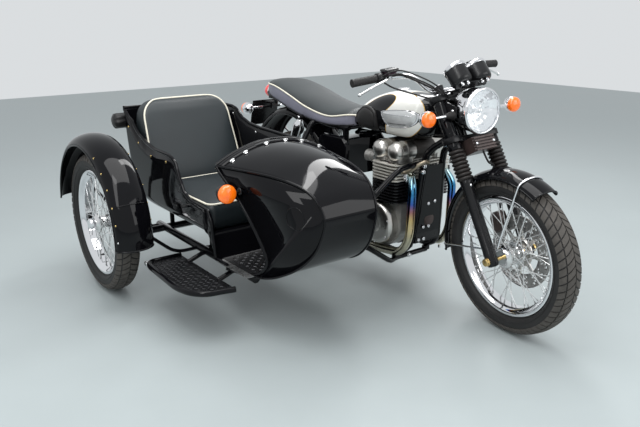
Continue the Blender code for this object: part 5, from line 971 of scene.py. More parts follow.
def step():
    """The step's plate with its tread, rolled rim, two arms and polished bolt."""
    corners = [
        (STEP_REAR + STEP_LENGTH * x, BODY_RIGHT - STEP_WIDTH * y, STEP_Z) for x, y in STEP_SHARES
    ]
    outline = rounded(corners, 0.045, 6)
    plate = Piece("step_plate", smooth=40)
    lift = Vector((0, 0, STEP_PLATE_HALF))
    plate.add(loft([[p - lift for p in outline], [p + lift for p in outline]]), SATIN)
    tread_bumps(plate, [(p.x, p.y) for p in outline], STEP_Z + STEP_PLATE_HALF)
    plate.done("sidecar_step", slot="satin_black")
    rim = Piece("step_rim", smooth=60).add(tube(outline, 0.0130, 16), GLOSS)
    for share in (0.2, 0.75):
        x = STEP_REAR + STEP_LENGTH * share
        arm = [(x, outline[0].y - 0.012, STEP_Z), (x, RAIL_Y - 0.013, RAIL_Z), (x, RAIL_Y, RAIL_Z)]
        rim.add(tube(rounded(arm, 0.01), 0.0104, 12), GLOSS)
    rear = Vector(corners[1])
    rim.add(tube([rear + Vector((0.004, 0.02, 0)), rear + Vector((0.004, -0.016, 0))], 0.010, 14), POLISHED)
    rim.add(hexagon(rear + Vector((0.004, -0.013, 0)), (0, -1, 0), 0.012, 0.008), POLISHED)
    rim.done()


GUARD_ACROSS = 18
GUARD_ALONG = 64
GUARD_SKIN = 0.003


def guard_section(radius, half, drop):
    """A mudguard's crowned section with a rolled edge at both sides, as (radius, y)."""
    outer, inner = [], []
    for k in range(GUARD_ACROSS + 1):
        turn = math.pi / 2 * (2 * k / GUARD_ACROSS - 1)
        fall = drop * (1 - math.cos(turn))
        outer.append((radius - fall, half * math.sin(turn)))
        inner.append((radius - GUARD_SKIN - fall, (half - GUARD_SKIN) * math.sin(turn)))
    return outer + inner[::-1]


def guard(name, body, centre, radius, half, drop, start, end):
    """A mudguard about an axle, with its edges rolled over a wire. Angles run from ahead over the top."""
    section = guard_section(radius, half, drop)
    piece = Piece(name, body, smooth=55)

    def place(r, y, turn):
        return Vector((centre.x + r * math.cos(turn), centre.y + y, centre.z + r * math.sin(turn)))

    turns = [start + (end - start) * k / GUARD_ALONG for k in range(GUARD_ALONG + 1)]
    piece.add(loft([[place(r, y, turn) for r, y in section] for turn in turns]), GLOSS)
    for side in (-1, 1):
        edge = [place(radius - drop - 0.001, side * (half - 0.001), turn) for turn in turns]
        piece.add(tube(edge, 0.0042, 10), GLOSS)
    for turn in (start, end):
        lip = [place(r - 0.001, y, turn) for r, y in section[:GUARD_ACROSS + 1]]
        piece.add(tube(lip, 0.0036, 10), GLOSS)
    return piece, place


def sidecar_guard():
    radius, half, drop = 0.4250, 0.0850, 0.0510
    start, end = math.radians(-4), math.radians(172)
    piece, place = guard("sidecar_guard_skin", "chassis", SIDE_WHEEL, radius, half, drop, start, end)
    inner = SIDE_WHEEL.y + half - GUARD_SKIN
    edge = radius - half * 0.55
    front = Vector((SIDE_WHEEL.x + edge, inner, FRONT_RADIUS))
    rear = Vector((SIDE_WHEEL.x - edge, inner, FRONT_RADIUS + half))
    seat = Vector((-0.05 + 0.016, RAIL_Y, RAIL_Z))
    for route in (
        [front, (front.x, (inner + RAIL_Y) / 2, RAIL_Z), (front.x, RAIL_Y, RAIL_Z)],
        [rear, (rear.x * 0.6, inner * 0.5 + RAIL_Y * 0.5, RAIL_Z), (seat.x, RAIL_Y - 0.024, RAIL_Z), seat],
    ):
        piece.add(tube(rounded(route, 0.05), 0.0080, 14), GLOSS)
    outside = guard_section(radius, half, drop)[:GUARD_ACROSS + 1]
    seam = [place(r + 0.0012, y, math.radians(24)) for r, y in outside]
    piece.add(tube(seam, 0.0022, 8), GLOSS)
    for turn in (2, 13, 24, 36, 48, 62):
        for side in (-1, 1):
            spot = place(radius - drop * 0.62, side * half * 0.93, math.radians(turn))
            out = (spot - place(radius - drop, 0, math.radians(turn))).normalized()
            piece.add(dome(spot, out, 0.0046, 0.003, 12), BRASS if turn > 2 else POLISHED)
    piece.done("sidecar_mudguard", slot="gloss_black")


# Indicator's shell and lens, as shares of its radius
INDICATOR_SHELL = [
    (-1.30, 0.0), (-1.26, 0.22), (-1.12, 0.50), (-0.85, 0.76), (-0.50, 0.93), (-0.12, 1.0), (0.06, 1.0),
    (0.06, 0.90), (-0.05, 0.0)]
INDICATOR_LENS = [
    (-0.02, 0.97), (0.30, 0.985), (0.50, 0.93), (0.66, 0.79), (0.78, 0.52), (0.84, 0.22), (0.85, 0.0)]


def indicator(name, body, tip, facing, radius, root, shell=CHROME):
    """A round indicator: a bullet shell, a rim and a domed lens, on its stem."""
    piece = Piece(name, body, smooth=50)
    tip = Vector(tip)
    for shares, material in ((INDICATOR_SHELL, shell), (INDICATOR_LENS, AMBER)):
        profile = [(radius * along, radius * out) for along, out in shares]
        piece.add(turned(tip, (facing, 0, 0), profile, 40), material)
    piece.add(tube([Vector(root), tip], 0.0070, 16), shell)
    return piece


def side_indicator():
    x = NOSE_REAR + 0.0897
    y = BODY_Y - nose_half(x)
    z = BODY_FLOOR + 0.3500
    piece = indicator("sidecar_lamp", "chassis", (x, y - 0.060, z), 1, 0.0385, (x, y + 0.002, z), BLACK_CAP)
    piece.add(dome((x, y, z), (0, -1, 0), 0.016, 0.006, 24), BLACK_CAP)
    piece.done("sidecar_indicator", slot="amber_lens")


tub()
nose()
seat_back()
seat_cushion()
hood_roll()
step()
sidecar_guard()
side_indicator()


# Fuel tank

TANK_FRONT = 1.0850
TANK_LENGTH = 0.4850
TANK_HALF = 0.1400
TANK_BASE = 0.7350
TANK_HEIGHT = 0.2050
TANK_POWER = 2.7
# Along from the front: half width, base, top
TANK_SHARES = [
    (0.00, 0.28, 0.32, 0.64), (0.05, 0.52, 0.15, 0.83), (0.14, 0.80, 0.04, 0.94), (0.32, 0.97, 0.00, 0.99),
    (0.55, 1.00, 0.00, 0.98), (0.76, 0.90, 0.02, 0.83), (0.90, 0.78, 0.04, 0.63), (1.00, 0.64, 0.06, 0.44)]
# Outline of the cream paint on one flank: along from the front, degrees from the top
CREAM_OUTLINE = [
    (0.355, -30), (0.355, 0), (0.300, 11), (0.195, 24), (0.105, 41), (0.066, 66), (0.066, 93), (0.105, 117),
    (0.190, 138), (0.310, 152), (0.430, 155), (0.500, 146), (0.462, 122), (0.432, 100), (0.452, 86),
    (0.415, 77), (0.375, 64), (0.366, 50), (0.405, 36), (0.505, 30), (0.630, 43), (0.720, 57), (0.820, 66),
    (1.030, 74), (1.030, -30)]
DEGREE_OF_GIRTH = 0.0022
PINLINE_HALF = 0.0016


def tank_point(share, turn, out=0.0):
    """A place on the tank: share from its front, turn from its top, positive to the left."""
    width, base, top = from_table(TANK_SHARES, min(max(share, 0), 1))
    half = TANK_HALF * width + out
    low, high = TANK_BASE + TANK_HEIGHT * base - out, TANK_BASE + TANK_HEIGHT * top + out
    across, up = math.sin(turn), math.cos(turn)
    y = half * math.copysign(abs(across) ** (2 / TANK_POWER), across)
    z = (low + high) / 2 + (high - low) / 2 * math.copysign(abs(up) ** (2 / TANK_POWER), up)
    return Vector((TANK_FRONT - TANK_LENGTH * share, y, z))


def tank_flank(x, z):
    """The tank's half width at a place on its side."""
    width, base, top = from_table(TANK_SHARES, (TANK_FRONT - x) / TANK_LENGTH)
    low, high = TANK_BASE + TANK_HEIGHT * base, TANK_BASE + TANK_HEIGHT * top
    up = min(abs(2 * (z - low) / (high - low) - 1), 0.96)
    return TANK_HALF * width * (1 - up ** TANK_POWER) ** (1 / TANK_POWER)


def two_tone():
    """Cream paint inside the line that the mesh carries, black outside it and gold along it."""
    made, add, bsdf, link = shader("tank_paint", (0.8, 0.79, 0.73), 0.06, coat=0.15, Specular_IOR_Level=0.3)
    line = add("Attribute")
    line.attribute_name = "paint_line"
    place = add("TexCoord")
    clouds = add("TexNoise", Scale=9.0, Detail=5.0)
    link(place.outputs["Object"], clouds.inputs["Vector"])
    cream, black = [
        ramp(add, link, clouds.outputs["Fac"], [(0.25, dark), (0.75, light)])
        for dark, light in (
            ((0.80, 0.79, 0.74), (0.86, 0.85, 0.81)), ((0.004, 0.004, 0.005), (0.006, 0.006, 0.007)))
    ]
    inside = add("Math", operation="GREATER_THAN")
    inside.inputs[1].default_value = 0.0
    link(line.outputs["Fac"], inside.inputs[0])
    paints = add("MixRGB")
    link(inside.outputs["Value"], paints.inputs["Fac"])
    link(black, paints.inputs["Color1"])
    link(cream, paints.inputs["Color2"])
    away = add("Math", operation="ABSOLUTE")
    link(line.outputs["Fac"], away.inputs[0])
    on_line = add("Math", operation="LESS_THAN")
    on_line.inputs[1].default_value = PINLINE_HALF
    link(away.outputs["Value"], on_line.inputs[0])
    lined = add("MixRGB")
    link(on_line.outputs["Value"], lined.inputs["Fac"])
    link(paints.outputs["Color"], lined.inputs["Color1"])
    lined.inputs["Color2"].default_value = (0.62, 0.38, 0.10, 1)
    link(lined.outputs["Color"], bsdf.inputs["Base Color"])
    return made


TANK_PAINT = two_tone()


def fuel_tank():
    """The painted tank with its badges, knee pads and cap."""
    outline = [
        (p.x * TANK_LENGTH, p.y * DEGREE_OF_GIRTH)
        for p in smooth_path([(a, b, 0) for a, b in CREAM_OUTLINE], 5)
    ]
    rings, line = [], []
    along, around = 130, 176
    for i in range(along + 1):
        share = i / along
        ring = []
        for k in range(around):
            degrees = -180 + 360 * k / around
            ring.append(tank_point(share, math.radians(degrees)))
            line.append(inside_by(share * TANK_LENGTH, abs(degrees) * DEGREE_OF_GIRTH, outline))
        rings.append(ring)
    piece = Piece("tank_body", smooth=60).add(loft(rings), TANK_PAINT)
    body = piece.done("fuel_tank", slot="cream_paint")
    mesh = body.data
    values = mesh.attributes.new("paint_line", "FLOAT", "POINT")
    places = KDTree(len(line))
    for index, point in enumerate(p for ring in rings for p in ring):
        places.insert(FIXED @ point, index)
    places.balance()
    for vertex in mesh.vertices:
        values.data[vertex.index].value = line[places.find(vertex.co)[1]]
    fittings = Piece("tank_fittings", smooth=50)
    for side in (-1, 1):
        badge(fittings, side)
        knee_pad(fittings, side)
    top = tank_point(0.50, 0)
    fittings.add(turned(top - Vector((0, 0, 0.005)), Z_AXIS, [
        (0, 0.0310), (0.006, 0.0325), (0.008, 0.0325), (0.0085, 0.0285), (0.012, 0.0285), (0.015, 0.0265),
        (0.0168, 0.020), (0.0175, 0.010), (0.0176, 0)], 56), CHROME)
    fittings.done()


def badge(piece, side):
    """A plain outline badge on the flank, with no lettering."""
    outline = closed_path([
        Vector(p) for p in (
            (0.495, 85, 0), (0.400, 80, 0), (0.275, 76, 0), (0.160, 74, 0), (0.095, 80, 0), (0.105, 93, 0),
            (0.165, 103, 0), (0.270, 108, 0), (0.400, 107, 0), (0.450, 98, 0))], 6)
    middle = Vector((0.28, 91, 0))

    def ring(share, out):
        return [
            tank_point(q.x, side * math.radians(q.y), out)
            for q in (middle + (p - middle) * share for p in outline)
        ]

    piece.add(loft([ring(1.04, -0.0005), ring(1.04, 0.0008), ring(0.98, 0.0008)]), BLACK_CAP)
    piece.add(loft([ring(1.0, -0.0005), ring(1.0, 0.0022), ring(0.95, 0.0030), ring(0.91, 0.0012)]), CHROME)
    inner = [ring(share, out) for share, out in (
        (0.91, 0.0012), (0.88, 0.0012), (0.86, 0.0020), (0.70, 0.0030), (0.45, 0.0036), (0.20, 0.0040),
        (0.03, 0.0040))]
    piece.add(loft(inner), SILVER)
    bar = [
        tank_point(share, side * math.radians(86 + 3 * (share - 0.12)), 0.0040)
        for share in [0.14 + 0.29 * k / 12 for k in range(13)]
    ]
    piece.add(tube(bar, 0.0016, 8), CHROME)
    lower = [
        tank_point(share, side * math.radians(99), 0.0036)
        for share in [0.20 + 0.20 * k / 10 for k in range(11)]
    ]
    piece.add(tube(lower, 0.0012, 8), BLACK_CAP)


def knee_pad(piece, side):
    corners = [
        (0.700, 0.866), (0.762, 0.868), (0.806, 0.850), (0.818, 0.808), (0.810, 0.768), (0.762, 0.756),
        (0.700, 0.760), (0.652, 0.782), (0.642, 0.826)]
    outline = closed_path([Vector((x, 0, z)) for x, z in corners], 7)
    middle = Vector((0.735, 0, 0.812))
    rings = []
    for share, out in (
        (1.0, -0.004), (1.0, 0.007), (0.985, 0.0095), (0.95, 0.0110), (0.87, 0.0115), (0.845, 0.0095),
        (0.80, 0.0090), (0.775, 0.0112), (0.74, 0.0128), (0.50, 0.0140), (0.25, 0.0145), (0.03, 0.0146),
    ):
        ring = []
        for p in outline:
            q = middle + (p - middle) * share
            ring.append(Vector((q.x, side * (tank_flank(q.x, q.z) + out), q.z)))
        rings.append(ring)
    piece.add(loft(rings), RUBBER)


# Dual seat

# Along from the front: half width, base, top as shares of frame height, and the seam's share of the side
SEAT_SHARES = [
    (0.00, 0.52, 0.940, 1.010, 0.88), (0.05, 0.76, 0.934, 1.040, 0.66), (0.20, 0.95, 0.926, 1.042, 0.50),
    (0.42, 1.00, 0.944, 1.075, 0.56), (0.60, 1.00, 0.978, 1.118, 0.67), (0.80, 0.95, 1.028, 1.156, 0.73),
    (0.90, 0.95, 1.052, 1.158, 0.71), (0.95, 0.95, 1.065, 1.149, 0.69), (1.00, 0.95, 1.078, 1.122, 0.66)]
SEAT_ROUNDED_FROM = 0.78
SEAT_ROUNDED_OVER = 0.226


def seat_x(share):
    return SEAT_REAR + SEAT_LENGTH * (1 - share)


def seat_section(share):
    """Half the seat's section from the middle of its base up to its seam, and on to the middle of its top."""
    width, base, top, seam = from_table(SEAT_SHARES, share)
    room = min(share, 1 - share)
    end = math.sqrt(1 - (1 - min(room / 0.045, 1)) ** 2) * 0.45 + 0.55
    rear = max(share - SEAT_ROUNDED_FROM, 0) / SEAT_ROUNDED_OVER
    half = 0.1400 * width * end * math.sqrt(1 - rear ** 2.3)
    base, top = FRAME_HEIGHT * base, FRAME_HEIGHT * top
    middle = (base + top) / 2
    base, top = middle + (base - middle) * (0.3 + 0.7 * end), middle + (top - middle) * (0.5 + 0.5 * end)
    seam = base + (top - base) * seam
    side = [(0.0, base), (half * 0.45, base), (half * 0.86, base), (half * 0.94, base + 0.003)]
    for k in range(7):
        t = k / 6
        bulge = half * (0.965 + 0.035 * math.sin(math.pi * (0.15 + 0.75 * t)))
        side.append((bulge, base + 0.008 + (seam - base - 0.008) * t))
    edge = side[-1][0]
    crown = [(edge, seam)]
    for k in range(1, 15):
        turn = math.pi / 2 * k / 14
        crown.append((edge * math.cos(turn) ** 0.9, seam + (top - seam) * math.sin(turn)))
    return side, crown


def dual_seat():
    """The dual seat with its piping along the seam and a trim strip along each side."""
    sides, crowns, seam = [[], []], [[], []], [[], []]
    stations = [0, 0.002, 0.006, 0.012, 0.020, 0.030, 0.045] + [0.045 + 0.91 * k / 46 for k in range(1, 46)]
    stations += [0.955, 0.970, 0.980, 0.988, 0.994, 0.998, 1.0]
    for share in stations:
        x = seat_x(share)
        side, crown = seat_section(share)
        for index, sign in enumerate((-1, 1)):
            sides[index].append([Vector((x, sign * y, z)) for y, z in side])
            crowns[index].append([Vector((x, sign * y, z)) for y, z in crown])
            seam[index].append(Vector((x, sign * (side[-1][0] + 0.0012), side[-1][1])))
    piece = Piece("dual_seat_pad", smooth=60)
    for index in (0, 1):
        # Sides take the lighter vinyl, a painted sheen, and the crown takes the darker top.
        piece.add(strip(sides[index]), SEAT_SIDE_SHEEN)
        piece.add(strip(crowns[index]), SEAT_TOP)
    for end in (0, -1):
        ring = sides[0][end] + crowns[0][end][1:] + crowns[1][end][::-1][1:] + sides[1][end][::-1][1:-1]
        piece.add((ring, [tuple(range(len(ring)))]), SEAT_SIDE_SHEEN)
    pad = piece.done("dual_seat", slot="vinyl")
    last = seam[0][-1]
    back = [Vector((last.x - 0.001, last.y * t, last.z)) for t in (0.66, 0.33, 0, -0.33, -0.66)]
    route = seam[0][1:] + back + seam[1][:0:-1]
    Piece("dual_seat_piping", smooth=60).add(tube(route, 0.0042, 10), PIPING).done()
    trim = Piece("dual_seat_trim", smooth=60)
    for sign in (-1, 1):
        edge = []
        for k in range(40):
            share = 0.02 + 0.95 * k / 39
            side, _ = seat_section(share)
            edge.append(Vector((seat_x(share), sign * (side[4][0] + 0.001), side[4][1] - 0.003)))
        trim.add(tube(edge, 0.0028, 8), SATIN)
    trim.done()


# Lamp and instruments

def headlamp():
    """The bowl, rim and reflector, the glass, and the bolts at both sides."""
    origin = Vector((LAMP_FACE, 0, LAMP_Z))
    bowl = smooth_path([
        (-0.1158, 0.000, 0), (-0.1150, 0.022, 0), (-0.1062, 0.053, 0), (-0.0826, 0.0748, 0),
        (-0.0496, 0.0876, 0), (-0.0220, 0.0910, 0), (0.0020, 0.0912, 0)], 6)
    shell = Piece("lamp_bowl", "steering", 60)
    skin = [(p.x, max(p.y, 0)) for p in bowl]
    inside = [(along + 0.0012, max(radius - 0.0016, 0)) for along, radius in skin[::-1]]
    shell.add(turned(origin, X_AXIS, skin + inside, 80), CHROME)
    shell.add(turned(origin, X_AXIS, [
        (-0.0010, 0.0900), (-0.0005, 0.0938), (0.0040, 0.0952), (0.0130, 0.0956), (0.0185, 0.0946),
        (0.0222, 0.0912), (0.0232, 0.0878), (0.0215, 0.0852), (0.0150, 0.0848), (0.0040, 0.0880)],
        80, closed=True), CHROME)
    latch = [origin + Vector((0.004, 0, -0.0950)), origin + Vector((0.014, 0, -0.0985))]
    shell.add(tube(latch, 0.0040, 12), CHROME)
    rings = []
    for k in range(25):
        t = k / 24
        radius = 0.012 + 0.0725 * t
        ring = []
        for j in range(96):
            turn = math.tau * j / 96
            wave = 0.0050 * t * abs(math.sin(turn * 6)) + 0.0028 * abs(math.sin(math.pi * 3 * t))
            depth = -0.034 + 0.043 * t ** 2 + wave
            ring.append(origin + Vector((depth, radius * math.sin(turn), radius * math.cos(turn))))
        rings.append(ring)
    # Faceted reflector, lit by a painted glow from its material's emission.
    shell.add(strip([ring + ring[:1] for ring in rings]), REFLECTOR_GLOW)
    shell.add(turned(origin, X_AXIS, [
        (-0.034, 0.013), (-0.010, 0.013), (-0.004, 0.011), (0.0, 0.006), (0.001, 0)], 32), POLISHED)
    shell.add(turned(origin, X_AXIS, [(-0.036, 0.0), (-0.034, 0.0125)], 32), DIAL)
    shell.done("headlamp_shell", slot="chrome")
    lens = Piece("lamp_glass", "steering", 60)
    lens.add(turned(origin, X_AXIS, [
        (0.0300, 0), (0.0296, 0.025), (0.0272, 0.055), (0.0230, 0.074), (0.0185, 0.0848), (0.0212, 0.0848),
        (0.0256, 0.074), (0.0298, 0.055), (0.0322, 0.025), (0.0326, 0)], 80), CLEAR)
    lens.done("headlamp_lens", slot="lamp_glass")
    for side in (-1, 1):
        Piece("lamp_bolt_" + ("right" if side < 0 else "left"), "steering", 50).add(
            dome((LAMP_FACE - 0.0500, side * 0.1000, LAMP_Z), (0, side, 0), 0.0125, 0.009, 28), CHROME).done()


GAUGE_TILT = math.radians(44)
GAUGE_PLACE = Vector((1.2640, 0, 1.0120))
GAUGE_HALF_SPAN = 0.0520


def gauges():
    """Two gauges with ticks and needles, on their plate, and their glass."""
    axis = Vector((-math.sin(GAUGE_TILT), 0, math.cos(GAUGE_TILT)))
    up = axis.cross(Y_AXIS)
    piece = Piece("gauge_cups", "steering", 50)
    for side in (-1, 1):
        base = GAUGE_PLACE + Y_AXIS * side * GAUGE_HALF_SPAN
        piece.add(turned(base, axis, [
            (-0.004, 0.0), (-0.004, 0.0280), (-0.0025, 0.0350), (0.0010, 0.0400), (0.0060, 0.0430),
            (0.0130, 0.0445), (0.0640, 0.0465), (0.0645, 0.0430)], 64), BLACK_CAP)
        piece.add(turned(base, axis, [
            (0.0630, 0.0455), (0.0632, 0.0484), (0.0650, 0.0492), (0.0740, 0.0494), (0.0780, 0.0484),
            (0.0800, 0.0460), (0.0792, 0.0436), (0.0740, 0.0428), (0.0680, 0.0428)], 64, closed=True), CHROME)
        face = base + axis * 0.0705
        piece.add(turned(face, axis, [(0, 0.0432), (0.0006, 0.0432), (0.0006, 0)], 64), SATIN)
        # Ticks, then the needle: angle, height, start, end, radius, material
        marks = [
            (-130 + 260 * k / 24, 0.0008, 0.0350 if k % 4 else 0.0310, 0.0400, 0.0006, DIAL)
            for k in range(25)
        ]
        marks.append((-130, 0.0030, -0.008, 0.0290, 0.0009, RED))
        for degrees, height, start, end, radius, material in marks:
            turn = math.radians(degrees)
            out = up * -math.cos(turn) + Y_AXIS * math.sin(turn)
            level = face + axis * height
            piece.add(tube([level + out * start, level + out * end], radius, 6), material)
        piece.add(turned(face, axis, [
            (0, 0.0055), (0.0040, 0.0055), (0.0048, 0.0040), (0.0048, 0)], 24), BLACK_CAP)
        for x_off, y_off in ((0.016, 0.010), (0.012, -0.016)):
            foot = base - up * x_off + Y_AXIS * y_off
            piece.add(turned(foot, -axis, [
                (0.002, 0.0066), (0.016, 0.0066), (0.018, 0.0045), (0.018, 0)], 20), CHROME)
        piece.add(turned(base, -axis, [
            (0.002, 0.0120), (0.014, 0.0115), (0.020, 0.0070), (0.020, 0)], 24), SATIN)
    low = GAUGE_PLACE - axis * 0.0100
    plate = [low + Y_AXIS * y + up * u for y, u in (
        (-0.062, -0.020), (0.062, -0.020), (0.070, 0.0), (0.050, 0.020), (-0.050, 0.020), (-0.070, 0.0))]
    piece.add(loft([[p - axis * 0.0015 for p in plate], [p + axis * 0.0015 for p in plate]]), SATIN)
    foot = fork_point(0.7045, 0.0040, 0)
    for y in (-0.030, 0.030):
        shift = Vector((0, y, 0))
        piece.add(tube([foot + shift, foot + shift + UP_LEG * 0.010, low + shift], 0.0060, 16), SATIN)
    piece.done("gauges", bevel=0.0006, slot="satin_black")
    glass = Piece("gauge_glass", "steering", 60)
    for side in (-1, 1):
        base = GAUGE_PLACE + Y_AXIS * side * GAUGE_HALF_SPAN
        glass.add(turned(base, axis, [
            (0.0758, 0), (0.0758, 0.0432), (0.0766, 0.0432), (0.0776, 0.022), (0.0778, 0)], 64), CLEAR)
    glass.done(slot="lamp_glass")


# Handlebar and its controls

BAR_SHARES = [
    (0.00, 0.000, 0.00), (0.00, 0.235, 0.00), (-0.50, 0.335, 0.97), (-0.95, 0.610, 0.97),
    (-1.00, 1.000, 0.85)]


def bar_side(side):
    """The bends of one half of the bar, from its clamp to its end."""
    middle = fork_point(BAR_ALONG, BAR_AHEAD, 0)
    return [
        middle + Vector((0.1350 * back, side * 0.3950 * out, 0.0750 * up)) for back, out, up in BAR_SHARES
    ]


def handlebar():
    """The bar with its grips, housings, levers, brake reservoir and clamp bolts."""
    right, left = bar_side(-1), bar_side(1)
    piece = Piece("bar_tube", "steering", 50)
    piece.add(tube(rounded(right[::-1] + left[1:], 0.045, 8), 0.0111, 28), CHROME)
    for side, points in ((-1, right), (1, left)):
        inner, end = points[-2], points[-1]
        along = (end - inner).normalized()
        start = end - along * 0.1153
        root = start - along * 0.0350
        profile = [(-0.0120, 0.0150), (-0.0120, 0.0185), (-0.0085, 0.0190), (-0.0070, 0.0172)]
        for k in range(14):
            at = 0.002 + 0.0078 * k
            profile += [(at, 0.0160), (at + 0.0015, 0.0168), (at + 0.0056, 0.0168), (at + 0.0070, 0.0160)]
        profile += [(0.1135, 0.0172), (0.1170, 0.0178), (0.1190, 0.0165), (0.1195, 0.0)]
        piece.add(turned(start, along, profile, 40), RUBBER)
        level, up = square_to(along, (0, 0, 1))
        housing = []
        for at, size in (
            (0.000, 0.60), (0.001, 0.86), (0.004, 0.98), (0.017, 1.0), (0.031, 0.98), (0.0345, 0.86),
            (0.035, 0.6),
        ):
            ring = []
            for k in range(36):
                turn = math.tau * k / 36
                c, s = math.cos(turn), math.sin(turn)
                a = 0.0215 * size * math.copysign(abs(c) ** 0.7, c)
                b = 0.0235 * size * math.copysign(abs(s) ** 0.7, s)
                ring.append(root + along * at + level * a + up * b)
            housing.append(ring)
        piece.add(loft(housing), BLACK_CAP)
        for at, tint in ((0.010, RED if side < 0 else DIAL), (0.023, BLACK_CAP)):
            piece.add(turned(root + along * at + Vector((0, 0, 0.004)), -X_AXIS, [
                (0.018, 0.0055), (0.0250, 0.0055), (0.0262, 0.0040), (0.0262, 0)], 20), tint)
        middle = root - along * 0.0130
        pivot = middle + Vector((0.0330, 0, -0.002))
        piece.add(turned(middle - along * 0.0100, along, [
            (0, 0.0150), (0.001, 0.0165), (0.019, 0.0165), (0.020, 0.0150)], 32), SATIN)
        piece.add(tube([middle, pivot], 0.0080, 20), SATIN)
        piece.add(turned(pivot - Vector((0, 0, 0.008)), Z_AXIS, [
            (0, 0), (0, 0.0085), (0.016, 0.0085), (0.017, 0.006), (0.017, 0)], 28), CHROME)
        reach = end + Vector((0.0350, -side * 0.0115, -0.0450))
        blade = smooth_path([
            pivot, pivot + (reach - pivot) * 0.18 + Vector((0.010, 0, 0.004)),
            pivot + (reach - pivot) * 0.6 + Vector((0.006, 0, 0.004)), reach], 8)
        piece.add(tube(blade, 0.0050, 16), POLISHED)
        piece.add(turned(reach - (blade[-1] - blade[-2]).normalized() * 0.006, blade[-1] - blade[-2], [
            (0, 0.0), (0.001, 0.0045), (0.004, 0.0074), (0.008, 0.0082), (0.012, 0.0070), (0.0155, 0.0035),
            (0.0162, 0)], 24), POLISHED)
    size = Vector((0.0520, 0.0620, 0.0300))
    out = (right[-1] - right[-2]).normalized()
    centre = right[-1] - out * (0.1150 + 0.0350 + size.y * 0.4) + Vector((size.x * 0.2, 0, size.z * 0.6))
    reservoir(piece, centre, size, out)
    for side in (-1, 1):
        for along in (-0.012, 0.012):
            foot = fork_point(BAR_ALONG + 0.021, BAR_AHEAD + along, side * 0.0500)
            piece.add(hexagon(foot, UP_LEG, 0.0055, 0.006), CHROME)
    nut = fork_point(0.7190, -0.0583, 0)
    piece.add(hexagon(nut, UP_LEG, 0.0200, 0.010), CHROME)
    piece.done("handlebar", bevel=0.0005, slot="chrome")


def reservoir(piece, centre, size, out):
    """The brake fluid's cup and its lid. Levels are shares of the height and of the width."""
    for material, levels in (
        (TINTED, ((-0.50, 0.62), (-0.49, 0.74), (0.25, 0.98), (0.26, 1.0))),
        (BLACK_CAP, ((0.24, 1.02), (0.25, 1.06), (0.44, 1.06), (0.50, 1.0))),
    ):
        piece.add(loft([
            slab(centre + Z_AXIS * size.z * up, X_AXIS, out, size.x / 2 * share, size.y / 2 * share, 0.010)
            for up, share in levels
        ]), material)
    for along in (-0.018, 0.018):
        screw = centre + out * along + Z_AXIS * size.z * 0.5
        piece.add(dome(screw, Z_AXIS, 0.0040, 0.0018, 14), STEEL)
    outlet = [centre - Z_AXIS * size.z * 0.45, centre - Vector((0.008, 0, size.z * 0.80))]
    piece.add(tube(outlet, 0.0125, 20), BLACK_CAP)


def cable(name, points, radius):
    """A control cable, its line smoothed through the points; its length is summed but not used."""
    route = smooth_path([Vector(p) for p in points], 14)
    path = [PLACE["steering"] @ p for p in route]
    length = sum((b - a).length for a, b in zip(path, path[1:]))
    piece = Piece(name, "steering", 60).add(tube(route, radius, 12), RUBBER).done(slot="rubber")
    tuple(path[0])


def cables():
    """Cables and leads at the front. A lead's places are given by a start and an offset from it."""
    right, left = bar_side(-1), bar_side(1)
    out = (right[-1] - right[-2]).normalized()
    root = right[-1] - out * 0.1503
    perch = right[-1] - out * 0.1700
    tie = fork_point(0.700, -0.010, 0)

    def lead(name, radius, *route):
        cable(name, [start + Vector(offset) for start, *offset in route], radius)

    lead("throttle_cable_pull", 0.0031,
         (root + out * 0.020, 0.020, 0, 0.008), (root, 0.052, 0.010, 0.026), (root, 0.075, 0.060, 0.024),
         (tie, -0.010, -0.125, 0.072), (tie, 0.020, -0.078, 0.020), (tie, 0.028, -0.060, -0.040))
    lead("throttle_cable_return", 0.0031,
         (root + out * 0.010, 0.020, 0, 0.000), (root, 0.046, 0.012, 0.012), (root, 0.070, 0.058, 0.010),
         (tie, -0.022, -0.118, 0.056), (tie, 0.008, -0.072, 0.008), (tie, 0.014, -0.056, -0.046))
    lead("brake_hose", 0.0042,
         (perch, 0.028, 0.006, 0.004), (perch, 0.060, 0.045, 0.002), (tie, -0.010, -0.100, 0.034),
         (tie, 0.030, -0.064, -0.020), (tie, 0.044, -0.050, -0.070))
    lead("switch_lead_right", 0.0036,
         (root, 0.002, 0.004, -0.024), (root, 0.020, 0.050, -0.052), (tie, -0.060, -0.120, 0.004),
         (tie, -0.006, -0.075, -0.020), (tie, 0.010, -0.060, -0.060))
    cable("brake_hose_lower", [
        fork_point(0.470, 0.030, 0.012), fork_point(0.430, 0.026, 0.016), fork_point(0.390, 0.020, 0.030),
        fork_point(0.372, 0.010, 0.060), fork_point(0.330, -0.020, 0.078), fork_point(0.240, -0.050, 0.086),
        fork_point(0.196, -0.058, 0.082)], 0.0042)
    out_left = (left[-1] - left[-2]).normalized()
    grip = left[-1] - out_left * 0.1503
    lead("clutch_cable", 0.0036,
         (grip, 0.030, -0.014, 0.004), (grip, 0.062, -0.060, 0.010), (tie, -0.006, 0.120, 0.056),
         (tie, 0.018, 0.072, 0.006), (tie, 0.024, 0.056, -0.050))
    lead("switch_lead_left", 0.0036,
         (grip, 0.002, -0.004, -0.024), (grip, 0.020, -0.050, -0.050), (tie, -0.060, 0.116, 0.002),
         (tie, -0.008, 0.074, -0.020), (tie, 0.006, 0.058, -0.062))


# Front fork

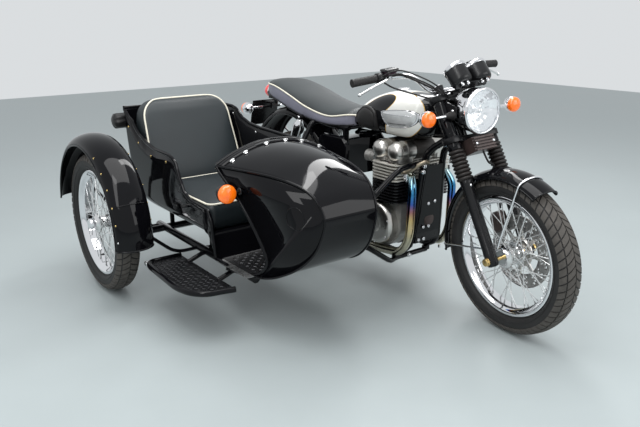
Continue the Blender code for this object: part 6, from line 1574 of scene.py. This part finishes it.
def fork_legs():
    """Each leg with its slider, shrouds, lamp ear and indicator, and its gaiter."""
    for side, word in SIDES:
        tip = (FORK_LAMP_X, side * 0.2300, FORK_LAMP_Z)
        root = (FORK_LAMP_X, side * 0.0960, FORK_LAMP_Z)
        piece = indicator("fork_leg_forms_" + word, "steering", tip, 1, 0.0325, root)
        foot = fork_point(0, 0, side * FORK_HALF_SPAN)
        piece.add(turned(foot, UP_LEG, [
            (-0.0260, 0), (-0.0258, 0.0120), (-0.0235, 0.0190), (-0.0190, 0.0230), (-0.0120, 0.0248),
            (0.0000, 0.0250), (0.0400, 0.0250), (0.0420, 0.0244), (0.3200, 0.0244), (0.3240, 0.0256),
            (0.3385, 0.0258), (0.3400, 0.0250), (0.3400, 0.0206)], 48), SATIN)
        piece.add(turned(foot, UP_LEG, [(0.3390, 0.0205), (0.4710, 0.0205)], 40), CHROME)
        piece.add(turned(foot, UP_LEG, [
            (0.4700, 0.0206), (0.4700, 0.0288), (0.4725, 0.0300), (0.4980, 0.0300), (0.4995, 0.0290),
            (0.4995, 0.0206)], 48), GLOSS)
        piece.add(turned(foot, UP_LEG, [
            (0.5245, 0.0206), (0.5245, 0.0292), (0.5270, 0.0300), (0.6780, 0.0300), (0.6795, 0.0292),
            (0.6795, 0.0206)], 48), GLOSS)
        piece.add(turned(foot, UP_LEG, [
            (0.6790, 0.0200), (0.7050, 0.0200), (0.7060, 0.0190), (0.7080, 0.0190), (0.7085, 0.0130),
            (0.7130, 0.0125), (0.7130, 0)], 40), CHROME)
        for s in (0.4850, 0.5400, 0.6640):
            piece.add(turned(foot, UP_LEG, [
                (s - 0.002, 0.0299), (s - 0.0015, 0.0306), (s + 0.0015, 0.0306), (s + 0.002, 0.0299)],
                48), GLOSS)
        ear = rounded([
            (1.1800, 0, 0.8640), (1.2150, 0, 0.8500), (1.2760, 0, 0.8720), (1.2800, 0, 0.9240),
            (1.2200, 0, 0.9380), (1.1560, 0, 0.9300), (1.1650, 0, 0.8900)], 0.014, 5)
        piece.add(prism([(p.x, p.z) for p in ear], side * 0.0945, side * 0.1010), SATIN)
        piece.add(turned((FORK_LAMP_X, side * 0.1000, FORK_LAMP_Z), (0, side, 0), [
            (0, 0.0190), (0.004, 0.0185), (0.012, 0.0150), (0.030, 0.0115), (0.038, 0.0105), (0.040, 0.0070)],
            32), RUBBER)
        piece.add(turned((LAMP_FACE - 0.0500, side * 0.0900, LAMP_Z), (0, side, 0), [
            (0, 0.0150), (0.0110, 0.0150), (0.0125, 0.0135)], 28), GLOSS)
        bolt = fork_point(0, 0, side * (FORK_HALF_SPAN + 0.0245))
        piece.add(dome(fork_point(0.3150, 0.0235, side * 0.1000), AHEAD, 0.0060, 0.004, 16), CHROME)
        piece.add(turned(bolt, (0, side, 0), [
            (0, 0.0170), (0.002, 0.0170), (0.003, 0.0150), (0.003, 0)], 32), BRASS)
        piece.done("fork_leg_" + word, bevel=0.0006, slot="gloss_black")
        ribs = 8
        low, high = 0.3403, 0.4697
        pitch = (high - low) / ribs
        profile = []
        for k in range(ribs):
            for j in range(8):
                t = j / 8
                swell = math.sin(math.pi * t) ** 0.8
                profile.append((low + pitch * (k + t), 0.0272 + 0.0075 * swell - 0.0010 * k / ribs))
        profile += [(high, 0.0268), (high, 0.0210), (low, 0.0210)]
        gaiter = Piece("gaiter_" + word, "steering", 70)
        gaiter.add(turned(foot, UP_LEG, profile, 56, closed=True), GAITER)
        gaiter.done("fork_gaiter_" + word, slot="rubber")


fuel_tank()
dual_seat()
headlamp()
gauges()
handlebar()
cables()
fork_legs()


# Mudguards, brake and wheels' fittings

def front_guard():
    """The front mudguard with its bridges, stays, the hoop over it and its band."""
    start, end, stay = math.radians(60), math.radians(191), math.radians(74)
    piece, place = guard("front_guard_skin", "steering", FRONT_AXLE, 0.3600, 0.0620, 0.0310, start, end)
    for side in (-1, 1):
        inner, outer = 0.0595, FORK_HALF_SPAN - 0.0255
        for w in (-0.020, 0.020):
            bridge = [fork_point(0.3330, w, side * inner), fork_point(0.3360, w, side * outer)]
            piece.add(tube(bridge, 0.0060, 12), GLOSS)
        piece.add(dome(fork_point(0.3290, 0.0150, side * 0.0620), (0, side, 0), 0.0050, 0.004, 14), CHROME)
        foot = fork_point(0.0300, 0.0150, side * (FORK_HALF_SPAN - 0.0275))
        rear = place(0.3310, side * 0.0640, math.radians(186))
        piece.add(tube(rounded([foot, foot + Vector((-0.030, 0, -0.004)), rear], 0.012), 0.0038, 12), CHROME)
        piece.add(dome(rear, (0, side, 0), 0.0060, 0.004, 14), CHROME)
    feet = [fork_point(0.0400, 0.0200, side * (FORK_HALF_SPAN - 0.0275)) for side in (-1, 1)]
    over = [math.pi / 2 * (k / 8 - 1) for k in range(1, 16)]
    arch = [feet[0], place(0.3300, -0.0670, stay)]
    arch += [place(0.3640 - 0.031 * (1 - math.cos(t)), 0.0650 * math.sin(t), stay) for t in over]
    arch += [place(0.3300, 0.0670, stay), feet[1]]
    piece.add(tube(arch, 0.0042, 14), CHROME)
    over = [math.pi / 2 * (k / 9 - 1) for k in range(1, 18)]
    band = []
    for angle, lift in ((98, 0), (98.2, 0.002), (103.8, 0.002), (104, 0)):
        row = [
            place(0.3606 - 0.031 * (1 - math.cos(t)), 0.0620 * math.sin(t), math.radians(angle)) for t in over
        ]
        band.append([p + (p - FRONT_AXLE).normalized() * lift for p in row])
    piece.add(strip(band), GLOSS)
    piece.done("front_mudguard", slot="gloss_black")


def rear_guard():
    """The rear mudguard with its brackets and stays."""
    start, end = math.radians(35), math.radians(158)
    centre = Vector((0, 0, 0.3850))
    piece, place = guard("rear_guard_skin", "chassis", centre, 0.4000, 0.0850, 0.0425, start, end)
    for share, rail_z in ((0.625, 0.7877), (0.800, 0.8269)):
        x, z = seat_x(share), rail_z
        drop = math.sqrt(0.4000 ** 2 - x ** 2)
        for side in (-1, 1):
            piece.add(tube([
                (x, side * 0.0425, 0.3850 + drop - 0.012), (x, side * 0.068, z), (x, side * 0.0905, z)],
                0.0064, 14), SATIN)
    for side in (-1, 1):
        stay = [
            (0.0000, side * 0.1180, 0.3600), (-0.1300, side * 0.1080, 0.5300),
            place(0.3560, side * 0.0870, math.radians(140))]
        piece.add(tube(rounded(stay, 0.03), 0.0055, 14), CHROME)
    piece.done("rear_mudguard", slot="gloss_black")


def brake_disc():
    """A slotted disc on the left of the front hub, with its carrier and bolts."""
    seat = 0.0483 + 0.0090
    piece = Piece("slotted_disc", "front_wheel", 35)
    sectors = 144
    radii = [0.0960, 0.1060, 0.1130, 0.1200, 0.1290, 0.1360, 0.1440, 0.1550]
    middle = FRONT_AXLE + Vector((0, seat + 0.0022, 0))
    points = [p for r in radii for p in circle(middle, X_AXIS, Z_AXIS, r, sectors)]
    faces = []
    for band in range(len(radii) - 1):
        for k in range(sectors):
            slot = (k + band * 2) % 9 in (0, 1)
            if (band in (1, 2) and slot) or (band in (4, 5) and (k + band * 2 + 4) % 9 in (0, 1)):
                continue
            a, b = band * sectors + k, band * sectors + (k + 1) % sectors
            faces.append((a, b, b + sectors, a + sectors))
    disc = piece.add((points, faces), DISC_STEEL).done("front_brake_disc", slot="steel")
    solid = disc.modifiers.new("plate", "SOLIDIFY")
    solid.thickness = 0.0045
    solid.offset = 0
    carrier = Piece("disc_carrier", "front_wheel", 35)
    origin = FRONT_AXLE + Vector((0, seat, 0))
    carrier.add(turned(origin, Y_AXIS, [
        (-0.0060, 0.0340), (0.0060, 0.0340), (0.0075, 0.0360), (0.0075, 0.0600), (0.0055, 0.0640),
        (-0.0010, 0.0640), (-0.0060, 0.0600)], 64, closed=True), ALLOY)
    for k in range(8):
        turn = math.tau * k / 8
        out = Vector((math.cos(turn), 0, math.sin(turn)))
        across = Vector((-math.sin(turn), 0, math.cos(turn)))
        ends = []
        for r, half in ((0.0600, 0.0110), (0.0800, 0.0080), (0.1030, 0.0090)):
            corners = ((-1, -0.001), (1, -0.001), (1, 0.0058), (-1, 0.0058))
            ends.append([origin + out * r + across * (half * a) + Y_AXIS * y for a, y in corners])
        carrier.add(loft(ends), ALLOY)
        carrier.add(dome(origin + out * 0.0980 + Y_AXIS * 0.0058, Y_AXIS, 0.0062, 0.003, 16), CHROME)
        if k % 2 == 0:
            bolt = origin + out * 0.0490 + Y_AXIS * 0.0075
            carrier.add(hexagon(bolt, Y_AXIS, 0.0060, 0.004), CHROME)
    carrier.done(bevel=0.0006)


# Side of the caliper, as places along the leg and ahead of it
CALIPER_OUTLINE = [
    (0.100, -0.090), (0.118, -0.096), (0.170, -0.094), (0.188, -0.080), (0.189, -0.044), (0.182, -0.032),
    (0.128, -0.0275), (0.104, -0.040)]


def caliper():
    """The brake caliper: its body, two piston covers, two mounts and a bleed nipple."""
    piece = Piece("caliper_body", "steering", 40)
    middle_s, middle_w = 0.145, -0.062
    y_low, y_high = 0.0573 - 0.0060 - 0.0140, 0.0618 + 0.0060 + 0.0140
    rings = []
    for y, share in ((y_low, 0.86), (y_low + 0.006, 1.0), (y_high - 0.006, 1.0), (y_high, 0.86)):
        ring = []
        for s, w in CALIPER_OUTLINE:
            ring.append(fork_point(middle_s + (s - middle_s) * share, middle_w + (w - middle_w) * share, y))
        rings.append(ring)
    piece.add(loft(rings), BROWN)
    for s in (0.126, 0.163):
        piece.add(turned(fork_point(s, -0.062, y_high - 0.002), Y_AXIS, [
            (0, 0.0180), (0.006, 0.0180), (0.008, 0.0160), (0.008, 0.0105), (0.0055, 0.0100), (0.0055, 0)],
            36), BROWN)
    for s in (0.1230, 0.1470):
        piece.add(tube([fork_point(s, -0.0345, 0.0810), fork_point(s, -0.0265, 0.0890),
            fork_point(s, -0.0100, 0.0960)], 0.0095, 16), BROWN)
        piece.add(hexagon(fork_point(s, -0.0180, 0.1000), Y_AXIS, 0.0065, 0.006), CHROME)
    piece.add(dome(fork_point(0.1860, -0.0620, 0.0790), UP_LEG, 0.0050, 0.010, 14), CHROME)
    piece.done("front_caliper", bevel=0.0015, slot="satin_black")


# Engine

ENGINE_X = 0.5750
ENGINE_LENGTH = 0.4000
ENGINE_HALF = 0.1250
CASE_BASE = 0.2213
CASE_TOP = 0.4550
HEAD_Z = 0.5550
COVER_Z = 0.6410
BARREL_X = 0.9050
CASE_SHARES = [
    (0.00, 0.38), (0.17, 0.00), (0.78, 0.00), (1.00, 0.32), (1.00, 1.00), (0.55, 1.00), (0.36, 1.00),
    (0.12, 0.92), (0.00, 0.68)]


def engine_point(along, up):
    """A place on the crankcase's side from its shares, as (x, z)."""
    return ENGINE_X + ENGINE_LENGTH * along, CASE_BASE + (CASE_TOP - CASE_BASE) * up


def crankcase():
    """The case with its round covers, ribs, ridges and oil filter."""
    piece = Piece("crankcase_block", smooth=38)
    outline = [Vector((x, 0, z)) for x, z in (engine_point(a, u) for a, u in CASE_SHARES)]
    seam = outline[0].lerp(outline[-1], 0.5)
    wrapped = rounded([seam] + outline + [seam], 0.030, 6)[:-1]
    piece.add(prism([(p.x, p.z) for p in wrapped], -ENGINE_HALF, ENGINE_HALF), CAST)
    for y in (-0.0450, 0.0450):
        band = [Vector((q.x + (q.x - 0.775) * 0.012, y, q.z + (q.z - 0.340) * 0.012)) for q in wrapped]
        piece.add(tube(band, 0.0035, 8, closed=True), CAST)
    for side in (-1, 1):
        for along, up, share in ((0.70, 0.52, 0.44), (0.34, 0.50, 0.34)):
            x, z = engine_point(along, up)
            size = (CASE_TOP - CASE_BASE) * share
            piece.add(turned((x, 0, z), (0, side, 0), [
                (0.1000, size), (0.1500, size), (0.1520, size * 1.012), (0.1600, size * 1.012),
                (0.1625, size * 0.995), (0.1720, size * 0.965), (0.1790, size * 0.88),
                (0.1815, size * 0.74), (0.1822, size * 0.45), (0.1822, size * 0.40), (0.1805, size * 0.38),
                (0.1805, 0)], 72), ALLOY)
            for k in range(7):
                turn = math.tau * (k + 0.3) / 7
                at = (x + size * 0.90 * math.cos(turn), side * 0.1775, z + size * 0.90 * math.sin(turn))
                piece.add(dome(at, (0, side, 0), 0.0052, 0.0036, 14), CHROME)
        rib_x, rib_z = engine_point(0.52, 0.20)
        for k in range(4):
            piece.add(box(
                (rib_x + 0.022 * k - 0.04, min(side * 0.124, side * 0.136), rib_z - 0.030),
                (rib_x + 0.022 * k - 0.034, max(side * 0.124, side * 0.136), rib_z + 0.020)), CAST)
        for shift in (0.0, 0.030):
            bends = ((0.66, 0.97), (0.80, 0.80), (0.93, 0.52))
            ridge = [engine_point(along - shift / ENGINE_LENGTH, up) for along, up in bends]
            piece.add(tube([(x, side * (ENGINE_HALF + 0.001), z) for x, z in ridge], 0.0045, 10), ALLOY)
    filter_place = Vector((0.9800, 0, 0.3650))
    piece.add(turned(filter_place, (1, 0, 0.1), [
        (-0.010, 0.0340), (0.030, 0.0340), (0.033, 0.0320), (0.050, 0.0320), (0.0560, 0.0280), (0.0570, 0.0)],
        48), BROWN)
    piece.done("crankcase", bevel=0.0015, slot="cast_alloy")


def fin_ring(half_x, half_y, corner, z):
    return slab(Vector((BARREL_X, 0, z)), X_AXIS, Y_AXIS, half_x, half_y, corner, 7)


def finned_block(name, node, low, high, fins, core, fin, colour, fin_colour):
    """Level cooling fins round a plain core."""
    piece = Piece(name, smooth=40)
    piece.add(loft([fin_ring(core[0], core[1], 0.022, low), fin_ring(core[0], core[1], 0.022, high)]), colour)
    pitch = (high - low) / fins
    for k in range(fins):
        z = low + pitch * (k + 0.18)
        levels = [(0.002, 0.0), (0, 0.0006), (0, pitch * 0.34), (0.002, pitch * 0.40)]
        rings = [fin_ring(fin[0] - inset, fin[1] - inset, 0.034, z + rise) for inset, rise in levels]
        piece.add(loft(rings), fin_colour)
    for x in (-0.058, 0.058):
        for y in (-0.150, -0.020, 0.020, 0.150):
            piece.add(tube([(BARREL_X + x, y, low), (BARREL_X + x, y, high)], 0.0075, 14), fin_colour)
    piece.done(node, slot="cast_alloy")


def regulator():
    """The finned regulator below the lower yoke."""
    piece = Piece("regulator_fins", "steering", 40)
    for k in range(5):
        low = 0.5000 - 0.0620 + 0.0124 * (k + 0.05)
        corners = [(0.0100, -0.0530), (0.0730, -0.0530), (0.0730, 0.0530), (0.0100, 0.0530)]
        piece.add(loft([[fork_point(s, w, y) for w, y in corners] for s in (low, low + 0.0070)]), BROWN)
    corners = [(-0.0100, -0.0546), (0.0620, -0.0546), (0.0620, 0.0546), (-0.0100, 0.0546)]
    piece.add(loft([[fork_point(s, w, y) for w, y in corners] for s in (0.4376, 0.4990)]), BROWN)
    for y in (-0.0450, 0.0450):
        piece.add(dome(fork_point(0.4680, 0.0730, y), AHEAD, 0.0060, 0.004, 16), CHROME)
    piece.done(bevel=0.0008)


def cam_covers():
    """Two domed covers across the head, with skirts and bolts."""
    piece = Piece("cam_cover_domes", smooth=50)
    radius = 0.0450
    base = [
        slab(Vector((BARREL_X, 0, COVER_Z + rise)), X_AXIS, Y_AXIS, 0.0720 + dx, 0.1500 + dx, 0.020, 6)
        for rise, dx in ((0.0003, 0.0), (0.0100, 0.0), (0.0110, -0.003), (0.0400, -0.006))]
    piece.add(loft(base), ALLOY)
    for along in (-1, 1):
        centre = Vector((BARREL_X + along * 0.0500, 0, COVER_Z + radius * 1.03))
        half = 0.1785
        profile = []
        for k in range(13):
            turn = math.pi / 2 * k / 12
            profile.append((half - radius * 0.8 + radius * 0.8 * math.sin(turn), radius * math.cos(turn)))
        whole = [(-y, r) for y, r in profile[::-1]] + profile
        piece.add(turned(centre, Y_AXIS, whole, 64), ALLOY)
        # A dark band of painted shade wraps the middle of each cover, where the real cover dips into shadow.
        piece.add(turned(centre, Y_AXIS, [
            (-0.0620, radius * 0.99), (-0.0600, radius * 1.012), (0.0600, radius * 1.012),
            (0.0620, radius * 0.99)], 64), CAM_BAND_SHADE)
        for side in (-1, 1):
            for y in (0.1100, 0.1425):
                piece.add(turned(centre + Vector((0, side * y, 0)), Y_AXIS, [
                    (-0.0018, radius * 0.99), (-0.0012, radius * 1.022), (0.0012, radius * 1.022),
                    (0.0018, radius * 0.99)],
                    64, closed=True), CAST)
            for half_x, half_y, corner, drops, material in (
                (0.0395, 0.0500, 0.026, (0.0, 0.0460), ALLOY),
                (0.0425, 0.0530, 0.028, (0.0090, 0.0125), CAST),
            ):
                piece.add(loft([
                    slab(centre + Vector((0, side * 0.1130, -z)), X_AXIS, Y_AXIS, half_x, half_y, corner, 8)
                    for z in drops
                ]), material)
    for x in (-0.0660, 0.0, 0.0660):
        for y in (-0.1380, 0.1380):
            piece.add(dome((BARREL_X + x, y, COVER_Z + 0.0105), Z_AXIS, 0.0065, 0.006, 16), CHROME)
    piece.done("cam_covers", slot="cast_alloy")


def carburettors():
    """Two carburettors with their tops, hoses and the rod between them."""
    piece = Piece("carburettor_bodies", smooth=45)
    start = BARREL_X - 0.0730 - 0.0120 - 0.0003
    z = 0.6250
    for side in (-1, 1):
        centre = Vector((start, side * 0.0750, z))
        piece.add(turned(centre, (-1, 0, 0), [
            (0, 0.0215), (0.006, 0.0245), (0.010, 0.0225), (0.036, 0.0225), (0.038, 0.0280),
            (0.058, 0.0280), (0.060, 0.0250), (0.090, 0.0250), (0.092, 0.0290), (0.098, 0.0290),
            (0.100, 0.0250), (0.1300, 0.0290)], 48), CAST)
        middle = centre + Vector((-0.0620, 0, 0))
        piece.add(turned(middle, Z_AXIS, [
            (-0.0540, 0), (-0.0540, 0.0140), (-0.0520, 0.0185), (-0.0300, 0.0205), (-0.0290, 0.0235),
            (-0.0250, 0.0235), (-0.0240, 0.0205), (0.0200, 0.0205)], 40), CAST)
        piece.add(turned(middle, Z_AXIS, [
            (0.0200, 0.0225), (0.0215, 0.0240), (0.0300, 0.0240), (0.0320, 0.0225), (0.0430, 0.0200),
            (0.0470, 0.0150), (0.0480, 0)], 40), CHROME)
        for k in range(3):
            turn = math.radians(40 + 120 * k)
            piece.add(dome(middle + Vector((0.0190 * math.cos(turn), 0.0190 * math.sin(turn), 0.0425)),
                Z_AXIS, 0.0030, 0.002, 12), STEEL)
        piece.add(turned(centre + Vector((-0.0480, side * 0.0200, 0.004)), (0, side, 0), [
            (0, 0.0150), (0.010, 0.0150), (0.012, 0.0125), (0.012, 0)], 32), STEEL)
        piece.add(tube(rounded([
            centre + Vector((-0.0620, side * 0.0100, -0.0520)),
            centre + Vector((-0.0620, side * 0.0300, -0.0900)),
            centre + Vector((-0.0300, side * 0.0450, -0.1400))], 0.02), 0.0035, 10), RUBBER)
    middle = start - 0.0500
    piece.add(tube([(middle, -0.0750, z + 0.0100), (middle, 0.0750, z + 0.0100)], 0.0065, 16), STEEL)
    piece.done("carburettors", bevel=0.0004, slot="cast_alloy")


HEADER_SHARES = [
    (0.677, 1.05, 0.731), (0.698, 1.28, 0.6625), (0.693, 1.30, 0.375), (0.660, 1.35, 0.275),
    (0.567, 1.50, 0.265), (0.400, 1.65, 0.269), (0.267, 1.72, 0.285)]


def exhausts():
    """The header pipe, silencer and clamps of each side."""
    for side, word in SIDES:
        places = [Vector((1.5 * x, side * 0.1 * y, 0.8 * z)) for x, y, z in HEADER_SHARES]
        port = Vector((0.9903, places[0].y, places[0].z))
        points = [port] + places
        piece = Piece("header_pipe_" + word, smooth=60)
        piece.add(tube(rounded(points, 0.060, 12), 0.0190, 36), HEATED)
        piece.add(turned(port, (points[1] - points[0]), [
            (0.0002, 0.0195), (0.0002, 0.0300), (0.0050, 0.0315), (0.0080, 0.0300), (0.0080, 0.0250),
            (0.0120, 0.0250), (0.0120, 0.0285), (0.0160, 0.0285), (0.0160, 0.0240), (0.0200, 0.0240),
            (0.0200, 0.0195)], 40, closed=True), CHROME)
        start, end = points[-2], points[-1]
        along = (end - start).normalized()
        piece.add(turned(start + (end - start) * 0.7, along, [
            (-0.020, 0.0205), (0.000, 0.0212), (0.012, 0.0240), (0.074, 0.0336), (0.130, 0.0390),
            (0.1780, 0.0420), (0.6070, 0.0420), (0.6600, 0.0395), (0.6960, 0.0355), (0.7250, 0.0270),
            (0.7360, 0.0200), (0.7400, 0.0185), (0.7400, 0.0150), (0.7000, 0.0140), (0.7000, 0)], 56), CHROME)
        for at in (0.012, 0.600):
            spot = start + (end - start) * 0.7 + along * at
            size = 0.0245 if at < 0.1 else 0.0424
            piece.add(turned(spot, along, [
                (0, size), (0.001, size + 0.0014), (0.013, size + 0.0014), (0.014, size)],
                48, closed=True), STEEL)
        piece.done("exhaust_" + word, slot="tinted_steel")


def small_pipes():
    """The curved pipe beside the head, the bolts along the frame and the cross tube's end caps."""
    piece = Piece("engine_fittings", smooth=50)
    piece.add(tube(smooth_path([
        (0.9300, -0.1500, 0.6350), (0.9520, -0.1520, 0.6230), (0.9800, -0.1450, 0.6080),
        (1.0080, -0.1360, 0.6030), (1.0350, -0.1240, 0.6180), (1.0600, -0.1080, 0.6420),
        (1.0780, -0.0900, 0.6560), (1.0860, -0.0720, 0.6560)], 10),
        0.0090, 20), DULL_BRASS)
    piece.add(turned((0.9240, -0.1500, 0.6380), (0.9, -0.1, -0.45), [
        (0, 0.0140), (0.014, 0.0140), (0.016, 0.0115)], 24), BROWN)
    for x, y, z, radius in (
        (1.0700, -0.0800, 0.6360, 0.0110), (1.0640, -0.0810, 0.6080, 0.0110),
        (1.0010, -0.1200, 0.5660, 0.0105), (1.0120, -0.0960, 0.2100, 0.0100),
    ):
        for side in (1, -1):
            at, out = Vector((x, y * side, z)), Vector((0.4, -side, 0)).normalized()
            piece.add(hexagon(at, out, radius, 0.008), CHROME)
            piece.add(dome(at + out * 0.007, out, radius * 0.7, 0.004, 14), CHROME)
    rings = []
    for z, x, half in ((0.6300, 1.0480, 0.0500), (0.5000, 1.0350, 0.0600), (0.3600, 1.0220, 0.0700),
            (0.2600, 1.0120, 0.0760)):
        rings.append([Vector((x + dx, y, z)) for dx,
            y in ((0.0, -half), (0.0100, -half), (0.0100, half), (0.0, half))])
    piece.add(loft(rings), GLOSS)
    lower = [(1.0235, 0.3620), (1.0290, 0.3620), (1.0250, 0.2700), (1.0180, 0.2700)]
    piece.add(loft([[Vector((x, y, z)) for x, z in lower] for y in (-0.0740, 0.0740)]), SATIN)
    for y, z in ((-0.018, 0.4480), (0.022, 0.4540), (-0.039, 0.3380), (-0.005, 0.3370), (-0.060, 0.2780),
            (-0.028, 0.2780)):
        x = 1.0580 + (z - 0.6300) * 0.0973 + (0.004 if z < 0.36 else 0)
        piece.add(hexagon((x - 0.001, y, z), (1, 0, 0.1), 0.0085, 0.006), CHROME)
        piece.add(dome((x + 0.004, y, z), (1, 0, 0.1), 0.0060, 0.004, 14), CHROME)
    rest_x, rest_z = 0.7005, 0.2050 - 0.0160 - 0.0055
    for side in (-1, 1):
        low = Vector((rest_x, side * 0.1920, rest_z))
        high = Vector((rest_x, side * 0.2380, rest_z + 0.0600))
        way = (high - low).normalized()
        profile = [(0.012, 0.0112), (0.012, 0.0160), (0.016, 0.0168)]
        for k in range(6):
            profile += [(0.018 + 0.009 * k, 0.0168), (0.020 + 0.009 * k, 0.0176), (0.025 + 0.009 * k, 0.0176)]
        piece.add(turned(low, way, profile + [(0.0745, 0.0168), (0.0760, 0.0120), (0.0760, 0.0)], 32), RUBBER)
    piece.done(bevel=0.0006)


# Rear end

def shocks():
    """Each shock absorber: its body, coil, shroud and both eyes."""
    for side, word in SIDES:
        high = Vector((SEAT_REAR + SEAT_LENGTH * 0.54, side * 0.1500, 0.7586))
        low = Vector((0.0600, side * 0.1500, 0.3264))
        way = (high - low).normalized()
        length = (high - low).length
        piece = Piece("shock_body_" + word, smooth=50)
        piece.add(turned(low, way, [
            (0.0, 0.0), (0.004, 0.0110), (0.0150, 0.0130), (0.0300, 0.0180), (0.0420, 0.0215),
            (length * 0.24, 0.0225), (length * 0.24, 0.0300), (length * 0.255, 0.0310),
            (length * 0.265, 0.0300), (length * 0.265, 0.0130), (length * 0.80, 0.0125)], 48), SATIN)
        first, second = square_to(way, (1, 0, 0))
        coil = []
        turns = 8.5
        for k in range(int(turns * 24) + 1):
            turn = math.tau * k / 24
            at = length * (0.275 + 0.395 * k / (turns * 24))
            coil.append(low + way * at + (first * math.cos(turn) + second * math.sin(turn)) * 0.0245)
        piece.add(tube(coil, 0.0046, 12), CHROME)
        piece.add(turned(low, way, [
            (length * 0.655, 0.0270), (length * 0.655, 0.0322), (length * 0.665, 0.0330),
            (length * 0.84, 0.0325), (length * 0.885, 0.0300), (length * 0.925, 0.0240),
            (length * 0.955, 0.0160), (length * 0.98, 0.0120), (length + 0.004, 0.0)], 56), CHROME)
        for place, reach in ((high, side * 0.1182), (low, side * 0.1400)):
            pin = side * min(side * reach, side * place.y + 0.016)
            length_of_pin = abs(place.y - reach) + 0.014
            piece.add(turned(
                (place.x, pin, place.z), (0, side, 0), [(0, 0.0070), (length_of_pin, 0.0070)], 20), STEEL)
            piece.add(turned((place.x, place.y - side * 0.014, place.z), (0, side, 0), [
                (0, 0.0120), (0.001, 0.0138), (0.027, 0.0138), (0.028, 0.0120)], 32), SATIN)
            piece.add(hexagon((place.x, place.y + side * 0.014, place.z), (0, side, 0), 0.0100, 0.007),
                CHROME)
        piece.done("shock_" + word, slot="chrome")


def tail():
    """The tail lamp, the rear indicators and the blank plate's border."""
    origin = Vector((-0.3050 + 0.0550, 0, 0.8420))
    piece = Piece("tail_lens", smooth=50)
    piece.add(turned(origin, (-1, 0, 0), [
        (0.0002, 0.0), (0.0002, 0.0385), (0.0020, 0.0395), (0.0100, 0.0395), (0.0110, 0.0375)], 56), CHROME)
    piece.add(turned(origin, (-1, 0, 0), [
        (0.0090, 0.0372), (0.0380, 0.0370), (0.0460, 0.0345), (0.0510, 0.0290), (0.0540, 0.0180),
        (0.0548, 0)], 56), RED)
    piece.done("tail_lamp", slot="red_lens")
    for side, word in SIDES:
        tip, root = [(REAR_LAMP_X, side * y, REAR_LAMP_Z) for y in (0.1650, 0.0600)]
        indicator("rear_lamp_" + word, "chassis", tip, -1, 0.0336, root).done(slot="amber_lens")
    plate = Piece("plate_border", smooth=40)
    top, low = Vector((-0.3455, 0, 0.7800)), Vector((-0.3830, 0, 0.6350))
    ring = [place + Y_AXIS * y for place, y in ((top, -0.086), (top, 0.086), (low, 0.086), (low, -0.086))]
    seam = ring[0].lerp(ring[3], 0.5)
    plate.add(tube(rounded([seam] + ring + [seam], 0.010), 0.0022, 8), BLACK_CAP)
    plate.done()


front_guard()
rear_guard()
brake_disc()
caliper()
crankcase()
finned_block("barrel_fins", "cylinder_barrel", CASE_TOP + 0.0003, HEAD_Z, 7, (0.066, 0.156), (0.085, 0.182),
    SATIN, SATIN)
finned_block("head_fins", "cylinder_head", HEAD_Z + 0.0003, COVER_Z, 6, (0.064, 0.152), (0.085, 0.182), SATIN,
    CAST_FIN)
regulator()
cam_covers()
carburettors()
exhausts()
small_pipes()
shocks()
tail()

for name, material in {
    "frame": GLOSS, "swingarm": SATIN, "rear_axle": STEEL, "tail_bracket": SATIN, "side_panels": GLOSS,
    "sidecar_chassis": GLOSS, "sidecar_axle": STEEL, "strut_front": GLOSS, "strut_rear": GLOSS,
    "yokes": SATIN, "front_axle": BRASS,
}.items():
    dress(name, material)


# Camera, light and floor

FLOOR_HALF = 9


def set_stage():
    cam = bpy.data.cameras.new("camera")
    cam.sensor_width = 36
    cam.lens = CAMERA_LENS_MM
    cam.clip_end = 100
    ahead = Vector((
        math.cos(CAMERA_PITCH) * math.cos(CAMERA_YAW), math.cos(CAMERA_PITCH) * math.sin(CAMERA_YAW),
        math.sin(CAMERA_PITCH)))
    right = ahead.cross(Z_AXIS).normalized()
    up = right.cross(ahead)
    right, up = (
        right * math.cos(CAMERA_ROLL) + up * math.sin(CAMERA_ROLL),
        up * math.cos(CAMERA_ROLL) - right * math.sin(CAMERA_ROLL))
    turn = Matrix((right, up, -ahead)).transposed().to_4x4()
    holder = bpy.data.objects.new("camera", cam)
    holder.matrix_world = Matrix.Translation(CAMERA_PLACE + ROOT) @ turn
    bpy.context.scene.collection.objects.link(holder)
    bpy.context.scene.camera = holder

    world = bpy.data.worlds.new("studio")
    world.use_nodes = True
    sky = world.node_tree.nodes["Background"]
    sky.inputs["Color"].default_value = (0.88, 0.91, 0.93, 1)
    sky.inputs["Strength"].default_value = 0.80
    bpy.context.scene.world = world
    bpy.context.scene.view_settings.view_transform = "Standard"

    points, faces = strip([[(x, y, 0) for y in (-FLOOR_HALF, FLOOR_HALF)] for x in (-FLOOR_HALF, FLOOR_HALF)])
    mesh = bpy.data.meshes.new("floor")
    mesh.from_pydata(points, [], faces)
    mesh.materials.append(FLOOR)
    floor = bpy.data.objects.new("floor", mesh)
    bpy.context.scene.collection.objects.link(floor)

    for name, place, aim, size, power in (
        ("strip_near", (1.6, -2.6, 3.2), (0.2, -0.4, 0.3), (0.9, 3.2), 40),
        ("strip_middle", (0.2, -0.4, 3.4), (0.2, -0.4, 0.0), (2.0, 3.2), 75),
        ("strip_far", (-1.2, 1.9, 3.2), (0.0, 0.0, 0.3), (0.5, 3.2), 45),
        ("fill_front", (3.6, 1.4, 2.0), (0.2, 0.0, 0.5), (2.4, 2.4), 45),
    ):
        lamp = bpy.data.lights.new(name, "AREA")
        lamp.shape = "RECTANGLE"
        lamp.size, lamp.size_y = size
        lamp.energy = power
        holder = bpy.data.objects.new(name, lamp)
        holder.location = place
        holder.rotation_euler = (Vector(aim) - Vector(place)).to_track_quat("-Z", "Y").to_euler()
        bpy.context.scene.collection.objects.link(holder)


set_stage()
